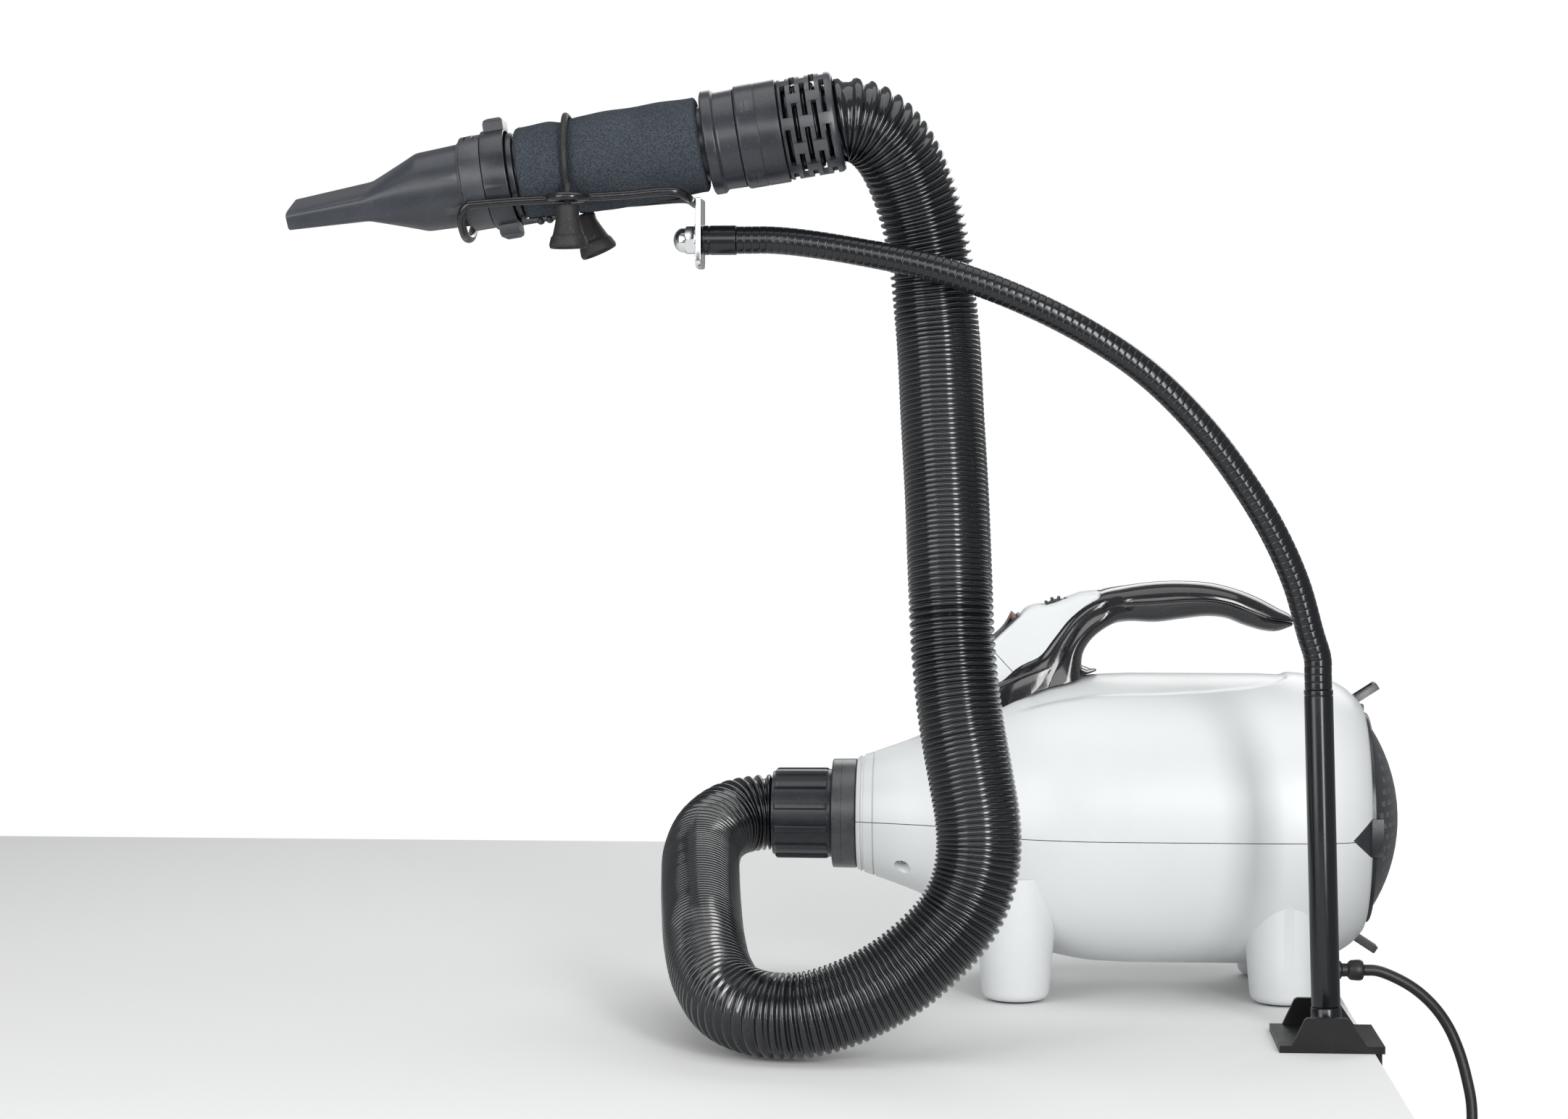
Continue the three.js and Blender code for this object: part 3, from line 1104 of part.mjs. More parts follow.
function buildCord() {
  const { r, sides, steps, coilSteps, coilTurns, coilSides } = cord;
  const { x, y, z, reach } = gland;
  const mouth = x + reach;
  const first = coilAt(0);
  const drop = point(first.x + 2 * r, first.y, first.z + 2 * r);
  const free = route([
    point(mouth + seat, y, z), point(mouth + 8, y, z - 0.3), point(335, y, 14.8), point(346, y, 8),
    point(356, y, -1.5),
    point(364, y, -13), point(370, y - 2, -27), point(374, y - 5, -42), point(376.5, y - 8, -57),
    point(376, first.y, -71), point(372, first.y, -84), point(drop.x + r, first.y, drop.z + r), drop,
  ]);
  piece('power_cord', solid(tube(free, r, sides, steps)), looks.rubber);

  const total = Math.round(coilTurns * coilSteps);
  const turning = Array.from({ length: total + 1 }, (_, i) => coilAt(i / coilSteps));
  const leave = coilAngle(total / coilSteps);
  const tangent = point(-Math.sin(leave), 0, Math.cos(leave));
  const straight = [7, 14].map((along) => turning[total].clone().addScaledVector(tangent, along));
  const centres = [point(drop.x - seat * 0.7, first.y, drop.z - seat * 0.7), ...turning, ...straight];
  piece('cord_coil', solid(wound(centres, r, coilSides)), looks.rubber);
  const [gap, length] = [leastGap(centres, r), lengthOf(centres)];
  console.log(`cord coil: least gap to itself ${gap.toFixed(2)} mm, length ${length.toFixed(0)} mm`);
  console.log(`free cord: length ${free.getLength().toFixed(0)} mm`);
  buildTie(centres);
  buildPlug(straight[1].clone().addScaledVector(tangent, seat), tangent);
}

// The band round all the turns on one side of the coil.
function buildTie(centres) {
  const { r, coilPitch, coilSteps, coilX, coilZ, layers } = cord;
  const angle = rad(45);
  const radii = centres.map((c) => [Math.hypot(c.x - coilX, c.z - coilZ), Math.atan2(c.z - coilZ, c.x - coilX)])
    .filter(([, at]) => Math.abs(at - angle) < Math.PI / coilSteps)
    .map(([radius]) => radius);
  const [least, most] = [Math.min(...radii), Math.max(...radii)];
  const [high, wide] = [most - least + 2 * r + 1, (layers - 1) * coilPitch + 2 * r + 1];
  const band = solid(new THREE.BoxGeometry(high + 3, wide + 3, 6))
    .subtract(solid(new THREE.BoxGeometry(high, wide, 20)));
  const middle = (least + most) / 2;
  piece('cord_tie', band.rotate([0, -THREE.MathUtils.radToDeg(angle), 0]).translate([
    coilX + middle * Math.cos(angle), gland.y, coilZ + middle * Math.sin(angle),
  ]), looks.rubber);
}

function buildPlug(at, tangent) {
  const { neckR, r, l, pinR, pinL, pinSpacing } = plug;
  const body = solid(turned([
    [0, 0], [0, neckR], [l * 0.4, neckR + 1.8], [l / 2, r * 0.75], [l * 0.6, r], [l - 2, r + 0.4],
    [l, r - 0.6], [l, 0],
  ], facets.medium));
  const pins = bothSides((side) => solid(
    rod(l - 1, l - 1 + pinL, pinR, facets.small).translate(0, (side * pinSpacing) / 2, 0),
  ));
  const holder = new THREE.Group();
  holder.position.copy(at);
  holder.quaternion.setFromUnitVectors(point(1, 0, 0), tangent);
  piece('plug', united([body, ...pins]), looks.rubber, holder);
  part.add(holder);
}

// A tube whose rings stand square to the line at each of its centres.
function wound(centres, r, sides) {
  return loft(centres.map((centre, i) => {
    const before = centres[Math.max(i - 1, 0)];
    const after = centres[Math.min(i + 1, centres.length - 1)];
    const along = after.clone().sub(before).normalize();
    const aside = point(0, 1, 0).addScaledVector(along, -along.y).normalize();
    const up = along.clone().cross(aside);
    return Array.from({ length: sides }, (_, k) => {
      const turn = (2 * Math.PI * k) / sides;
      return centre.clone().addScaledVector(aside, r * Math.cos(turn))
        .addScaledVector(up, r * Math.sin(turn));
    });
  }));
}

function lengthOf(centres) {
  return centres.slice(1).reduce((sum, p, i) => sum + p.distanceTo(centres[i]), 0);
}

// The least distance between the surfaces of a wound tube's separate turns.
function leastGap(centres, r) {
  const samples = [];
  let along = 0;
  centres.slice(1).forEach((end, i) => {
    const start = centres[i];
    const parts = 8;
    const step = start.distanceTo(end) / parts;
    for (let k = 0; k < parts; k += 1) {
      samples.push({ at: start.clone().lerp(end, k / parts), along: along + step * k });
    }
    along += step * parts;
  });
  let least = Infinity;
  samples.forEach((a, i) => {
    for (let j = i + 1; j < samples.length; j += 1) {
      if (samples[j].along - a.along > 8 * r) least = Math.min(least, a.at.distanceTo(samples[j].at));
    }
  });
  return least - 2 * r;
}

// ---------------------------------------------------------------- assembly
buildCasings();
buildOutlet();
buildIntake();
buildMotor();
buildHeater();
buildHandleAndPanel();
buildSwitches();
buildWheel();
buildHose();
buildNozzle();
buildLockingRing();
buildWandTube();
buildFoamGrip();
buildSocket();
buildSleeve();
buildCage();
buildCradle();
buildElastic();
buildGooseneck();
buildPole();
buildClampBody();
buildScrew();
buildGland();
buildCord();

// The origin is the middle of the face by which the clamp stands on the table.
part.position.set(-clamp.x, -clamp.y, 0);
part.updateMatrixWorld(true);

export default part;
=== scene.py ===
"""A table-top pet dryer, dressed: blower, ribbed hose, handpiece and clamped gooseneck arm.

Sizes are millimetres in the blower's own frame: x = 0 at the outlet ring's front, z = 0 on the
table, the blower's axis in the plane y = 0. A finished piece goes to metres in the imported
model's frame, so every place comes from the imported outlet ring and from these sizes. In a
profile each point is (along the axis, radius).
"""

from __future__ import annotations

import json
import logging
import math
from dataclasses import dataclass, field
from enum import Enum
from typing import Callable, Iterable, Mapping, Sequence

import bmesh
import bpy
from mathutils import Matrix, Vector

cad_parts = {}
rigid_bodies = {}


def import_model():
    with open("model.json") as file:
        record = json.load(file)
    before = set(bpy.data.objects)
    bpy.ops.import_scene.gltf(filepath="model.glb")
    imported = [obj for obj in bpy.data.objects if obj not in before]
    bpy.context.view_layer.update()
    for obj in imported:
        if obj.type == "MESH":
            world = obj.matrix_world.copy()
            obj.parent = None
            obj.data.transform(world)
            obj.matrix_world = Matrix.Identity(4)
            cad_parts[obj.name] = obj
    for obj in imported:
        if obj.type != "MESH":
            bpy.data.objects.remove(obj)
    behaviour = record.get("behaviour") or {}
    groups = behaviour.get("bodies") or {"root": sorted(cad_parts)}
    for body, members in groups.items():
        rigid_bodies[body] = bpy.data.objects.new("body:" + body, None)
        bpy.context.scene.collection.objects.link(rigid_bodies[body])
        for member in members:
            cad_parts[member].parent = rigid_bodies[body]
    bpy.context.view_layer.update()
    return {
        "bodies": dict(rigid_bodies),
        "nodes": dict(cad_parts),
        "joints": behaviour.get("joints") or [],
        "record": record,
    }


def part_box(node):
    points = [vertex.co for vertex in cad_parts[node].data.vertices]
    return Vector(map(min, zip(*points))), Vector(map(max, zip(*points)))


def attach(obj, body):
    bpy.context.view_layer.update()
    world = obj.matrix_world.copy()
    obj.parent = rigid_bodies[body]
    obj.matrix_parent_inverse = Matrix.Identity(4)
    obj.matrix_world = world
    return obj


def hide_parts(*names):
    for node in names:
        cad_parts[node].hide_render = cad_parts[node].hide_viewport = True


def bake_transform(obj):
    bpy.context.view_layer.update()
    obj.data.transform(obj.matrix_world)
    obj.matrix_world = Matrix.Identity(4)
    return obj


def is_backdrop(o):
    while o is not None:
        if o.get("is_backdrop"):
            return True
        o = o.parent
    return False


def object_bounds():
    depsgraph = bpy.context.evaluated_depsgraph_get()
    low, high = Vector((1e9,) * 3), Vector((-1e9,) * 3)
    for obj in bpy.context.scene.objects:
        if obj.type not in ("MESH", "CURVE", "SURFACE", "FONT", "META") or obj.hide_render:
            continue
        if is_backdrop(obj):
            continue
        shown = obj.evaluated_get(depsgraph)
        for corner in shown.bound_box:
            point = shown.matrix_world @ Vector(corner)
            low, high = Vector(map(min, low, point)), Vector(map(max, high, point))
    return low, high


LOG = logging.getLogger("pet_dryer")

Point = tuple[float, float, float]
Profile = Sequence[tuple[float, float]]
Colour = tuple[float, float, float]
Values = Mapping[str | int, object]

TAU = 2 * math.pi
METRES = 0.001
PER_METRE = 1000.0
TINY = 1e-6
BLUNT = math.radians(150)
SIDES = (-1, 1)
ORIGIN = (0.0, 0.0, 0.0)
UPRIGHT = Matrix.Rotation(-math.pi / 2, 4, "Y")


class Body(Enum):
    """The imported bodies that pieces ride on."""

    BASE = "base"
    POWER_ROCKER = "power_rocker"
    HEAT_ROCKER = "heat_rocker"
    SPEED_WHEEL = "speed_wheel"
    INTAKE_COVER = "intake_cover"
    UPPER_LATCH = "upper_latch"
    LOWER_LATCH = "lower_latch"
    COUPLING_NUT = "coupling_nut"
    ARM = "arm"
    HANDPIECE = "handpiece"
    LOCKING_RING = "locking_ring"
    NOZZLE = "nozzle"
    PRESSURE_PAD = "pressure_pad"
    CLAMP_SCREW = "clamp_screw"


# ------------------------------------------------------------------ node trees
class Link:
    """A node's output that Python's operators work on."""

    def __init__(self, tree: "NodeTree", socket: bpy.types.NodeSocket) -> None:
        """Keeps the socket and the tree it belongs to."""
        self.tree = tree
        self.socket = socket

    def maths(self, operation: str, other: "Link | float" = 0.0) -> "Link":
        """A Math node on this value and another."""
        return self.tree.maths(operation, self, other)

    def __add__(self, other: "Link | float") -> "Link":
        """Sum."""
        return self.maths("ADD", other)

    __radd__ = __add__

    def __sub__(self, other: "Link | float") -> "Link":
        """Difference."""
        return self.maths("SUBTRACT", other)

    def __rsub__(self, other: float) -> "Link":
        """Difference from a number."""
        return self.tree.maths("SUBTRACT", other, self)

    def __mul__(self, other: "Link | float") -> "Link":
        """Product."""
        return self.maths("MULTIPLY", other)

    __rmul__ = __mul__

    def __truediv__(self, other: "Link | float") -> "Link":
        """Quotient."""
        return self.maths("DIVIDE", other)

    def clamped(self) -> "Link":
        """The value held between 0 and 1."""
        return self.maths("MAXIMUM", 0.0).maths("MINIMUM", 1.0)


class Outputs:
    """A node's outputs, by name or number."""

    def __init__(self, tree: "NodeTree", made: bpy.types.Node) -> None:
        """Keeps the node."""
        self.tree = tree
        self.made = made

    def __getitem__(self, name: str | int) -> Link:
        """The output of that name or number."""
        return Link(self.tree, self.made.outputs[name])


class NodeTree:
    """A node tree and the ways to add to it."""

    def __init__(self, tree: bpy.types.NodeTree) -> None:
        """Empties the tree and keeps it."""
        self.tree = tree
        tree.nodes.clear()

    def node(self, kind: str, values: Values | None = None, **settings: object) -> Outputs:
        """Adds a node.

        Args:
            kind: The node's type.
            values: Numbers, colours or links for its sockets, by name or number.
            settings: What is set on the node first.

        Returns:
            The node's outputs.
        """
        made = self.tree.nodes.new(kind)
        for key, value in settings.items():
            setattr(made, key, value)
        for key, value in (values or {}).items():
            if isinstance(value, Link):
                self.tree.links.new(value.socket, made.inputs[key])
            else:
                made.inputs[key].default_value = value
        return Outputs(self, made)

    def maths(self, operation: str, first: Link | float, second: Link | float = 0.0) -> Link:
        """A Math node on two values."""
        return self.node("ShaderNodeMath", {0: first, 1: second}, operation=operation)[0]


class Shader(NodeTree):
    """One material's node tree."""

    def __init__(self, name: str) -> None:
        """Starts the material with the object's own coordinates."""
        self.material = bpy.data.materials.new(name)
        self.material.use_nodes = True
        super().__init__(self.material.node_tree)
        self.place = self.node("ShaderNodeTexCoord")["Object"]

    def noise(self, size: float, detail: float = 2.0, roughness: float = 0.5,
              where: Link | None = None) -> Link:
        """Noise from 0 to 1.

        Args:
            size: The size of its patches in millimetres.
            detail: How many finer layers it has.
            roughness: How strong the finer layers are.
            where: The coordinates, or none for the object's own.

        Returns:
            The noise's value.
        """
        return self.node("ShaderNodeTexNoise", {
            "Vector": where or self.place, "Scale": PER_METRE / size, "Detail": detail,
            "Roughness": roughness,
        })["Fac"]

    def cells(self, size: float, randomness: float = 1.0, distance: str = "EUCLIDEAN") -> Link:
        """The distance from the nearest of scattered points some millimetres apart."""
        return self.node("ShaderNodeTexVoronoi", {
            "Vector": self.place, "Scale": PER_METRE / size, "Randomness": randomness,
        }, feature="F1", distance=distance)["Distance"]

    def blend(self, factor: Link, low: Colour | Link, high: Colour | Link) -> Link:
        """A mix of two colours."""
        first, second = (c if isinstance(c, Link) else (*c, 1.0) for c in (low, high))
        return self.node("ShaderNodeMix", {0: factor, 6: first, 7: second}, data_type="RGBA")[2]

    def bump(self, height: Link, depth: float, strength: float = 1.0, under: Link | None = None) -> Link:
        """Bumps of some depth in millimetres, on top of other bumps."""
        values = {"Height": height, "Distance": depth * METRES, "Strength": strength}
        if under is not None:
            values["Normal"] = under
        return self.node("ShaderNodeBump", values)["Normal"]

    def finish(self, values: Values) -> bpy.types.Material:
        """Ends the tree in a Principled BSDF with these values."""
        shader = self.node("ShaderNodeBsdfPrincipled", values)
        self.node("ShaderNodeOutputMaterial", {"Surface": shader["BSDF"]})
        return self.material


def scaled(colour: Colour, by: float, plus: float = 0.0) -> Colour:
    """A colour made lighter or darker, no brighter than white."""
    return tuple(min(c * by + plus, 1.0) for c in colour)


# ------------------------------------------------------------------ finishes
BROAD_PATCH = 55.0
HAND_PATCH = 16.0
SPECK = 1.4
DUST = (0.32, 0.31, 0.3)
WORN_TONE = 0.75


@dataclass(frozen=True)
class Moulding:
    """Moulded plastic or rubber with the fine grain of its tool.

    Lengths are millimetres: grain is the size of the tool's texture and depth its height.
    """

    name: str
    slot: str
    colour: Colour
    roughness: float
    grain: float = 0.5
    depth: float = 0.02
    mottle: float = 0.05
    smudge: float = 0.06
    specular: float = 0.5
    coat: float = 0.0
    coat_roughness: float = 0.06
    waviness: float = 0.0
    wear: float = 0.0
    dust: float = 0.0

    def material(self) -> bpy.types.Material:
        """Builds the finish: mottled colour, uneven gloss, worn edges and a fine grain."""
        shader = Shader(self.name)
        broad = shader.noise(BROAD_PATCH, 3.0)
        hands = shader.noise(HAND_PATCH, 4.0, 0.6)
        grain = shader.noise(self.grain, 1.0)
        tone = (0.5 * broad + 0.3 * hands + 0.2 * grain).clamped()
        dark, light = scaled(self.colour, 1 - self.mottle), scaled(self.colour, 1 + self.mottle, 0.002)
        colour = shader.blend(((tone - 0.35) / 0.3).clamped(), dark, light)
        edge = shader.node("ShaderNodeNewGeometry")["Pointiness"]
        worn = (((edge - 0.53) * 14.0).clamped() * hands).clamped()
        if self.wear > 0:
            colour = shader.blend(worn, colour, scaled(self.colour, 1 - self.wear, WORN_TONE * self.wear))
        if self.dust > 0:
            specks = ((shader.noise(SPECK, 2.0, 0.7) - 0.62) * 9.0).clamped() * hands * self.dust
            colour = shader.blend(specks.clamped(), colour, DUST)
        gloss = (self.roughness + self.smudge * ((hands - 0.5) * 2.0) + 0.04 * worn).clamped()
        normal = shader.bump(grain, self.depth)
        if self.waviness > 0:
            normal = shader.bump(broad, self.waviness, 1.0, normal)
        return shader.finish({
            "Base Color": colour, "Roughness": gloss, "Normal": normal, "Specular IOR Level": self.specular,
            "Coat Weight": self.coat, "Coat Roughness": self.coat_roughness,
        })


@dataclass(frozen=True)
class Metal:
    """Bare, plated or painted metal with fine drawing lines or a cast skin."""

    name: str
    slot: str
    colour: Colour
    roughness: float
    metallic: float = 1.0
    lines: float = 0.0
    cast: float = 0.0
    smudge: float = 0.08
    specular: float = 0.5
    tarnish: Colour = (0.25, 0.22, 0.19)
    patch: float = 9.0
    line_stretch: Point = (30.0, 1.0, 1.0)

    def material(self) -> bpy.types.Material:
        """Builds the finish: tarnish in patches, uneven gloss, drawing lines or a cast skin."""
        shader = Shader(self.name)
        patches = shader.noise(self.patch, 5.0, 0.65)
        colour = shader.blend(((patches - 0.6) * 6.0).clamped() * 0.35, self.colour, self.tarnish)
        gloss = (self.roughness + self.smudge * ((patches - 0.5) * 2.0)).clamped()
        if self.lines > 0:
            stretched = shader.node("ShaderNodeMapping", {"Vector": shader.place, "Scale": self.line_stretch})
            grain = shader.noise(6.0, 2.0, 0.6, stretched["Vector"])
        else:
            grain = shader.noise(0.9, 3.0, 0.6)
        return shader.finish({
            "Base Color": colour, "Roughness": gloss, "Metallic": self.metallic,
            "Normal": shader.bump(grain, max(self.lines, self.cast, 0.002)),
            "Specular IOR Level": self.specular,
        })


@dataclass(frozen=True)
class OpenFoam:
    """Open-cell foam: lighter cell walls, with painted shade in the small pores between them."""

    name: str
    slot: str
    colour: Colour
    pore: float = 0.9
    depth: float = 0.35
    patch: float = 22.0

    def material(self) -> bpy.types.Material:
        """Builds the foam from two sizes of cells, with painted shade in the pores and broad patches of rougher
        and smoother foam.
        """
        shader = Shader(self.name)
        broad = shader.noise(self.patch, 3.0)
        wall = ((shader.cells(self.pore) - 0.12) * 2.2).clamped()
        # painted shade: the pores near each cell's middle get the deep colour, the cell walls the pale one
        deep, pale = scaled(self.colour, 0.35), scaled(self.colour, 1.5, 0.01)
        colour = shader.blend((wall * 0.75 + broad * 0.45 - 0.1).clamped(), deep, pale)
        normal = shader.bump(wall, self.depth, 0.9)
        return shader.finish({
            "Base Color": colour, "Roughness": (0.9 + 0.08 * broad).clamped(), "Specular IOR Level": 0.2,
            "Normal": shader.bump(shader.cells(self.pore * 3.1), self.depth * 1.4, 0.5, normal),
        })


@dataclass(frozen=True)
class Laminate:
    """Mica sheet or a circuit board: layered flakes or traces under a varnish."""

    name: str
    slot: str
    colour: Colour
    fleck: Colour
    size: float = 2.2
    roughness: float = 0.45
    depth: float = 0.05

    def material(self) -> bpy.types.Material:
        """Builds the sheet from flat flecks."""
        shader = Shader(self.name)
        flakes = shader.cells(self.size, 0.8, "CHEBYCHEV")
        fleck = ((flakes - 0.32) * 5.0).clamped()
        return shader.finish({
            "Base Color": shader.blend(fleck, self.colour, self.fleck),
            "Roughness": (self.roughness + 0.2 * fleck).clamped(),
            "Normal": shader.bump(flakes, self.depth),
        })


CASING = Moulding("pale_casing", "casing", (0.66, 0.68, 0.68), 0.34, grain=0.6, depth=0.008, mottle=0.012,
                  smudge=0.03, waviness=0.05, dust=0.05)
SATIN_BLACK = Moulding("satin_black", "black_plastic", (0.020, 0.023, 0.029), 0.3, grain=0.45, depth=0.014,
                       mottle=0.25, smudge=0.08, wear=0.12, dust=0.25)
NOZZLE_BLACK = Moulding("nozzle_black", "black_plastic", (0.027, 0.031, 0.039), 0.32, grain=0.4, depth=0.012,
                        mottle=0.2, smudge=0.08, wear=0.1, dust=0.2, waviness=0.05)
GLOSS_BLACK = Moulding("gloss_black", "gloss_black", (0.012, 0.012, 0.014), 0.13, grain=2.0, depth=0.002,
                       mottle=0.2, smudge=0.06, coat=0.4, waviness=0.08, dust=0.25)
HOSE_BLACK = Moulding("hose_black", "gloss_black", (0.005, 0.006, 0.008), 0.17, grain=1.2, depth=0.006,
                      mottle=0.3, smudge=0.05, coat=0.3, dust=0.2)
RUBBER = Moulding("black_rubber", "rubber", (0.018, 0.018, 0.019), 0.6, grain=0.5, depth=0.03,
                  mottle=0.25, smudge=0.08, specular=0.4, dust=0.4)
CORD_RUBBER = Moulding("cord_rubber", "rubber", (0.014, 0.014, 0.015), 0.42, grain=0.8, depth=0.015,
                       mottle=0.25, smudge=0.08, specular=0.45, dust=0.3)
VINYL_WIRE = Moulding("vinyl_wire", "vinyl_wire", (0.009, 0.009, 0.011), 0.17, grain=1.5, depth=0.02,
                      mottle=0.3, smudge=0.08, waviness=0.1, dust=0.25)
RED_LENS = Moulding("red_lens", "black_plastic", (0.13, 0.03, 0.022), 0.22, grain=1.0, depth=0.004,
                    mottle=0.15, smudge=0.04, coat=0.3)
ARM_BLACK = Metal("arm_black", "black_steel", (0.007, 0.008, 0.010), 0.2, metallic=0.0, cast=0.006,
                  tarnish=(0.02, 0.02, 0.022))
CLAMP_BLACK = Metal("clamp_black", "black_steel", (0.005, 0.005, 0.006), 0.42, metallic=0.0, cast=0.05,
                    smudge=0.1, specular=0.25, tarnish=(0.02, 0.019, 0.018))
CHROME = Metal("bright_chrome", "chrome", (0.78, 0.79, 0.8), 0.12, lines=0.004, smudge=0.05)
STEEL = Metal("drawn_steel", "steel", (0.48, 0.48, 0.47), 0.3, lines=0.02)
MOTOR_METAL = Metal("zinced_can", "motor_metal", (0.55, 0.56, 0.54), 0.35, lines=0.015, smudge=0.12)
CAST_ALLOY = Metal("cast_alloy", "cast_alloy", (0.5, 0.5, 0.5), 0.45, cast=0.08, smudge=0.1)
GRIP_FOAM = OpenFoam("grip_foam", "foam", (0.028, 0.035, 0.044), pore=0.75, depth=0.3)
FILTER_FOAM = OpenFoam("filter_foam", "filter_foam", (0.05, 0.05, 0.052), pore=1.6, depth=0.8)
MICA = Laminate("mica_sheet", "mica", (0.5, 0.42, 0.28), (0.62, 0.56, 0.42))
BOARD = Laminate("green_board", "board", (0.03, 0.12, 0.06), (0.07, 0.2, 0.09), size=3.0, roughness=0.35)
Finish = Moulding | Metal | OpenFoam | Laminate


class Palette:
    """Makes each finish's material once."""

    def __init__(self) -> None:
        """Starts with no material."""
        self.made: dict[str, bpy.types.Material] = {}

    def of(self, finish: Finish) -> bpy.types.Material:
        """The material of a finish."""
        if finish.name not in self.made:
            self.made[finish.name] = finish.material()
        return self.made[finish.name]


# ------------------------------------------------------------------ forms
def smoothed(points: Sequence[Sequence[float]], steps: int = 6) -> list[Vector]:
    """A smooth line through points, by centripetal splines.

    Args:
        points: The points to pass.
        steps: How many steps lie between two points.

    Returns:
        The line's points.
    """
    given = [Vector(p) for p in points]
    ends = [given[0] * 2 - given[1], *given, given[-1] * 2 - given[-2]]
    line: list[Vector] = []
    for a, b, c, d in zip(ends, ends[1:], ends[2:], ends[3:]):
        t1 = max((b - a).length, TINY) ** 0.5
        t2 = t1 + max((c - b).length, TINY) ** 0.5
        t3 = t2 + max((d - c).length, TINY) ** 0.5
        for k in range(steps):
            t = t1 + (t2 - t1) * k / steps
            ab, bc, cd = a.lerp(b, t / t1), b.lerp(c, (t - t1) / (t2 - t1)), c.lerp(d, (t - t2) / (t3 - t2))
            abc, bcd = ab.lerp(bc, t / t2), bc.lerp(cd, (t - t1) / (t3 - t1))
            line.append(abc.lerp(bcd, (t - t1) / (t2 - t1)))
    return [*line, given[-1].copy()]


def evenly(line: Sequence[Vector], count: int) -> list[Vector]:
    """Some count of points at even steps along a line, its first and last among them."""
    reach = [0.0]
    for a, b in zip(line, line[1:]):
        reach.append(reach[-1] + (b - a).length)
    made: list[Vector] = []
    at = 0
    for i in range(count):
        goal = reach[-1] * i / (count - 1)
        while at < len(line) - 2 and reach[at + 1] < goal:
            at += 1
        span = max(reach[at + 1] - reach[at], TINY)
        made.append(line[at].lerp(line[at + 1], held((goal - reach[at]) / span)))
    return made


def length_of(line: Sequence[Vector]) -> float:
    """The length of a line of points."""
    return sum((b - a).length for a, b in zip(line, line[1:]))


def between(table: Profile, at: float) -> float:
    """The value that a table of (place, value) rows has at a place, or at its nearest end."""
    for (x0, v0), (x1, v1) in zip(table, table[1:]):
        if x0 <= at <= x1 and x1 > x0:
            return v0 + (v1 - v0) * (at - x0) / (x1 - x0)
    return table[0 if at < table[0][0] else -1][1]


def held(value: float, low: float = 0.0) -> float:
    """The value held between a least value and 1."""
    return min(max(value, low), 1.0)


def eased(share: float, by: float = 1.0) -> float:
    """A share from 0 to 1 made to start and end softly, times a size."""
    return by * share * share * (3 - 2 * share)


def oval(count: int, power: float = 1.0) -> list[tuple[float, float]]:
    """Points round a superellipse of half width and height 1; a power under 1 makes it squarer."""
    turns = [(math.cos(TAU * i / count), math.sin(TAU * i / count)) for i in range(count)]
    return [(math.copysign(abs(c) ** power, c), math.copysign(abs(s) ** power, s)) for c, s in turns]


def rounded(profile: Profile, radius: float, steps: int = 3) -> list[tuple[float, float]]:
    """A profile with its sharp corners rounded off.

    Args:
        profile: The (x, radius) points; corners on the axis stay.
        radius: The size of the rounding.
        steps: How many steps each corner gets.

    Returns:
        The rounded profile.
    """
    looped = profile[0] == profile[-1]
    line = [Vector(p) for p in (profile[:-1] if looped else profile)]
    made: list[tuple[float, float]] = []
    for i, p in enumerate(line):
        before, after = line[i - 1], line[(i + 1) % len(line)]
        inward, outward = before - p, after - p
        at_end = not looped and i in (0, len(line) - 1)
        if at_end or p.y < TINY or min(inward.length, outward.length) < TINY or inward.angle(outward) > BLUNT:
            made.append((p.x, p.y))
            continue
        cut = min(radius, inward.length * 0.45, outward.length * 0.45)
        start, end = p + inward.normalized() * cut, p + outward.normalized() * cut
        for k in range(steps + 1):
            t = k / steps
            q = start.lerp(p, t).lerp(p.lerp(end, t), t)
            made.append((q.x, q.y))
    return [*made, made[0]] if looped else made


def directions(path: Sequence[Vector]) -> list[tuple[Vector, Vector]]:
    """Untwisted directions aside and up at each point of a path."""
    made: list[tuple[Vector, Vector]] = []
    aside = Vector((0, 1, 0))
    for i in range(len(path)):
        along = (path[min(i + 1, len(path) - 1)] - path[max(i - 1, 0)]).normalized()
        if i == 0 and abs(along.y) > 0.9:
            aside = Vector((0, 0, 1))
        aside = (aside - along * aside.dot(along)).normalized()
        made.append((aside, along.cross(aside)))
    return made


def evaluated(made: bpy.types.Object) -> bpy.types.Mesh:
    """An object's mesh after its modifiers."""
    return bpy.data.meshes.new_from_object(made.evaluated_get(bpy.context.evaluated_depsgraph_get()))


def linked(name: str, data: bpy.types.ID) -> bpy.types.Object:
    """A new object of some data, in the scene."""
    made = bpy.data.objects.new(name, data)
    bpy.context.scene.collection.objects.link(made)
    return made


def round_edges(made: bpy.types.Object, width: float, steps: int, limit: float) -> bpy.types.Modifier:
    """Adds the rounding of an object's edges past an angle in degrees."""
    edge = made.modifiers.new("rounding", "BEVEL")
    edge.width = width
    edge.segments = steps
    edge.limit_method = "ANGLE"
    edge.angle_limit = math.radians(limit)
    return edge


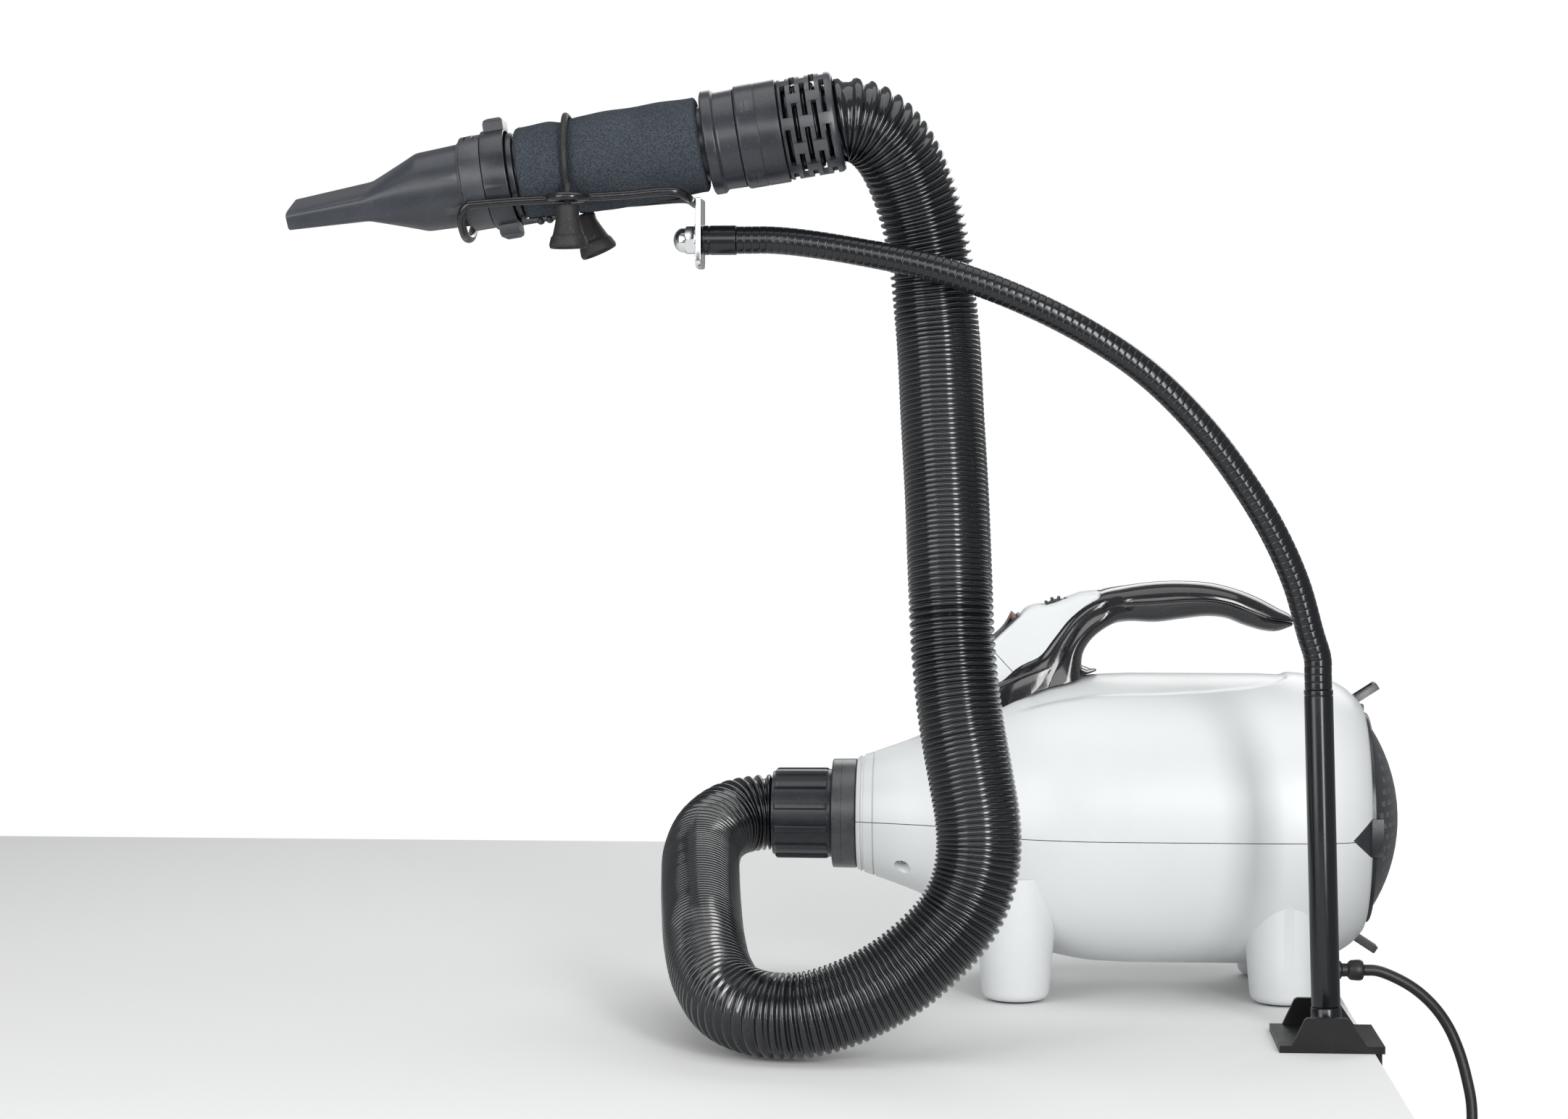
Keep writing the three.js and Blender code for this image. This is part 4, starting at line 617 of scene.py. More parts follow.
class Form:
    """A surface in millimetres, kept as points and faces."""

    def __init__(self, points: Iterable[Sequence[float]] = (), faces: Iterable[Sequence[int]] = ()) -> None:
        """Keeps the points and faces."""
        self.points = [Vector(p) for p in points]
        self.faces = [tuple(f) for f in faces]

    @classmethod
    def turned(cls, profile: Profile, sides: int = 96,
               relief: Callable[[float, float, float], float] | None = None) -> "Form":
        """Turns a profile round the X axis.

        Args:
            profile: (x, radius) points; one of radius 0 closes the surface, and a last point
                like the first makes a ring.
            sides: How many steps go round.
            relief: How much lower the skin lies at (x, y, z) of its own frame, if anywhere.

        Returns:
            The turned surface.
        """
        looped = profile[0] == profile[-1]
        points: list[Point] = []
        rings: list[list[int]] = []
        for x, r in (profile[:-1] if looped else profile):
            start = len(points)
            if r < TINY:
                points.append((x, 0.0, 0.0))
                rings.append([start] * sides)
                continue
            for i in range(sides):
                c, s = math.cos(TAU * i / sides), math.sin(TAU * i / sides)
                reach = r - (relief(x, r * c, r * s) if relief else 0.0)
                points.append((x, reach * c, reach * s))
            rings.append(list(range(start, start + sides)))
        faces = []
        for low, high in list(zip(rings, rings[1:])) + ([(rings[-1], rings[0])] if looped else []):
            for i in range(sides):
                j = (i + 1) % sides
                corners = tuple(dict.fromkeys((low[i], low[j], high[j], high[i])))
                if len(corners) > 2:
                    faces.append(corners)
        return cls(points, faces)

    @classmethod
    def rod(cls, low: float, high: float, radius: float, sides: int = 32) -> "Form":
        """A plain round rod along the X axis."""
        return cls.turned([(low, 0), (low, radius), (high, radius), (high, 0)], sides)

    @classmethod
    def lofted(cls, rings: Sequence[Sequence[Vector]], looped: bool = False) -> "Form":
        """A skin over rings with equal counts of points, with flat ends unless it is looped."""
        count = len(rings[0])
        faces: list[tuple[int, ...]] = []
        for i in range(len(rings) if looped else len(rings) - 1):
            a, b = i * count, ((i + 1) % len(rings)) * count
            for j in range(count):
                k = (j + 1) % count
                faces.append((a + j, a + k, b + k, b + j))
        if not looped:
            faces.append(tuple(reversed(range(count))))
            faces.append(tuple(range((len(rings) - 1) * count, len(rings) * count)))
        return cls([p for ring in rings for p in ring], faces)

    @classmethod
    def swept(cls, path: Sequence[Vector], radius: float, sides: int = 16) -> "Form":
        """A closed round tube along a path."""
        return cls.lofted([
            [p + aside * radius * math.cos(TAU * k / sides) + up * radius * math.sin(TAU * k / sides)
             for k in range(sides)] for p, (aside, up) in zip(path, directions(path))
        ])

    @classmethod
    def plate(cls, outline: Profile, low: float, high: float) -> "Form":
        """An outline in the XZ plane, pushed from y = low to y = high."""
        return cls.lofted([[Vector((x, y, z)) for x, z in outline] for y in (low, high)])

    @classmethod
    def cushion(cls, outline: Profile, half: float, soft: float, steps: int = 5) -> "Form":
        """A plate from y = -half to half with both its rims rounded.

        Args:
            outline: The plate's outline in the XZ plane.
            half: Half its thickness.
            soft: The radius of its rims.
            steps: How many steps the rounding has.

        Returns:
            The closed plate.
        """
        points = [Vector(p) for p in outline]
        around = list(zip([points[-1], *points[:-1]], points, [*points[1:], points[0]]))
        turn = math.copysign(1.0, sum(a.cross(b) for a, b, _ in around))
        inward = []
        for before, here, after in around:
            a, b = (here - before).normalized(), (after - here).normalized()
            inward.append((a + b).orthogonal() * turn / max(1 + a.dot(b), 0.3))
        insets = [(half - soft * (1 - math.cos(q)), soft * (1 - math.sin(q)))
                  for q in (math.pi / 2 * i / steps for i in range(steps + 1))]
        return cls.lofted([
            [Vector((p.x + n.x * inset, y, p.y + n.y * inset)) for p, n in zip(points, inward)]
            for y, inset in [(-y, d) for y, d in insets] + insets[::-1]
        ])

    @classmethod
    def block(cls, x: tuple[float, float], y: tuple[float, float], z: tuple[float, float]) -> "Form":
        """A box between two corners."""
        return cls.plate([(x[0], z[0]), (x[1], z[0]), (x[1], z[1]), (x[0], z[1])], y[0], y[1])

    def moved(self, matrix: Matrix) -> "Form":
        """A copy taken through a matrix."""
        return Form([matrix @ p for p in self.points], self.faces)

    def shifted(self, x: float = 0.0, y: float = 0.0, z: float = 0.0) -> "Form":
        """A copy moved along the axes."""
        return self.moved(Matrix.Translation((x, y, z)))

    def joined(self, other: "Form") -> "Form":
        """One form of this and another, laid in it as they are."""
        start = len(self.points)
        return Form(self.points + other.points,
                    self.faces + [tuple(i + start for i in face) for face in other.faces])

    def mesh(self, name: str) -> bpy.types.Mesh:
        """The form as a mesh in millimetres, facing outwards."""
        mesh = bpy.data.meshes.new(name)
        mesh.from_pydata([tuple(p) for p in self.points], [], self.faces)
        work = bmesh.new()
        work.from_mesh(mesh)
        bmesh.ops.recalc_face_normals(work, faces=work.faces)
        work.to_mesh(mesh)
        work.free()
        return mesh

    @classmethod
    def of_mesh(cls, mesh: bpy.types.Mesh) -> "Form":
        """A form from a mesh in millimetres."""
        return cls([v.co.copy() for v in mesh.vertices], [tuple(f.vertices) for f in mesh.polygons])

    def bevelled(self, width: float, steps: int = 3, limit: float = 40.0) -> "Form":
        """A copy with its edges past an angle in degrees rounded off by a width."""
        made = linked("work", self.mesh("work"))
        round_edges(made, width, steps, limit)
        form = Form.of_mesh(evaluated(made))
        bpy.data.objects.remove(made)
        return form

    def _combined(self, operation: str, others: Sequence["Form"]) -> "Form":
        """The result of cutting, joining or keeping, one other form after another."""
        body = linked("work", self.mesh("work"))
        for other in others:
            tool = linked("tool", other.mesh("tool"))
            step = body.modifiers.new("step", "BOOLEAN")
            step.operation = operation
            step.solver = "MANIFOLD"
            step.object = tool
            made = evaluated(body)
            body.modifiers.clear()
            body.data = made
            bpy.data.objects.remove(tool)
        form = Form.of_mesh(body.data)
        bpy.data.objects.remove(body)
        return form

    def cut(self, *others: "Form") -> "Form":
        """This form less others."""
        return self._combined("DIFFERENCE", others)

    def fused(self, *others: "Form") -> "Form":
        """This form and others as one closed body."""
        return self._combined("UNION", others)

    def kept(self, *others: "Form") -> "Form":
        """What this form shares with others."""
        return self._combined("INTERSECT", others)


# ------------------------------------------------------------------ Geometry Nodes
class Grower(NodeTree):
    """A Geometry Nodes tree with named inputs."""

    KINDS = {int: "NodeSocketInt", float: "NodeSocketFloat"}

    def __init__(self, name: str, inputs: Mapping[str, int | float],
                 material: bpy.types.Material | None = None) -> None:
        """Starts the tree.

        Args:
            name: The tree's name.
            inputs: Each input's first value, by name.
            material: The first value of one more input, Material.
        """
        super().__init__(bpy.data.node_groups.new(name, "GeometryNodeTree"))
        face = self.tree.interface
        for way in ("INPUT", "OUTPUT"):
            face.new_socket("Geometry", in_out=way, socket_type="NodeSocketGeometry")
        for label, value in inputs.items():
            face.new_socket(label, in_out="INPUT", socket_type=self.KINDS[type(value)]).default_value = value
        paint = face.new_socket("Material", in_out="INPUT", socket_type="NodeSocketMaterial")
        if material:
            paint.default_value = material
        self.given = self.node("NodeGroupInput")

    def spots(self, count: Link) -> Link:
        """Some count of loose points, all in one place."""
        return self.node("GeometryNodeMeshLine", {"Count": count, "Offset": ORIGIN}, mode="OFFSET")[0]

    def rows(self, per: Link) -> tuple[Link, Link, Link]:
        """Each point's number, its row when a row has some count of points, and its number in the row."""
        index = self.node("GeometryNodeInputIndex")[0]
        row = ((index + 0.01) / per).maths("FLOOR")
        return index, row, index - row * per

    def vector(self, x: Link | float = 0.0, y: Link | float = 0.0, z: Link | float = 0.0) -> Link:
        """A vector of three values."""
        return self.node("ShaderNodeCombineXYZ", {0: x, 1: y, 2: z})[0]

    def either(self, test: Link, yes: Link, no: Link) -> Link:
        """One of two values, by a test."""
        return self.node("GeometryNodeSwitch", {"Switch": test, "False": no, "True": yes},
                         input_type="FLOAT")[0]

    def set_places(self, points: Link, **values: Link) -> Link:
        """Points moved to a Position or by an Offset."""
        return self.node("GeometryNodeSetPosition", {"Geometry": points, **values})[0]

    def copies(self, points: Link, **values: Link) -> Link:
        """The given geometry on each point, with a Rotation if there is one."""
        placed = {"Points": points, "Instance": self.given["Geometry"], **values}
        return self.node("GeometryNodeInstanceOnPoints", placed)[0]

    def curve(self, at: Link, stops: Sequence[tuple[float, float]], handles: str) -> Link:
        """A value read from a curve through (place, value) stops from 0 to 1."""
        made = self.node("ShaderNodeFloatCurve", {1: at})
        line = made.made.mapping.curves[0]
        line.points[0].location, line.points[1].location = stops[0], stops[-1]
        for stop in stops[1:-1]:
            line.points.new(*stop)
        for point in line.points:
            point.handle_type = handles
        made.made.mapping.update()
        return made[0]

    def tube(self, spots: Link, place: Mapping[str, Link], radius: Link, caps: bool) -> Link:
        """A skin round the given curve.

        Args:
            spots: One point for each ring.
            place: Each ring's place along the curve, as a Length or a Factor.
            radius: Each ring's radius.
            caps: Whether the ends are closed.

        Returns:
            The skin.
        """
        mode = next(iter(place)).upper()
        at = self.node("GeometryNodeSampleCurve", {"Curves": self.given["Geometry"], **place}, mode=mode)
        laid = self.set_places(spots, Position=at["Position"])
        line = self.node("GeometryNodeMeshToCurve", {"Mesh": laid})[0]
        sized = self.node("GeometryNodeSetCurveRadius", {"Curve": line, "Radius": radius})[0]
        ring = self.node("GeometryNodeCurvePrimitiveCircle",
                         {"Resolution": self.given["Sides"], "Radius": 1.0})[0]
        return self.node("GeometryNodeCurveToMesh", {
            "Curve": sized, "Profile Curve": ring, "Scale": self.node("GeometryNodeInputRadius")[0],
            "Fill Caps": caps,
        })[0]

    def grown(self, geometry: Link, name: str, data: bpy.types.ID) -> Form:
        """Realizes the copies, sets the material and runs the tree once.

        Args:
            geometry: The tree's last geometry.
            name: The name of the object that the tree starts from.
            data: That object's mesh or curve.

        Returns:
            The result, in the object's millimetres.
        """
        whole = self.node("GeometryNodeRealizeInstances", {"Geometry": geometry})[0]
        dressed = self.node("GeometryNodeSetMaterial",
                            {"Geometry": whole, "Material": self.given["Material"]})[0]
        self.node("NodeGroupOutput", {0: dressed})
        source = linked(name, data)
        source.modifiers.new(self.tree.name, "NODES").node_group = self.tree
        mesh = evaluated(source)
        bpy.data.objects.remove(source)
        return Form.of_mesh(mesh)


def ring_of(form: Form, count: int, phase: float = 0.0, shift: float = 0.0, rows: int = 1,
            stagger: float = 0.0) -> Form:
    """Copies of a form set round the X axis, in rows along it, by Geometry Nodes.

    Args:
        form: The form to copy, in its first place.
        count: How many copies go round.
        phase: The first copy's turn in degrees.
        shift: The distance between rows.
        rows: How many rows there are.
        stagger: How many degrees each row is turned past the one before.

    Returns:
        All the copies as one form.
    """
    tree = Grower("set_round", {"Copies": count, "Rows": rows, "Phase": phase, "Shift": shift,
                                "Stagger": stagger})
    given = tree.given
    index, row, _ = tree.rows(given["Copies"])
    turn = index * 360.0 / given["Copies"] + (given["Phase"] + row * given["Stagger"])
    laid = tree.set_places(tree.spots(given["Copies"] * given["Rows"]),
                           Offset=tree.vector(row * given["Shift"]))
    return tree.grown(tree.copies(laid, Rotation=tree.vector(turn.maths("RADIANS"))), "pattern",
                      form.mesh("pattern"))


def line_curve(name: str, line: Sequence[Vector]) -> bpy.types.Curve:
    """A curve of straight steps through a line's points."""
    curve = bpy.data.curves.new(name, "CURVE")
    curve.dimensions = "3D"
    spline = curve.splines.new("POLY")
    spline.points.add(len(line) - 1)
    for point, at in zip(spline.points, line):
        point.co = (*at, 1.0)
    return curve


# ------------------------------------------------------------------ pieces
class Workshop:
    """Turns forms into the dryer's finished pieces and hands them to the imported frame."""

    RING_BACK = 10.0
    RING_HEIGHT = 104.5
    TURN_LIMIT = 34.0

    def __init__(self, palette: Palette, nodes: Mapping[str, bpy.types.Object]) -> None:
        """Finds the blower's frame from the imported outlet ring."""
        self.palette = palette
        self.nodes = nodes
        low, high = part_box("outlet_ring")
        middle = (low + high) * (PER_METRE / 2)
        self.shift = Vector((low.x * PER_METRE + self.RING_BACK, middle.y, middle.z - self.RING_HEIGHT))

    def place(self, point: Sequence[float]) -> Vector:
        """A point of the blower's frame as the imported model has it, in metres."""
        return (Vector(point) + self.shift) * METRES

    def raised(self, name: str, form: Form) -> bpy.types.Object:
        """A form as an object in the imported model's frame."""
        mesh = form.mesh(name)
        mesh.transform(Matrix.Scale(METRES, 4) @ Matrix.Translation(self.shift))
        return linked(name, mesh)

    def piece(self, name: str, form: Form, finish: Finish, body: Body | None, replaces: Sequence[str] = (),
              crease: float = TURN_LIMIT, bevel: float = 0.0) -> bpy.types.Object:
        """Makes a finished piece.

        Args:
            name: The piece's name.
            form: Its surface in millimetres.
            finish: Its finish.
            body: The body it moves with, or None for a piece that rides on no body.
            replaces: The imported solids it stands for.
            crease: The angle in degrees past which its shading breaks.
            bevel: The width of its edges' rounding, or 0.

        Returns:
            The piece.
        """
        made = self.raised(name, form)
        made.data.shade_smooth()
        if bevel > 0:
            round_edges(made, bevel * METRES, 2, self.TURN_LIMIT).miter_outer = "MITER_ARC"
            made.modifiers.new("even", "WEIGHTED_NORMAL").keep_sharp = True
            solid = evaluated(made)
            made.modifiers.clear()
            made.data = solid
            solid.name = name
        else:
            made.data.set_sharp_from_angle(angle=math.radians(crease))
        made.data.materials.clear()
        made.data.materials.append(self.palette.of(finish))
        if replaces:
            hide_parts(*replaces)
        if body is not None:
            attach(made, body.value)
        LOG.info("%s: %d faces on %s", name, len(made.data.polygons), body.value if body else "two bodies")
        return made

    def dress(self, node: str, finish: Finish) -> None:
        """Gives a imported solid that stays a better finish."""
        solid = self.nodes[node]
        for slot in solid.material_slots:
            slot.material = self.palette.of(finish)
        if not solid.material_slots:
            solid.data.materials.append(self.palette.of(finish))
        LOG.info("%s: dressed as %s", node, finish.name)


# ------------------------------------------------------------------ studio
@dataclass
class Studio:
    """The camera, the pale table top that the dryer is clamped to, and the soft lights."""

    shop: Workshop
    camera_at: Point = (105.9, -1944.3, 325.0)
    camera_turn: tuple[float, float] = (88.05, 4.0)
    lens: float = 73.7
    table_edge: float = 303.6
    table_long: float = 1500.0
    table_deep: tuple[float, float] = (-900.0, 700.0)
    table_thick: float = 25.0
    table_colour: Colour = (0.80, 0.80, 0.80)
    aim: Point = (60.0, 0.0, 220.0)
    lamps: tuple[tuple[str, Point, tuple[float, float], float], ...] = (
        ("left_box", (-1150.0, -1500.0, 620.0), (0.9, 1.5), 15.0),
        ("right_box", (820.0, -1800.0, 560.0), (0.34, 1.5), 19.0),
        ("top_box", (60.0, -300.0, 1700.0), (1.8, 1.2), 10.0),
        ("front_box", (250.0, -2100.0, 800.0), (2.4, 0.7), 15.0),
        ("back_box", (400.0, 1300.0, 1100.0), (1.6, 0.8), 10.0),
    )

    def camera(self) -> None:
        """Sets the camera at its height and angle."""
        lens = bpy.data.cameras.new("camera")
        lens.lens = self.lens
        lens.sensor_width = 36.0
        lens.clip_end = 50.0
        eye = linked("camera", lens)
        eye.location = self.shop.place(self.camera_at)
        eye.rotation_euler = (math.radians(self.camera_turn[0]), 0.0, math.radians(self.camera_turn[1]))
        bpy.context.scene.camera = eye

    def table(self) -> None:
        """The matt table top under the feet, with its edge in the clamp."""
        top = Form.block((self.table_edge - self.table_long, self.table_edge), self.table_deep,
                         (-self.table_thick, 0.0))
        made = self.shop.raised("table_top", top)
        shader = Shader("table_pale")
        paint = shader.blend(shader.noise(240.0), scaled(self.table_colour, 0.985), self.table_colour)
        matt = shader.finish({"Base Color": paint, "Roughness": 0.75, "Specular IOR Level": 0.2})
        made.data.materials.append(matt)
        made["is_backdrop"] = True

    def world(self) -> None:
        """A white surround for camera rays and rays that pass through glass, and a soft pale light for the
        rest.
        """
        sky = bpy.data.worlds.new("studio")
        sky.use_nodes = True
        tree = NodeTree(sky.node_tree)
        path = tree.node("ShaderNodeLightPath")
        seen = path["Is Camera Ray"].maths("MAXIMUM", path["Is Transmission Ray"])
        soft = tree.node("ShaderNodeBackground", {"Color": (0.97, 0.985, 1.0, 1.0), "Strength": 0.3})[0]
        white = tree.node("ShaderNodeBackground", {"Color": (1.0, 1.0, 1.0, 1.0), "Strength": 1.0})[0]
        either = tree.node("ShaderNodeMixShader", {0: seen, 1: soft, 2: white})[0]
        tree.node("ShaderNodeOutputWorld", {"Surface": either})
        bpy.context.scene.world = sky

    def lamp(self, name: str, at: Point, size: tuple[float, float], watts: float) -> None:
        """A soft box at a place, turned towards the dryer."""
        light = bpy.data.lights.new(name, "AREA")
        light.shape = "RECTANGLE"
        light.size, light.size_y = size
        light.energy = watts
        box = linked(name, light)
        box.location = self.shop.place(at)
        towards = self.shop.place(self.aim) - self.shop.place(at)
        box.rotation_euler = towards.to_track_quat("-Z", "Y").to_euler()

    def build(self) -> None:
        """Sets up the whole studio."""
        self.camera()
        self.table()
        self.world()
        for lamp in self.lamps:
            self.lamp(*lamp)
        bpy.context.scene.view_settings.view_transform = "Standard"


# ------------------------------------------------------------------ wand frame
@dataclass(frozen=True)
class WandFrame:
    """The handpiece's own frame: x along it from tip to hose, z up across it."""

    origin: Point = (-57.3, -205.0, 491.1)
    rise: float = 9.3

    def matrix(self, roll: float = 0.0) -> Matrix:
        """From this frame, rolled about its axis by some degrees, to the blower's."""
        return (Matrix.Translation(self.origin) @ Matrix.Rotation(-math.radians(self.rise), 4, "Y")
                @ Matrix.Rotation(math.radians(roll), 4, "X"))

    def point(self, along: float) -> Point:
        """A point on the handpiece's axis."""
        return tuple(self.matrix() @ Vector((along, 0.0, 0.0)))


WAND = WandFrame()


# ------------------------------------------------------------------ cords and hose
@dataclass
class PowerCord:
    """The mains lead: from its strain relief past the table's edge, wound in a tied coil, to its plug."""

    shop: Workshop
    radius: float = 3.25
    gland_at: Point = (289.4, -50.0, 20.0)
    reach: float = 25.0
    coil_middle: Point = (386.0, -50.0, -138.0)
    coil_radius: float = 42.8
    pitch: float = 7.2
    turns: float = 8.2
    layers: int = 4
    steps: int = 14
    begin: float = 135.0
    tie_angle: float = 45.0
    tail: tuple[float, float] = (7.0, 14.0)
    plug_gap: float = 0.3
    pin_spread: float = 9.5
    change: float = 0.25

    def coil_at(self, turns: float) -> Vector:
        """The lead's middle after some turns of the coil."""
        per_layer = self.turns / self.layers
        layer = min(math.floor(turns / per_layer), self.layers - 1)
        within = turns - layer * per_layer
        depth = within if layer % 2 == 0 else per_layer - within
        climb = float(layer)
        near = math.floor(turns / per_layer + 0.5)
        away = turns - near * per_layer
        if 0 < near < self.layers and abs(away) < self.change:
            climb = near - 0.5 + away / (2 * self.change)
        radius = self.coil_radius - self.pitch * depth
        angle = math.radians(self.begin) + TAU * turns
        x, y, z = self.coil_middle
        return Vector((x + radius * math.cos(angle), y - 1.5 * self.pitch + self.pitch * climb,
                       z + radius * math.sin(angle)))

    def free_route(self) -> list[Vector]:
        """The stretch from the strain relief to the coil."""
        x, y, z = self.gland_at
        mouth = x + self.reach
        first = self.coil_at(0)
        drop = first + Vector((6.5, 0.0, 6.5))
        return smoothed([
            (mouth + 0.3, y, z), (mouth + 8, y, z - 0.3), (335, y, 14.8), (346, y, 8), (356, y, -1.5),
            (364, y, -13), (370, y - 2, -27), (374, y - 5, -42), (376.5, y - 8, -57), (376, first.y, -71),
            (372, first.y, -84), (drop.x + 3.2, first.y, drop.z + 3.2), tuple(drop),
        ], 5)

    def coil_route(self) -> list[Vector]:
        """The coil and the straight end that goes into the plug."""
        total = round(self.turns * self.steps)
        line = [self.coil_at(i / (self.steps * 2)) for i in range(total * 2 + 1)]
        leave = math.radians(self.begin) + TAU * total / self.steps
        tangent = Vector((-math.sin(leave), 0.0, math.cos(leave)))
        last = self.coil_at(total / self.steps)
        return line + [last + tangent * reach for reach in self.tail]

    def tie(self) -> Form:
        """The band that holds the coil's turns together."""
        inner = self.coil_radius - self.pitch * self.turns / self.layers
        low, high = inner - self.radius + 0.2, self.coil_radius + self.radius + 0.6
        wide = 3 * self.pitch + 2 * self.radius + 1
        turn = Matrix.Translation(self.coil_middle) @ Matrix.Rotation(-math.radians(self.tie_angle), 4, "Y")

        def band(grow: float, length: float) -> Form:
            """A rounded sleeve across the coil."""
            right, top = high - low + 2 * grow, wide + 2 * grow
            across = rounded([(0.0, 0.0), (right, 0.0), (right, top), (0.0, top), (0.0, 0.0)], 3.0, 4)[:-1]
            return Form.lofted([[Vector((low - grow + a, -wide / 2 - grow + b, z)) for a, b in across]
                                for z in (-length / 2, length / 2)])
        return band(1.5, 6.0).cut(band(0.0, 20.0)).moved(turn)

    def at_plug(self, form: Form) -> Form:
        """Moves a form from the plug's own frame to the lead's end."""
        line = self.coil_route()
        tangent = (line[-1] - line[-2]).normalized()
        turn = tangent.to_track_quat("X", "Z").to_matrix().to_4x4()
        return form.moved(Matrix.Translation(line[-1] + tangent * self.plug_gap) @ turn)

    def plug(self) -> Form:
        """A moulded plug with finger grooves."""
        body = Form.turned([
            (0, 0), (0, 4.2), (0.8, 4.6), (8, 5.4), (16, 6.4), (18, 9.2), (20, 13), (22, 16), (24, 17.4),
            (27, 17.7), (28, 17.2), (29.5, 17.2), (30.5, 17.8), (33, 17.8), (34, 17.3), (35.5, 17.3),
            (36.5, 17.8), (38.6, 17.8), (39.6, 17.3), (40, 16.6), (40, 0),
        ], 48)
        grooves = [Form.block((5.0 + 3.0 * i, 6.0 + 3.0 * i), (-9.0, 9.0), (4.4 + 0.2 * i, 9.0))
                   for i in range(4)]
        return self.at_plug(body.cut(*grooves))

    def pins(self) -> Form:
        """The plug's two round pins."""
        pin = Form.turned([(39, 0), (39, 2.35), (56.6, 2.35), (57.6, 1.7), (58, 0)], 20)
        return self.at_plug(pin.shifted(y=-self.pin_spread).joined(pin.shifted(y=self.pin_spread)))

    def relief(self) -> Form:
        """The strain relief: a flange, a waist and a ribbed tapering sleeve."""
        x, y, z = self.gland_at
        profile = [
            (-6, 0), (-6, 3.7), (0.3, 3.8), (0.3, 5.2), (0.8, 5.4), (3, 5.4), (3.6, 4.8), (5, 4.8),
            (5.6, 5.4), (8, 5.4), (8.6, 4.8), (10, 4.8), (10.6, 5.4), (11.5, 5.3), (12.5, 3.9),
            (15.5, 3.8), (16.6, 5.2), (17.6, 5.8), (21, 6.1), (23, 6.1), (24.4, 5.5), (self.reach, 4.2),
            (self.reach, 0),
        ]
        return Form.turned([(x + along, radius) for along, radius in profile], 40).shifted(y=y, z=z)

    def build(self) -> None:
        line = self.free_route() + self.coil_route()
        lead = Form.swept(line, self.radius, 14)
        length, make = length_of(line), self.shop.piece
        piece = make("mains_lead", lead, CORD_RUBBER, Body.BASE, ["power_cord", "cord_coil"], crease=60)
        tie = make("lead_tie", self.tie(), RUBBER, Body.BASE, ["cord_tie"], bevel=0.4)
        plug = make("mains_plug", self.plug(), CORD_RUBBER, Body.BASE, ["plug"])
        pins = make("plug_pins", self.pins(), STEEL, Body.BASE)
        relief = make("strain_relief", self.relief(), CORD_RUBBER, Body.BASE, ["cord_gland"])
        self.shop.place(line[0])
        2 * self.radius * 0.001
        [self.shop.place(p) for p in line]


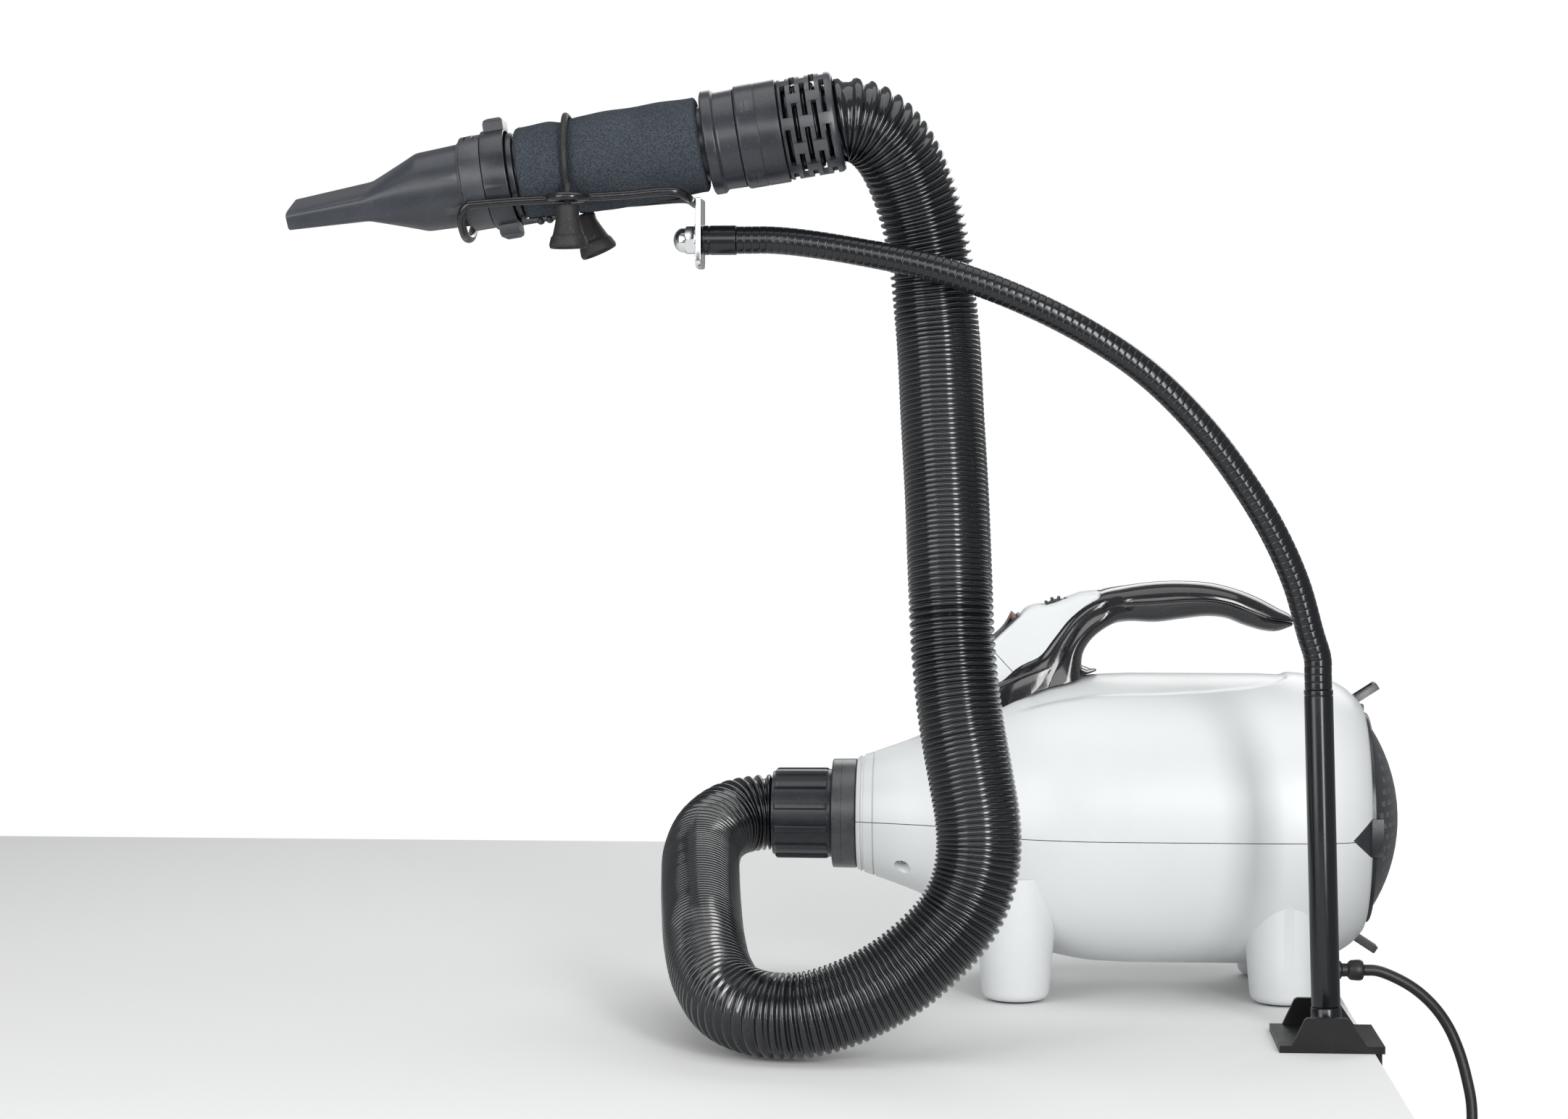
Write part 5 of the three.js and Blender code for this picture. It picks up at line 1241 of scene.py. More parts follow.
@dataclass
class Hose:
    """The corrugated hose: round ribs on a thin film, closed up where it bends least."""

    shop: Workshop
    rib_radius: float = 23.0
    bore_radius: float = 18.4
    rib_width: float = 2.75
    closed_depth: float = 0.75
    open_depth: float = 2.1
    sides: int = 44
    points_per_rib: int = 7
    nut_flange: float = 13.2
    cage_mouth: float = 72.0
    hose_end: float = 33.1
    bending: tuple[float, float] = (136.0, 468.0)
    route_points: int = 700
    curve_step: int = 6
    pitches: Profile = (
        (0, 4.6), (20, 5.1), (50, 5.7), (88, 5.4), (106, 3.4), (124, 2.9), (205, 2.9), (228, 4.6),
        (300, 4.9), (325, 4.4), (350, 3.6), (380, 3.4), (400, 3.9), (450, 3.7), (480, 2.95), (540, 2.95),
        (560, 4.1), (605, 4.2), (625, 2.8), (765, 2.8), (785, 4.5), (900, 4.8),
    )

    def route(self) -> list[Vector]:
        """The hose's middle line, from inside the coupling nut to inside the handpiece's cage."""
        mouth = self.cage_mouth
        return smoothed([
            (-self.nut_flange - 0.3, 0, 104.5), (-28, 0, 104.5), (-44, -0.5, 104.4), (-60, -9, 102),
            (-71, -30, 95.5), (-74.5, -60, 86), (-72, -95, 75), (-68, -130, 62), (-63, -165, 49),
            (-55, -200, 36.5), (-42, -230, 27.5), (-23.4, -246, 24.3), (-4, -250, 24.6), (14.5, -249, 29),
            (32.7, -246, 36.5), (49.9, -242, 46.7), (66, -238, 60), (78.7, -235, 74.5), (86.5, -233, 90),
            (90.3, -231, 108), (90, -229, 126), (86.4, -225, 148), (80.6, -218, 180), (76.5, -210, 215),
            (74.4, -202, 255), (72.4, -193, 300), (69.6, -184, 345), (67.6, -178.5, 381),
            (65.5, -177, 404), (62.8, -178, 429), (58.3, -181.5, 452), (51.5, -187.5, 473),
            (42.5, -195, 490), (31, -201.5, 500.5), WAND.point(mouth + 6), WAND.point(mouth - 4),
            WAND.point(mouth - 15), WAND.point(mouth - 27), WAND.point(self.hose_end),
        ], 10)

    def rib_places(self, length: float) -> list[float]:
        """Where each rib starts along a hose of some length, and the hose's end."""
        places = [0.0]
        while places[-1] < length:
            places.append(places[-1] + between(self.pitches, places[-1]))
        return [place * (length / places[-1]) for place in places]

    def skin(self, line: Sequence[Vector], length: float) -> Form:
        """Grows the ribs along the route by Geometry Nodes.

        Args:
            line: The hose's middle line.
            length: Its length.

        Returns:
            The ribbed skin, open at both ends.
        """
        places = self.rib_places(length)
        ribs = len(places) - 1
        tree = Grower("corrugated_hose", {
            "Ribs": ribs, "Points per rib": self.points_per_rib, "Sides": self.sides,
            "Rib radius": self.rib_radius, "Rib width": self.rib_width, "Closed depth": self.closed_depth,
            "Open depth": self.open_depth,
        }, self.shop.palette.of(HOSE_BLACK))
        given = tree.given
        per, closed = given["Points per rib"], given["Closed depth"]
        stops = [(i / ribs, places[i] / length) for i in range(0, ribs, self.curve_step)] + [(1.0, 1.0)]
        _, rib, within = tree.rows(per)
        here, after = (tree.curve(number / given["Ribs"], stops, "AUTO") * length
                       for number in (rib, rib + 1.0))
        pitch = after - here
        width = given["Rib width"].maths("MINIMUM", pitch)
        arc = (within / (per - 2.0)).maths("MINIMUM", 1.0) * math.pi
        last = within.maths("GREATER_THAN", per - 1.5)
        across = width * 0.5 * (1.0 - arc.maths("COSINE"))
        stretch = ((pitch - given["Rib width"]) / 1.5).clamped()
        dip = 1.0 - arc.maths("SINE").maths("POWER", 0.8)
        fall = tree.either(last, 1.0 + stretch * 0.25, dip)
        radius = given["Rib radius"] - (closed + stretch * (given["Open depth"] - closed)) * fall
        where = (here + tree.either(last, (pitch + width) * 0.5, across)).maths("MINIMUM", length)
        skin = tree.tube(tree.spots(given["Ribs"] * per + 1.0), {"Length": where}, radius, caps=False)
        LOG.info("hose: %d ribs over %.0f mm", ribs, length)
        return tree.grown(skin, "hose_route", line_curve("hose_route", line))

    def wall(self, skin: Form) -> Form:
        """Adds the smooth bore and the two end faces to the ribbed skin, so that the hose is closed."""
        count = self.sides
        rings = [skin.points[i:i + count] for i in range(0, len(skin.points), count)]
        bore = []
        for ring in [*rings[::self.points_per_rib * 3], rings[-1]]:
            middle = sum(ring, Vector()) / count
            bore.append([middle + (p - middle).normalized() * self.bore_radius for p in ring])
        return Form.lofted([*rings, *reversed(bore)], looped=True)

    def build(self) -> None:
        line = evenly(self.route(), self.route_points)
        length = length_of(line)
        skin = self.skin(line, length)
        hose = self.shop.piece("ribbed_hose", self.wall(skin), HOSE_BLACK, None, ["hose"], crease=75)
        low, high = (self.shop.place((0, 0, z)) for z in self.bending)
        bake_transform(hose)
        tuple(low)
        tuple(high)
        path = [self.shop.place(p) for p in line[::4]] + [self.shop.place(line[-1])]
        self.shop.place(line[0])
        2 * self.rib_radius * 0.001


# ------------------------------------------------------------------ the blower's skin
@dataclass(frozen=True)
class BlowerSkin:
    """The zeppelin's outer shape, which the casings, panel, handle and intake all follow."""

    axis: float = 104.5
    wall: float = 2.8
    nose: Profile = (
        (15, 34.2), (27, 38.2), (52, 47.4), (85, 63.5), (118, 78.5), (150, 86.3), (178, 88),
    )
    tail: Profile = (
        (255, 88), (280, 86.6), (297, 83.2), (308, 77.4), (314.5, 71.5), (318, 66.5),
    )
    grooves: Profile = ((17.6, 19.6), (24.8, 25.8))
    groove_depth: float = 0.9
    dish_depth: float = 1.9
    dish_lip: float = 5.0
    dish_start: float = 118.0
    dish_end: float = 274.0
    dish_halves: Profile = ((118, 42), (144, 45), (190, 45), (222, 42), (250, 37), (264, 30), (270, 22),
                            (274, 6))

    def line(self, steps: int = 9) -> list[tuple[float, float]]:
        """The outer profile from nose to rear."""
        whole = smoothed(self.nose, steps) + smoothed(self.tail, steps)
        return [(p.x, p.y) for p in whole]

    def radius(self, x: float) -> float:
        """The outer radius at x."""
        return between(self.line(), x)

    def filled(self, grow: float, back: float = 0.0, sides: int = 128) -> Form:
        """The body inside the skin, grown by some clearance."""
        line = [(x, r + grow) for x, r in self.line(4)]
        line[-1] = (line[-1][0] + back, line[-1][1])
        return Form.turned([(line[0][0], 0), *line, (line[-1][0], 0)], sides).shifted(z=self.axis)

    def dish(self, x: float, y: float, z: float) -> float:
        """How deep the hand's recess on top is at a point of the skin."""
        if z < 0 or x < self.dish_start or x > self.dish_end:
            return 0.0
        half = between(self.dish_halves, x)
        inside = min(half - abs(y), (self.dish_end - x) * 1.2, (x - self.dish_start + 2) * 1.5)
        return eased(held(inside / self.dish_lip), self.dish_depth)

    def outer(self, sides: int = 216) -> Form:
        """The closed outer body, with its nose grooves and the hand's recess."""
        grid = {x for x, _ in self.line(4)} | {self.dish_start + 2.0 * i for i in range(79)}
        for low, high in self.grooves:
            grid |= {low, low + 0.25, high - 0.25, high}
        profile = []
        for x in sorted(grid):
            sunk = any(low + 0.1 < x < high - 0.1 for low, high in self.grooves)
            profile.append((x, self.radius(x) - (self.groove_depth if sunk else 0.0)))
        (x0, r0), (x1, r1) = profile[0], profile[-1]
        profile = [(x0, 0), (x0, r0 - 1.2), (x0 + 0.35, r0 - 0.3), *profile[1:-1],
                   (x1 - 0.7, r1 + 0.6), (x1 - 0.1, r1 - 0.9), (x1, r1 - 1.8), (x1, 0)]
        return Form.turned(profile, sides, self.dish).shifted(z=self.axis)

    def cavity(self, mouth: float = 63.2, sides: int = 96) -> Form:
        """The hollow inside the casing, open at both ends."""
        line = [(x, r - self.wall) for x, r in self.line(3) if 18 < x < 305]
        profile = [(5, 0), (5, 19.5), (line[0][0], 19.5), *line, (306, mouth), (325, mouth), (325, 0)]
        return Form.turned(profile, sides).shifted(z=self.axis)


SKIN = BlowerSkin()


@dataclass
class Casings:
    """The pale lower and upper casings, with the four foot pods and what is cut into them."""

    shop: Workshop
    seam: float = 98.5
    nose_seam: float = 103.0
    seam_gap: float = 0.24
    front_x: float = 110.7
    rear_x: float = 268.0
    spread: float = 50.0
    pod_radius: float = 20.0
    screw_x: float = 42.7
    screw_angle: float = 40.0
    pad_profile: Profile = (
        (0, 0), (0, 6), (0.5, 6.4), (0.5, 7.4), (0, 7.8), (0, 11.8), (0.3, 12.6), (1, 13), (3.6, 13),
        (3.6, 0),
    )

    def side(self, above: bool) -> Form:
        """The space above or below the stepped parting line."""
        shift = self.seam_gap if above else -self.seam_gap
        far = 260.0 if above else -40.0
        nose, body = self.nose_seam + shift, self.seam + shift
        step = [(62 + 1.2 * i, nose + eased(i / 10, body - nose)) for i in range(11)]
        return Form.plate([(-20, nose), *step, (345, body), (345, far), (-20, far)], -130, 130)

    def pods(self) -> list[Form]:
        """The four round foot pods, widening upwards."""
        pod = Form.turned([(1, 0), (1, 14.6), (1.5, 16.6), (2.6, 18.4), (4.2, 19.5), (6, self.pod_radius),
                           (74.5, 25.96), (74.5, 0)], 80)
        return [self.standing(pod, *place) for place in self.feet_at()]

    def feet_at(self) -> list[tuple[float, float]]:
        """The four feet's places: front near, front far, rear near, rear far."""
        return [(x, side * self.spread) for x in (self.front_x, self.rear_x) for side in SIDES]

    def standing(self, form: Form, x: float, y: float) -> Form:
        """A form turned about X, stood upright at a place on the table."""
        return form.moved(UPRIGHT).shifted(x, y, 0)

    def openings(self) -> list[Form]:
        """The side notches, the latches' slots and the strain relief's bore."""
        z = self.seam + 1
        notch = Form.plate([(305.1, z), (317, z + 11.4), (345, z + 11.4), (345, z - 11.4), (317, z - 11.4)],
                           -95, 95)
        notch = notch.cut(Form.block((290, 350), (-58, 58), (40, 170)))
        slots = [Form.block((305.2, 330), (-8.1, 8.1), (SKIN.axis + low, SKIN.axis + low + 16.2))
                 for low in (60, -76.2)]
        bore = Form.rod(281, 295, 4.1).shifted(y=-50, z=20)
        return [notch, *slots, bore]

    def screw_line(self, side: int) -> Matrix:
        """The frame of one nose screw, its Z axis leaning down and out from the blower's axis."""
        lean = Matrix.Rotation(side * math.radians(90 + self.screw_angle), 4, "X")
        return Matrix.Translation((self.screw_x, 0, SKIN.axis)) @ lean

    def screw(self, side: int) -> Form:
        """A cross-headed screw at the bottom of its recess."""
        place = self.screw_line(side)
        head = Form.turned([(36.4, 0), (36.4, 3.6), (38.0, 3.3), (38.7, 2.2), (38.9, 0)], 40)
        cross = [Form.block((-a, a), (-b, b), (37.7, 40)).moved(place) for a, b in ((0.45, 1.9), (1.9, 0.45))]
        return head.moved(place @ UPRIGHT).cut(*cross)

    def build(self) -> None:
        """Makes both casings, the screws and the four rubber pads."""
        make = self.shop.piece
        outer, inner, openings = SKIN.outer(), SKIN.cavity(), self.openings()
        upper = outer.cut(inner).kept(self.side(True)).cut(*openings)
        make("casing_upper", upper, CASING, Body.BASE, ["upper_casing"], crease=28)
        bore = Form.turned([(36.5, 0), (36.5, 4.1), (43.0, 4.6), (44.6, 5.4), (52, 5.4), (52, 0)], 40)
        boss = Form.rod(34, 50, 6.6, 40)
        places = [self.screw_line(side) @ UPRIGHT for side in SIDES]
        bores = [bore.moved(place) for place in places]
        bosses = [boss.moved(place).kept(SKIN.filled(-1.0)) for place in places]
        beds = [self.standing(Form.rod(-1, 3.9, 13.3, 40), *place) for place in self.feet_at()]
        lower = outer.fused(*self.pods()).cut(inner).fused(*bosses)
        lower = lower.kept(self.side(False)).cut(*openings, *bores, *beds)
        make("casing_lower", lower, CASING, Body.BASE, ["lower_casing"], crease=28)
        make("nose_screws", self.screw(-1).joined(self.screw(1)), STEEL, Body.BASE)
        pad = Form.turned(self.pad_profile, 48)
        for foot, place in zip(("front_near", "front_far", "rear_near", "rear_far"), self.feet_at()):
            make(f"pad_{foot}", self.standing(pad, *place), RUBBER, Body.BASE, [f"foot_pad_{foot}"])


# ------------------------------------------------------------------ outlet and coupling nut
@dataclass
class OutletAndNut:
    """The outlet ring on the blower's nose and the ribbed nut that holds the hose on it."""

    shop: Workshop
    ring_radius: float = 33.15
    ring_length: float = 14.7
    nut_radius: float = 26.2
    nut_length: float = 36.4
    ribs: int = 12

    def build(self) -> None:
        """Makes the ring and the nut."""
        r, length = self.ring_radius, self.ring_length
        ring = Form.turned(rounded([
            (-10, 17.5), (-10, 19.2), (0, 19.2), (0, 24.0), (-0.01, r - 0.2), (length, r), (length, 17.5),
            (-10, 17.5),
        ], 1.1, 4), 160).shifted(z=SKIN.axis)
        groove = Form.turned([(5.9, r - 0.25), (5.9, r + 2), (6.25, r + 2), (6.25, r - 0.25),
                              (5.9, r - 0.25)], 160)
        ring = ring.cut(groove.shifted(z=SKIN.axis))
        self.shop.piece("nose_ring", ring, SATIN_BLACK, Body.BASE, ["outlet_ring"])
        n, end = self.nut_radius, self.nut_length
        body = Form.turned(rounded([
            (-end, 23.4), (-end, n - 0.9), (-end + 2.0, n - 0.9), (-end + 2.0, n - 0.4), (-3.2, n - 0.2),
            (-3.2, n + 0.5), (-0.3, n + 0.5), (-0.3, 19.8), (-13.2, 19.8), (-13.2, 23.4), (-end, 23.4),
        ], 0.5, 3), 160)
        across = rounded([
            (-2.3, n - 1.4), (-1.75, n + 1.35), (1.75, n + 1.35), (2.3, n - 1.4), (-2.3, n - 1.4),
        ], 0.5, 3)[:-1]
        stations = ((1.6 - end, -1.2), (2.6 - end, -0.1), (4.6 - end, 0.0), (-5.4, 0.15), (-3.6, 0.1),
                    (-2.6, -0.5))
        rib = Form.lofted([[Vector((x, y, z + lift)) for y, z in across] for x, lift in stations])
        nut = body.fused(ring_of(rib, self.ribs, 15.0)).shifted(z=SKIN.axis)
        self.shop.piece("hose_nut", nut, SATIN_BLACK, Body.COUPLING_NUT, ["coupling_nut"])


# ------------------------------------------------------------------ intake
@dataclass
class IntakeCover:
    """The rear rim with its side tabs, the perforated dome, the foam filter and two latches."""

    shop: Workshop
    rim: float = 62.9
    grille: float = 57.5
    dome_x: float = 321.0
    apex: float = 18.0
    thick: float = 2.2
    pitch: float = 8.0
    hole: tuple[float, float] = (5.0, 3.4)
    latch_x: float = 313.2
    latch_radius: float = 68.2
    latch_rise: float = 33.0

    def height(self, radius: float) -> float:
        """The dome's x at a radius."""
        bow = (self.grille ** 2 + self.apex ** 2) / (2 * self.apex)
        return self.dome_x + self.apex - (bow - math.sqrt(bow * bow - radius * radius))

    def rim_form(self) -> Form:
        """The rim, its tabs in the casing's side notches and the latches' lugs."""
        ring = Form.turned(rounded([
            (306, 52), (306, self.rim), (self.dome_x, self.rim), (self.dome_x, self.grille + 0.3),
            (308, self.grille + 0.3), (308, 52), (306, 52),
        ], 1.2, 4), 160).shifted(z=SKIN.axis)
        z = 99.5
        tab = Form.plate([(305.5, z), (317, z + 11), (324, z + 11), (324, z - 11), (317, z - 11)], -92, 92)
        tab = tab.cut(Form.block((290, 350), (-58, 58), (40, 170))).kept(SKIN.filled(-0.6, 8.0))
        lugs = [Form.block((self.latch_x - 5, self.latch_x + 5.4), (-5.5, 5.5),
                           (SKIN.axis + side * (self.rim - 1.6),
                            SKIN.axis + side * (self.latch_radius - 0.3)))
                for side in SIDES]
        return ring.fused(tab, *lugs)

    def pins(self) -> Form:
        """The perforations' cutters, in staggered rows over the dome, by Geometry Nodes."""
        tree = Grower("perforations", {
            "Pitch": self.pitch, "Row pitch": self.pitch * 0.82, "Reach": self.grille - 5.0, "Across": 17,
        })
        given = tree.given
        across = given["Across"]
        _, row, column = tree.rows(across)
        half = (across - 1.0) / 2.0
        y = given["Pitch"] * (column - half + row.maths("MODULO", 2.0) * 0.5)
        where = tree.vector(y=y, z=given["Row pitch"] * (row - half))
        laid = tree.set_places(tree.spots(across * across), Position=where)
        away = tree.node("ShaderNodeVectorMath", {0: tree.node("GeometryNodeInputPosition")[0]},
                         operation="LENGTH")
        far = away["Value"].maths("GREATER_THAN", given["Reach"])
        near = tree.node("GeometryNodeDeleteGeometry", {"Geometry": laid, "Selection": far},
                         domain="POINT")[0]
        wide, high = (size / 2 for size in self.hole)
        pin = Form.block((316.6, 345), (-wide, wide), (-high, high))
        return tree.grown(tree.copies(near), "pin", pin.mesh("pin"))

    def dome(self) -> Form:
        """The perforated dome with its skirt."""
        radii = [self.grille * math.cos(math.pi / 2 * i / 12) for i in range(1, 12)]
        outer = [(313.6, self.grille), (self.dome_x - 1, self.grille), (self.dome_x, self.grille - 0.3)]
        outer += [(self.height(r - 0.6), r - 0.6) for r in radii] + [(self.dome_x + self.apex, 0)]
        inner = [(self.dome_x + self.apex - self.thick, 0)]
        inner += [(self.height(r) - self.thick, r - 1.5) for r in reversed(radii)]
        inner += [(self.dome_x - self.thick, self.grille - 3), (313.6, self.grille - 3), (313.6, self.grille)]
        return Form.turned([*outer, *inner], 144).cut(self.pins()).shifted(z=SKIN.axis)

    def latch(self, side: int) -> Form:
        """A sprung lever with a hollowed finger rest."""
        across = rounded([(-7.5, 0), (7.5, 0), (7.5, 4.4), (-7.5, 4.4), (-7.5, 0)], 0.9, 3)[:-1]
        bar = Form.lofted([[Vector((x, y * s, 0.15 + z * s)) for y, z in across]
                           for x, s in ((0, 0.93), (0.6, 1), (16.7, 1), (17.3, 0.95), (17.5, 0.88))])
        hollow = Form.block((3, 15.6), (-5.6, 5.6), (2.2, 6))
        ridges = [Form.block((5.0 + 3.2 * i, 6.2 + 3.2 * i), (-5.8, 5.8), (2.0, 3.2)) for i in range(3)]
        lever = bar.cut(hollow).fused(*ridges)
        flip = Matrix.Rotation(math.pi if side < 0 else 0.0, 4, "X")
        turn = flip @ Matrix.Rotation(-math.radians(self.latch_rise), 4, "Y")
        return lever.moved(Matrix.Translation((self.latch_x, 0, SKIN.axis + side * self.latch_radius)) @ turn)

    def build(self) -> None:
        """Makes the cover's pieces."""
        make = self.shop.piece
        make("cover_rim", self.rim_form(), SATIN_BLACK, Body.INTAKE_COVER, ["intake_rim"])
        make("cover_dome", self.dome(), SATIN_BLACK, Body.INTAKE_COVER, ["intake_grille"])
        disc = rounded([(308.3, 0), (308.3, 57.3), (313.3, 57.3), (313.3, 0)], 0.8)
        foam = Form.turned(disc, 96).shifted(z=SKIN.axis)
        make("cover_filter", foam, FILTER_FOAM, Body.INTAKE_COVER, ["foam_filter"])
        make("latch_lever_upper", self.latch(1), SATIN_BLACK, Body.UPPER_LATCH, ["upper_latch"])
        make("latch_lever_lower", self.latch(-1), SATIN_BLACK, Body.LOWER_LATCH, ["lower_latch"])


# ------------------------------------------------------------------ handle and control panel
@dataclass
class HandleAndPanel:
    """The gloss-black grip and foot band, the pale panel and the switches and wheel in it."""

    shop: Workshop
    half: float = 21.0
    slope: float = 43.0
    face: tuple[float, float] = (104.0, 217.2)
    joint: float = -13.5
    split: float = 0.5
    collar: float = 13.0
    foot_end: float = 156.0
    foot_slope: float = 20.0
    wheel_at: tuple[float, float] = (136.3, 224.2)
    wheel_radius: float = 11.2
    teeth: int = 18
    spacing: float = 18.6
    tilt: float = 8.0
    spine: tuple[tuple[float, float, float, float], ...] = (
        (276.2, 221.7, 2.4, 7), (272, 222.6, 5, 10.5), (264, 223.6, 7.6, 13), (251, 228.4, 9.2, 14.6),
        (239, 233, 9.2, 15.4), (225.5, 235.3, 10.1, 16), (209.4, 235, 11.4, 16), (194, 233.7, 12.1, 16),
        (177, 232.8, 10.8, 16.6), (164, 230.2, 10.6, 21.4), (149.5, 220, 10.4, 22.4),
        (140.8, 208, 11.2, 22.8), (135.5, 196, 16, 23), (131, 186, 26, 24.5), (128, 176, 34, 26),
    )

    def stations(self, steps: int = 4) -> list[tuple[Vector, Vector, float, float]]:
        """Points down the grip with the crown's direction, height and width."""
        line = smoothed(self.spine, steps)
        made = []
        for i, p in enumerate(line):
            along = line[min(i + 1, len(line) - 1)] - line[max(i - 1, 0)]
            way = Vector((along[0], 0.0, along[1])).normalized()
            made.append((Vector((p[0], 0.0, p[1])), Vector((way.z, 0.0, -way.x)), p[2], p[3]))
        return made

    def squareness(self, x: float) -> float:
        """The power of the grip's section at x: oval along the grip, squarer where it clasps the panel."""
        return 0.92 - eased(held((182.0 - x) / 24.0), 0.44)

    def whole_grip(self, grow: float) -> Form:
        """The grip's whole skin, grown by some clearance."""
        return Form.lofted([
            [middle + Vector((0, (wide + grow) * c, 0)) + up * (high + grow) * s
             for c, s in oval(48, self.squareness(middle.x))] for middle, up, high, wide in self.stations()
        ])

    def half_grip(self, side: int) -> Form:
        """The crown (+1) or the finger side (-1), with a rounded edge at the joint."""
        rings = []
        for middle, up, high, wide in self.stations():
            gap, lip, square = side * self.split / 2, min(1.0, wide * 0.2), self.squareness(middle.x)
            ring = []
            for k in range(31):
                angle = math.radians(5 + 170 * k / 30)
                y = wide * math.copysign(abs(math.cos(angle)) ** square, math.cos(angle))
                rise = gap + side * (high - abs(gap)) * math.sin(angle) ** square
                ring.append(middle + Vector((0, y, 0)) + up * rise)
            ring += [middle + Vector((0, y, 0)) + up * gap for y in (-wide + lip, wide - lip)]
            rings.append(ring)
        return Form.lofted(rings)

    def band(self, grow: float) -> Form:
        """The handle's foot: an oval band that lies on the casing, with a soft upper edge."""
        rings = []
        for drop, inset in ((-60.0, 0.0), (self.collar - 2.6, 0.0), (self.collar - 1.2, 0.5),
                            (self.collar - 0.3, 1.6), (self.collar, 3.2), (self.collar, 16.0)):
            ring = []
            for c, s in oval(96):
                x, y = 106 + (53 + grow - inset) * c, (27 + grow - inset) * s
                rise = held((self.foot_end - x) / self.foot_slope, 0.12)
                r = SKIN.radius(x) + (drop * rise + grow if drop > 0 else drop)
                low = SKIN.axis + (math.sqrt(max(r * r - y * y, 1.0)) if drop > 0 else 20.0)
                ring.append(Vector((x, y, low)))
            rings.append(ring)
        return Form.lofted(rings).cut(SKIN.filled(0.3))

    def slope_at(self, along: float) -> tuple[float, float]:
        """A point on the switches' slope."""
        angle = math.radians(self.slope)
        return self.face[0] + along * math.cos(angle), self.face[1] + along * math.sin(angle)

    def on_slope(self, form: Form, y: float, along: float = 0.0) -> Form:
        """Moves a form from the slope's own frame to a place on it."""
        x, z = self.slope_at(along)
        return form.moved(Matrix.Translation((x, y, z)) @ Matrix.Rotation(-math.radians(self.slope), 4, "Y"))

    def panel(self) -> Form:
        """The panel's block with soft long edges."""
        return Form.cushion([
            (60, 140), (57.5, 158), (59, 170), (62, 176.5), (66.5, 181.5), self.slope_at(-37),
            self.slope_at(12.2), (115.5, 228.6), (118.5, 230.4), (122.5, 231.6), (126, 231.9),
            (129.5, 231.9), (134, 233.2), (145, 237.4), (150, 239.2), (161, 240.3), (161, 236),
            (150, 223), (142, 208), (138, 196), (136, 160), (134, 140),
        ], self.half, 3.0)

    def slope_space(self, side: int) -> Form:
        """The space above (+1) or below (-1) the panel's joint line."""
        along = (0.2, 140.0) if side > 0 else (-140.0, -0.2)
        return self.on_slope(Form.block(along, (-60, 60), (-120, 120)), 0.0, self.joint)

    def wheel_space(self) -> Form:
        """The slot that the speed wheel turns in, and its board's pocket."""
        x, z = self.wheel_at
        disc = [(x + 13.4 * c, z + 13.4 * s) for c, s in oval(48)]
        return Form.plate(disc, -3.7, 3.7).fused(Form.block((122, 140), (-14.4, 14.4), (203.6, z - 11)))

    def switches(self) -> None:
        """The two switch frames and their rockers."""
        make, lean = self.shop.piece, Matrix.Rotation(-math.radians(self.tilt), 4, "Y")
        top = [(-10.2 + 20.4 * i / 16, 3.6 - 1.7 * math.sin(math.pi * i / 16)) for i in range(17)]
        outline = [(-10.2, -1.4), *top, (10.2, -1.4), (3, -5.4), (-3, -5.4)]
        paddle = Form.plate(outline, -6.5, 6.5).bevelled(0.5, 3, 50.0).moved(lean)
        tip = Form.block((7.6, 12.0), (-8, 8), (-0.4, 8.0)).moved(lean)
        frame = Form.block((-12.2, 12.2), (-8.2, 8.2), (-15, 1.4)).bevelled(0.7, 3, 60.0)
        frame = frame.cut(Form.block((-10.8, 10.8), (-6.8, 6.8), (-7.4, 3)))
        for name, side, body in (("power", -1, Body.POWER_ROCKER), ("heat", 1, Body.HEAT_ROCKER)):
            y = side * self.spacing / 2
            made = self.on_slope(frame, y)
            make(f"{name}_frame", made, SATIN_BLACK, Body.BASE, [f"{name}_switch_body"])
            make(f"{name}_paddle", self.on_slope(paddle.cut(tip), y), GLOSS_BLACK, body, [f"{name}_rocker"])
            make(f"{name}_lens", self.on_slope(paddle.kept(tip), y), RED_LENS, body)

    def wheel(self) -> None:
        """The toothed speed wheel, its teeth set round it by Geometry Nodes."""
        x, z = self.wheel_at
        r = self.wheel_radius
        disc = Form.turned(rounded([(-2.5, 0), (-2.5, r), (2.5, r), (2.5, 0)], 0.5), 72)
        tooth = Form.lofted([
            [Vector((a, y * share, high)) for a, y in ((-2.3, -1.1), (2.3, -1.1), (2.3, 1.1), (-2.3, 1.1))]
            for high, share in ((r - 1, 1.0), (r + 1.0, 0.9), (r + 1.6, 0.55))
        ])
        wheel = disc.fused(ring_of(tooth, self.teeth)).moved(Matrix.Rotation(math.pi / 2, 4, "Z"))
        self.shop.piece("toothed_wheel", wheel.shifted(x, 0, z), SATIN_BLACK, Body.SPEED_WHEEL,
                        ["speed_wheel"])

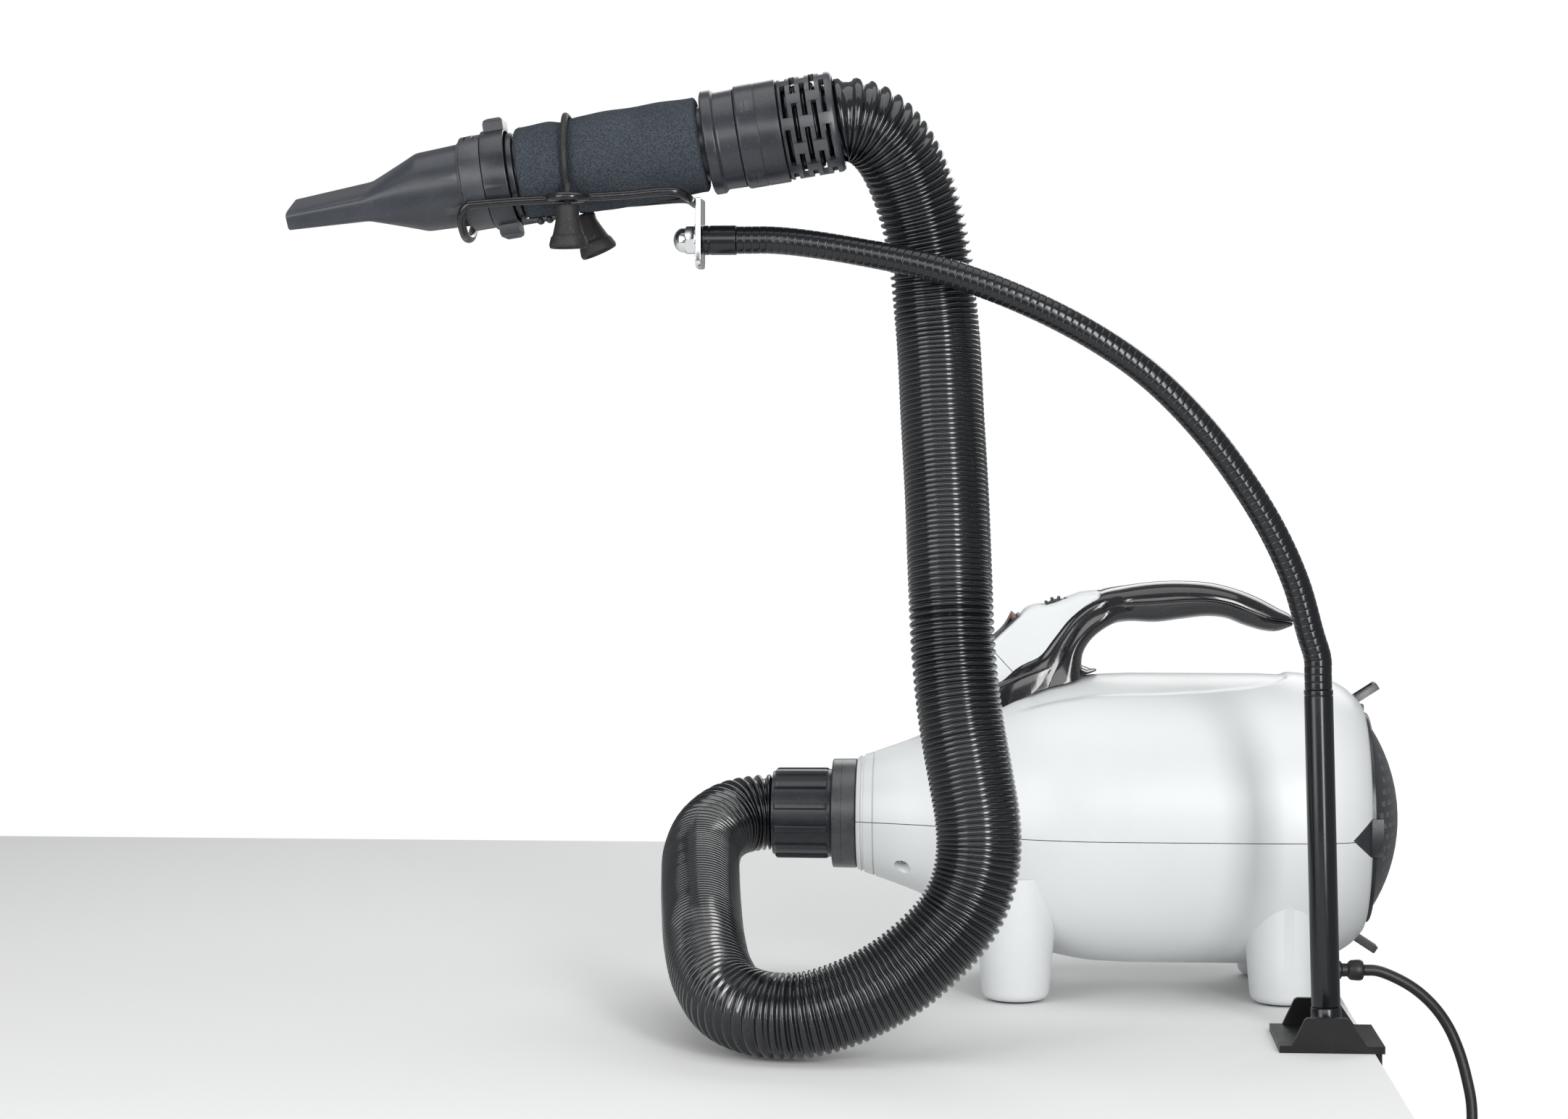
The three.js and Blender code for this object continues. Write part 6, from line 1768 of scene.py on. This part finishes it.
    def build(self) -> None:
        """Makes the handle, its foot band, the panel and what sits in it."""
        make, casing, hollow, grip = self.shop.piece, SKIN.filled(0.3), self.wheel_space(), self.whole_grip(0.3)
        crown, fingers = (self.half_grip(side).cut(casing, hollow) for side in (1, -1))
        make("grip_crown", crown, GLOSS_BLACK, Body.BASE, ["handle_crown"], crease=40)
        make("grip_fingers", fingers, GLOSS_BLACK, Body.BASE, ["handle_finger_side"], crease=40)
        band = self.band(0.0).cut(grip, hollow)
        make("foot_band", band, GLOSS_BLACK, Body.BASE, ["handle_collar"], crease=40)
        hole = Form.block((-12.5, 12.5), (-8.5, 8.5), (-15.3, 20))
        holes = [self.on_slope(hole, side * self.spacing / 2) for side in SIDES]
        deck = self.panel().cut(casing, grip, self.band(0.3), *holes, hollow)
        make("panel_deck", deck.kept(self.slope_space(1)), CASING, Body.BASE, ["control_panel"], crease=30)
        make("panel_cover", deck.kept(self.slope_space(-1)), CASING, Body.BASE, ["panel_front_cover"],
             crease=30)
        self.switches()
        self.wheel()


# ------------------------------------------------------------------ handpiece
@dataclass
class Handpiece:
    """The flat-mouthed nozzle, its locking ring, the foam-covered wand and the hose's cuff."""

    shop: Workshop
    nozzle_radius: float = 22.4
    collar_radius: float = 25.6
    wall: float = 1.9
    tip: float = -231.0
    nozzle_roll: float = 17.0
    ring_start: float = -120.6
    ring_length: float = 13.0
    foam_radius: float = 26.0
    foam_start: float = -102.5
    foam_end: float = -2.5
    pinch: float = -72.2

    def section(self, s: float, half_wide: float, half_high: float, power: float) -> list[Vector]:
        """A superellipse across the handpiece."""
        return [Vector((s, half_wide * c, half_high * d)) for c, d in oval(88, power)]

    def nozzle_skin(self, grow: float) -> list[list[Vector]]:
        """The nozzle's sections from its flat mouth to its round neck."""
        r = self.nozzle_radius
        keys = [(self.tip, 20.0, 5.25, 0.34), (-187, 21.6, 8.0, 0.42), (-158, 22.0, 21.3, 0.96),
                (-134, r, r, 1.0)]
        stations = [keys[0]]
        for before, here, after in zip(keys, keys[1:], keys[2:]):
            for share in (0.3, 0.6, 0.85, 0.95):
                stations.append(tuple(a + (b - a) * share for a, b in zip(before, here)))
            corner = zip(before, here, after)
            stations.append(tuple(h + ((a - h) * 0.03 + (b - h) * 0.03) / 2 for a, h, b in corner))
            stations.append(tuple(h + (a - h) * 0.05 for h, a in zip(here, after)))
        stations += [tuple(a + (b - a) * share for a, b in zip(keys[-2], keys[-1]))
                     for share in (0.4, 0.8, 1.0)]
        return [self.section(s, w + grow, h + grow, p) for s, w, h, p in stations]

    def nozzle(self) -> Form:
        """The hollow nozzle with its thick collar and the latch's window in it."""
        r, collar = self.nozzle_radius, self.collar_radius
        outer = self.nozzle_skin(0.0)
        lip = [self.section(self.tip, 20.0 - 0.5, 5.25 - 0.5, 0.34)]
        outer[0] = self.section(self.tip + 0.5, 20.05, 5.3, 0.34)
        steps = ((-133.4, r), (-133.0, collar - 0.7), (-132.4, collar - 0.1), (-131.8, collar),
                 (-121.2, collar),
                 (-121.0, collar - 0.5), (-120.95, 24.7), (-116.6, 24.7), (-116.5, 24.5))
        outer += [self.section(s, a, a, 1.0) for s, a in steps]
        bore = r - self.wall
        inner = [self.section(-116.5, bore, bore, 1.0), *reversed(self.nozzle_skin(-self.wall))]
        body = Form.lofted([*lip, *outer, *inner], looped=True)
        window = Form.block((-130.0, -124.5), (-5.2, 5.2), (collar - 1.3, collar + 3))
        bead = Form.turned([(-134.6, 22.0), (-134.6, 22.9), (-134.2, 23.2), (-133.6, 23.2), (-133.2, 22.9),
                            (-133.2, 22.0), (-134.6, 22.0)], 88)
        return body.cut(window).fused(bead)

    def latch_tongue(self) -> Form:
        """The snap tongue that shows in the collar's window."""
        r = self.collar_radius
        return Form.block((-129.2, -125.4), (-4.4, 4.4), (r - 1.6, r - 0.2)).bevelled(0.4)

    def locking_ring(self) -> Form:
        """The turning ring and its two ribbed finger tabs."""
        start, end = self.ring_start, self.ring_start + self.ring_length
        band = rounded([(start, 25.3), (start, 27), (end, 27), (end, 25.3), (start, 25.3)], 0.7, 3)
        across = rounded([
            (-8.5, 24.2), (-8.5, 31.4), (-6.5, 32.2), (6.5, 32.2), (8.5, 31.4), (8.5, 24.2), (-8.5, 24.2),
        ], 0.8, 3)[:-1]
        stations = ((start + 2.0, -1.6), (start + 2.5, -0.5), (start + 3.4, 0.0), (end - 1.0, 0.0),
                    (end - 0.3, -0.4), (end, -1.2))
        tab = Form.lofted([[Vector((x, y, z + (lift if z > 28 else 0.0))) for y, z in across]
                           for x, lift in stations])
        ridges = [Form.block((start + 4.0, end - 1.4), (y - 0.45, y + 0.45), (31.5, 32.7)).bevelled(0.25, 2)
                  for y in (-4.8, -2.4, 0.0, 2.4, 4.8)]
        tab = tab.fused(*ridges)
        bore = Form.rod(start - 4, end + 4, 25.3, 120)
        return Form.turned(band, 120).fused(tab, tab.moved(Matrix.Rotation(math.pi, 4, "X"))).cut(bore)

    def wand(self) -> Form:
        """The wand's tube with its front collar, and the three beads on a bar under the grip."""
        end = self.ring_start + self.ring_length
        tube = Form.turned(rounded([
            (-124.5, 18), (-124.5, 20.2), (end + 0.3, 20.2), (end + 0.3, 23.6), (end + 3.6, 23.6),
            (end + 3.6, 20.2), (2.0, 20.2), (2.0, 18), (-124.5, 18),
        ], 0.6, 3), 112)
        low = -self.foam_radius - 0.4
        bar = Form.block((end + 1, -84.5), (-5.4, -2.6), (low - 0.8, low + 2.2)).bevelled(0.5)
        leg = Form.block((end + 1, end + 3.4), (-5.4, -2.6), (low - 0.8, -21)).bevelled(0.5)
        turns = [math.radians(a) for a in range(-75, 76, 15)]
        ball = Form.turned([(-2.2, 0), *[(2.2 * math.sin(a), 2.2 * math.cos(a)) for a in turns], (2.2, 0)],
                           24)
        beads = [ball.shifted(s, -4, low) for s in (-96, -91, -86)]
        return tube.fused(bar, leg, *beads)

    def foam(self) -> Form:
        """The foam grip, drawn in where the elastic cord lies over it."""
        r, start, end = self.foam_radius, self.foam_start, self.foam_end
        keys = [(start, 20.5), (start, r - 2.2), (start + 0.8, r - 1.0), (start + 2.4, r - 0.3)]
        for i in range(1, 60):
            s = start + 2.4 + (end - start - 4.8) * i / 60
            dent = 1.7 * math.exp(-(((s - self.pinch + 4.0) / 5.0) ** 2))
            swell = 0.55 * math.sin(math.pi * i / 60) + 0.25 * math.sin(0.21 * s)
            keys.append((s, r - 0.2 + swell - dent))
        keys += [(end - 1.4, r - 0.3), (end - 0.5, r - 1.1), (end, r - 2.2), (end, 20.5), (start, 20.5)]
        relief = Form.block((start - 1, -82.5), (-7.6, -0.4), (-r - 6, -r + 2.4))
        return Form.turned(keys, 120).cut(relief)

    def socket(self) -> Form:
        """The socket behind the grip: a flange, a waist and a barrel."""
        return Form.turned(rounded([
            (0, 20.8), (0, 26.6), (0.8, 28.2), (6, 28.2), (7.4, 26.6), (8.4, 26.4), (18.2, 26.7),
            (18.2, 21.5), (3, 21.5), (3, 20.8), (0, 20.8),
        ], 0.6, 3), 120)

    def sleeve(self) -> Form:
        """The swivelling sleeve with small slots set round it."""
        sleeve = Form.turned(rounded([
            (18.5, 24), (18.5, 27.2), (19.6, 28.0), (29.4, 28.0), (29.5, 27.7), (30.0, 27.7),
            (30.1, 28.0), (41.6, 28.0), (41.6, 24), (32.8, 24), (32.8, 19), (29.8, 19), (29.8, 24),
            (18.5, 24),
        ], 0.6, 3), 120)
        slots = [Form.block((x, x + 1.1), (11.4, 16.6), (26.8, 30)).bevelled(0.3, 2) for x in (34.0, 36.6)]
        line = Form.block((24.0, 24.5), (-7.0, 7.0), (27.6, 30))
        return sleeve.cut(*[ring_of(slot, 4, 30.0) for slot in slots], ring_of(line, 4, 60.0))

    def cage(self) -> Form:
        """The slotted cage round the hose's end: staggered slots in rows, by Geometry Nodes."""
        cage = Form.turned(rounded([
            (41.9, 24), (41.9, 26.4), (42.9, 27.2), (70.2, 27.2), (72, 26.2), (72, 24), (41.9, 24),
        ], 0.5, 3), 120)
        across = rounded([
            (44.0, -11.2), (46.9, -11.2), (46.9, 11.2), (44.0, 11.2), (44.0, -11.2),
        ], 1.2, 4)[:-1]
        slot = Form.lofted([[Vector((x, y * z / 26.0, z)) for x, y in across] for z in (20.0, 32.0)])
        return cage.cut(ring_of(slot, 6, 0.0, 5.3, 5, 30.0))

    def build(self) -> None:
        """Makes the handpiece's pieces."""
        still, rolled = WAND.matrix(), WAND.matrix(self.nozzle_roll)
        make = self.shop.piece
        make("flat_nozzle", self.nozzle().moved(rolled), NOZZLE_BLACK, Body.NOZZLE, ["nozzle"], crease=30)
        make("nozzle_tongue", self.latch_tongue().moved(rolled), SATIN_BLACK, Body.NOZZLE)
        make("twist_ring", self.locking_ring().moved(still), SATIN_BLACK, Body.LOCKING_RING, ["locking_ring"])
        make("wand_body", self.wand().moved(still), SATIN_BLACK, Body.HANDPIECE, ["wand_tube"])
        foam = make("grip_sleeve", self.foam().moved(still), GRIP_FOAM, Body.HANDPIECE, ["foam_grip"])
        for name, form, solid in (
            ("cuff_socket", self.socket(), "rear_socket"), ("cuff_sleeve", self.sleeve(), "swivel_sleeve"),
            ("cuff_cage", self.cage(), "hose_cage"),
        ):
            make(name, form.moved(still), SATIN_BLACK, Body.ARM, [solid])


# ------------------------------------------------------------------ cradle, bracket and gooseneck
@dataclass
class Cradle:
    """The vinyl-covered wire cradle with its eyes, the chrome bracket and the elastic cord."""

    shop: Workshop
    wire: float = 2.35
    half: float = 26.0
    right_x: float = -65.45
    left_x: float = -187.0
    left_z: float = 456.6
    right_z: float = 463.4
    eye_x: float = -129.5
    eye_radius: float = 9.7
    arm_z: float = 438.9
    y: float = -205.0
    back_z: float = 459.6
    eye_gap: float = 5.0

    def wire_z(self, x: float) -> float:
        """The side wires' height at x."""
        return between(((self.left_x, self.left_z), (self.right_x, self.right_z)), x)

    def wires(self) -> Form:
        """The bent wire, the two eyes welded to it and the cross wire."""
        axis = WAND.point(0)[2] + (self.left_x - WAND.origin[0]) * math.tan(math.radians(WAND.rise))
        low = axis - 25.6 - 0.6 - self.wire
        x1, h = self.right_x, self.half

        def side(sign: int) -> list[Point]:
            """One side of the cradle from its back to its front."""
            y = self.y
            runs = [(x, y + sign * h, self.wire_z(x))
                    for x in (x1 - 6, x1 - 34, self.eye_x, self.left_x + 12)]
            return [(x1, y + sign * 9, self.back_z), (x1 - 0.5, y + sign * 18, 460), *runs,
                    (self.left_x + 2, y + sign * h, self.left_z - 1),
                    (self.left_x - 1, y + sign * (h - 2.5), low + 9),
                    (self.left_x - 1.5, y + sign * 11, low + 0.4)]
        form = Form.swept(smoothed(side(-1) + side(1)[::-1], 9), self.wire, 20)
        for sign in SIDES:
            middle = Vector((self.eye_x, self.y + sign * (h + self.eye_gap), self.wire_z(self.eye_x)))
            rings = []
            for c, s in oval(48):
                p = middle + Vector((self.eye_radius * c, self.eye_radius * s, 0))
                out = (p - middle).normalized()
                rings.append([p + out * self.wire * a + Vector((0, 0, self.wire * b)) for a, b in oval(20)])
            form = form.fused(Form.lofted(rings, looped=True))
        cross = Form.swept([Vector((x1, self.y + y, self.back_z)) for y in (-10, 10)], self.wire, 20)
        return form.fused(cross)

    def bracket(self) -> Form:
        """The bright plate with rounded lower corners that the cradle is welded to."""
        low, high, r, half = 423.5, 461.0, 5.0, 13.0
        turns = [math.pi / 2 * i / 8 for i in range(9)]
        outline = [(-half, high), (half, high)]
        outline += [(half - r + r * math.cos(a), low + r - r * math.sin(a)) for a in turns]
        outline += [(-half + r - r * math.sin(a), low + r - r * math.cos(a)) for a in turns]
        face = Form.lofted([[Vector((x, self.y + y, z)) for y, z in outline] for x in (-62.8, -59.8)])
        hole = Form.rod(-70, -50, 4.3).shifted(y=self.y, z=self.arm_z)
        return face.bevelled(0.4, 3, 50.0).cut(hole)

    def acorn(self) -> Form:
        """The domed nut on the stud, with its washer."""
        nut = Form.lofted([[Vector((x, 8.3 * c, 8.3 * s)) for c, s in oval(6)] for x in (-6.2, -0.9)])
        round_off = Form.turned([(-6.3, 0), (-6.3, 7.2), (-5.2, 8.35), (-1.6, 8.35), (-0.9, 7.6), (-0.9, 0)],
                                72)
        washer = Form.turned(rounded([(-1.0, 0), (-1.0, 9.4), (-0.3, 9.4), (-0.3, 0)], 0.2, 2), 56)
        dome = Form.turned([(-13, 0), (-12.9, 1.2), (-12.5, 2.8), (-11.6, 4.5), (-10.2, 5.8), (-8.4, 6.6),
                            (-5, 6.8),
                            (-5, 0)], 48)
        bore = Form.rod(-8.8, 2, 4.3)
        form = nut.kept(round_off).fused(washer, dome).cut(bore)
        return form.shifted(-62.8, self.y, self.arm_z)

    def elastic(self) -> Form:
        """The elastic cord over the grip and down through both eyes."""
        axis = WAND.origin[2] + (self.eye_x - WAND.origin[0]) * math.tan(math.radians(WAND.rise))
        over, z = 27.2, self.wire_z(self.eye_x)
        near, far = self.y - self.half - self.eye_gap, self.y + self.half + self.eye_gap
        top = z - self.wire - 1.2
        loop = []
        for i in range(13):
            turn = math.radians(205 - 230 * i / 12)
            loop.append((self.eye_x - 5 + 0.6 * abs(i - 6), self.y + over * 1.03 * math.cos(turn),
                         axis + over * math.sin(turn)))
        ends = [[(self.eye_x, y, top), (self.eye_x, y, z + 6)] for y in (near, far)]
        return Form.swept(smoothed([*ends[0], *loop, *ends[1][::-1]], 6), 1.8, 16)

    def bell(self, near: bool) -> Form:
        """A bell-shaped rubber stop on the elastic's end, hollow in its mouth."""
        tilt = 1.5 if near else 24.0
        sign = -1 if near else 1
        profile = rounded([(0, 0), (0, 6), (2, 6.4), (5, 6.0), (10, 7.0), (16, 8.4), (17, 9.4), (21, 10.4),
                           (23, 10.0),
                           (23, 8.6), (14, 6.4), (14, 0)], 0.8, 4)
        top = self.wire_z(self.eye_x) - self.wire - 1.5 - 1.8 * math.sin(math.radians(tilt))
        place = Matrix.Translation((self.eye_x, self.y + sign * (self.half + self.eye_gap), top))
        down = Matrix.Rotation(math.radians(180 - tilt), 4, "Y") @ UPRIGHT
        return Form.turned(profile, 48).moved(place @ down)

    def build(self) -> None:
        """Makes the cradle and what hangs on it."""
        make = self.shop.piece
        make("cradle_wire", self.wires(), VINYL_WIRE, Body.ARM, ["wire_cradle"], crease=50)
        make("bracket_face", self.bracket(), CHROME, Body.ARM, ["bracket_plate"])
        make("domed_nut", self.acorn(), CHROME, Body.ARM, ["acorn_nut"])
        make("elastic_loop", self.elastic(), RUBBER, Body.ARM, ["elastic_cord"], crease=60)
        make("bell_near", self.bell(True), RUBBER, Body.ARM, ["near_cord_stop"])
        make("bell_far", self.bell(False), RUBBER, Body.ARM, ["far_cord_stop"])


@dataclass
class Gooseneck:
    """The grooved flexible arm on its leaning pole, with the ferrule and the stud at its end."""

    shop: Workshop
    radius: float = 7.5
    groove: float = 0.24
    pitch: float = 4.15
    sides: int = 28
    lean: float = -1.65
    pole_foot: Point = (280.9, -174.0, 4.0)
    pole_top: float = 190.0

    def on_pole(self, along: float) -> Vector:
        """A point on the pole's axis."""
        angle = math.radians(self.lean)
        return Vector(self.pole_foot) + along * Vector((math.sin(angle), 0.0, math.cos(angle)))

    def route(self) -> list[Vector]:
        """The arm's middle line from the pole to the ferrule."""
        return smoothed([
            self.on_pole(self.pole_top + 0.3), self.on_pole(199), self.on_pole(207), (271, -175.2, 224),
            (262.8, -178, 252), (250, -182.5, 280), (232, -188, 309), (210, -194, 337.5),
            (181, -200, 366), (147.8, -205.5, 388.5), (108, -209.5, 408), (65.9, -211.5, 422.8),
            (25, -210.5, 432), (-8, -207.5, 437.4), (-24.2, -205, 438.9), (-32.2, -205, 438.9),
            (-41.2, -205, 438.9),
        ], 12)

    def grooved(self, line: Sequence[Vector]) -> Form:
        """The arm's skin by Geometry Nodes: a tube whose radius drops in every groove.

        Args:
            line: The arm's middle line.

        Returns:
            The tube with closed ends.
        """
        tree = Grower("grooved_arm", {
            "Grooves": round(length_of(line) / self.pitch), "Points per groove": 6, "Radius": self.radius,
            "Groove depth": self.groove, "Sides": self.sides,
        })
        given = tree.given
        per = given["Points per groove"]
        _, row, within = tree.rows(per)
        stops = ((0.0, 0.0), (1 / 6, 0.08), (2 / 6, 0.16), (3 / 6, 0.5), (4 / 6, 0.84), (5 / 6, 0.92),
                 (1.0, 1.0))
        place = (row + tree.curve(within / per, stops, "VECTOR")) / given["Grooves"]
        edge = within.maths("MINIMUM", per - within)
        sag = edge.maths("LESS_THAN", 1.5) * 0.12
        depth = (1.0 - edge).maths("MAXIMUM", 0.0).maths("MAXIMUM", sag) * given["Groove depth"]
        spots = tree.spots(given["Grooves"] * per + 1.0)
        skin = tree.tube(spots, {"Factor": place}, given["Radius"] - depth, caps=True)
        return tree.grown(skin, "arm_route", line_curve("arm_route", line))

    def build(self) -> None:
        """Makes the arm, the ferrule with its stud, the pole and the pole's collar."""
        make = self.shop.piece
        make("grooved_arm", self.grooved(evenly(self.route(), 420)), ARM_BLACK, Body.ARM, ["gooseneck"],
             crease=50)
        x = -59.5
        ferrule = Form.turned(rounded([
            (x - 12.3, 0), (x - 12.3, 4), (x, 4), (x, 8.1), (x + 3, 8.1), (x + 3.2, 7.8), (x + 3.8, 7.8),
            (x + 4, 8.1), (x + 18, 8.1), (x + 18, 0),
        ], 0.5, 3), 64)
        make("arm_ferrule", ferrule.shifted(y=-205, z=438.9), ARM_BLACK, Body.ARM, ["ferrule"])
        place = Matrix.Translation(self.pole_foot) @ Matrix.Rotation(math.radians(self.lean), 4, "Y")
        up = place @ UPRIGHT
        pole = Form.turned(rounded([
            (16, 0), (16, 7.9), (186.5, 7.9), (186.7, 7.6), (187.2, 7.6), (187.4, 7.95), (190, 7.95),
            (190, 0),
        ], 0.4, 3), 64)
        make("arm_pole", pole.moved(up), ARM_BLACK, Body.ARM, ["pole_tube"])
        collar = Form.turned(rounded([
            (0.6, 0), (0.6, 7.0), (5.4, 7.0), (6.2, 8.4), (14.8, 8.4), (15.7, 7.9), (15.7, 0),
        ], 0.4, 3), 64)
        make("pole_foot_collar", collar.moved(up), ARM_BLACK, Body.ARM, ["pole_collar"])


# ------------------------------------------------------------------ table clamp
@dataclass
class TableClamp:
    """The steel clamp on the table's edge with its pressure pad, screw and knob."""

    shop: Workshop
    x: float = 276.0
    y: float = -174.0
    screw_x: float = 280.0
    arm_x: float = 309.0
    pole_x: float = 280.9

    def body(self) -> Form:
        """The bent clamp body: a top plate with two flanges, a slotted arm and a lower jaw."""
        x, y = self.x, self.y
        top = Form.block((x - 23.5, self.arm_x), (y - 34, y + 34), (0, 4))
        arm = Form.block((self.arm_x - 5, self.arm_x), (y - 20, y + 20), (-57, 4))
        jaw = Form.block((x - 14, self.arm_x), (y - 14, y + 14), (-57, -51))
        outline = [(x - 17, 3), (x - 10, 18), (x - 8.4, 19), (x + 12, 19), (x + 13.8, 18.2), (x + 24, 3)]
        flanges = [Form.plate(outline, y + side * 32.2 - 1.8, y + side * 32.2 + 1.8) for side in SIDES]
        slot = Form.block((self.arm_x - 8, self.arm_x + 3), (y - 5, y + 5), (-26, -6))
        bore = Form.rod(-60, -46, 4.35).moved(UPRIGHT).shifted(self.screw_x, y, 0)
        boss = Form.turned([(-51.2, 0), (-51.2, 7.4), (-49.6, 7.0), (-49.6, 0)], 40).moved(UPRIGHT)
        bead = rounded([(3.8, 0), (3.8, 11), (4.45, 10.6), (4.45, 0)], 0.2, 2)
        socket = Form.turned(bead, 48).moved(UPRIGHT)
        body = top.fused(arm, jaw, *flanges).cut(slot).bevelled(0.9, 3, 50.0)
        return body.fused(boss.shifted(self.screw_x, y, 0), socket.shifted(self.pole_x, y, 0)).cut(bore)

    def build(self) -> None:
        """Makes the clamp's four pieces."""
        make, y = self.shop.piece, self.y
        up = Matrix.Translation((self.screw_x, y, 0)) @ UPRIGHT
        make("clamp_frame", self.body(), CLAMP_BLACK, Body.BASE, ["clamp_body"], crease=40)
        pad = Form.turned(rounded([
            (-33, 4.3), (-33, 7), (-30, 11), (-26, 11), (-26, 0), (-28.2, 0), (-28.2, 4.3), (-33, 4.3),
        ], 0.5, 3), 64)
        make("clamp_pad", pad.moved(up), CLAMP_BLACK, Body.PRESSURE_PAD, ["pressure_pad"])
        thread = [(-28.5, 0.0), (-28.5, 3.2)]
        for i in range(30):
            at = -29.2 - 1.6 * i
            thread += [(at, 3.3), (at - 0.8, 4.0)]
        thread += [(-78.5, 3.6), (-88, 3.6), (-88, 0)]
        make("clamp_thread", Form.turned(thread, 40).moved(up), STEEL, Body.CLAMP_SCREW, ["clamp_screw"])
        knob = Form.turned(rounded([
            (-91, 0), (-91, 12.5), (-89, 15), (-80, 15), (-78, 12), (-78, 0),
        ], 1.2, 4), 96)
        bore = Form.rod(-88.3, -76, 4.1)
        scallop = Form.rod(-95, -75, 4).shifted(z=16.5)
        wheel = knob.cut(ring_of(scallop, 6), bore).moved(up)
        make("clamp_handwheel", wheel, CLAMP_BLACK, Body.CLAMP_SCREW, ["clamp_knob"])


# ------------------------------------------------------------------ inside
@dataclass
class Innards:
    """What the housing hides: motor, fan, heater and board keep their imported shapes."""

    shop: Workshop
    finishes: Mapping[str, Finish] = field(default_factory=lambda: {
        "motor_can": MOTOR_METAL, "fan_housing": CAST_ALLOY, "impeller": CAST_ALLOY, "motor_shaft": STEEL,
        "front_motor_mount": RUBBER, "rear_motor_mount": RUBBER, "heater_frame": MICA, "heater_coil": STEEL,
        "speed_control_board": BOARD,
    })

    def build(self) -> None:
        """Gives each inner solid its finish."""
        for node, finish in self.finishes.items():
            self.shop.dress(node, finish)


def corners() -> list[list[float]]:
    """The model's bounds as plain lists."""
    low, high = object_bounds()
    return [[float(v) for v in low], [float(v) for v in high]]


def main() -> None:
    """Builds the studio and every piece."""
    logging.basicConfig(level=logging.INFO, format="%(message)s")
    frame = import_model()
    LOG.info("packed bodies: %s", ", ".join(sorted(frame["bodies"])))
    shop = Workshop(Palette(), frame["nodes"])
    Studio(shop).build()
    for part in (
        PowerCord(shop), Hose(shop), Casings(shop), OutletAndNut(shop), IntakeCover(shop),
        HandleAndPanel(shop), Handpiece(shop), Cradle(shop), Gooseneck(shop), TableClamp(shop),
        Innards(shop),
    ):
        part.build()


if __name__ == "__main__":
    main()
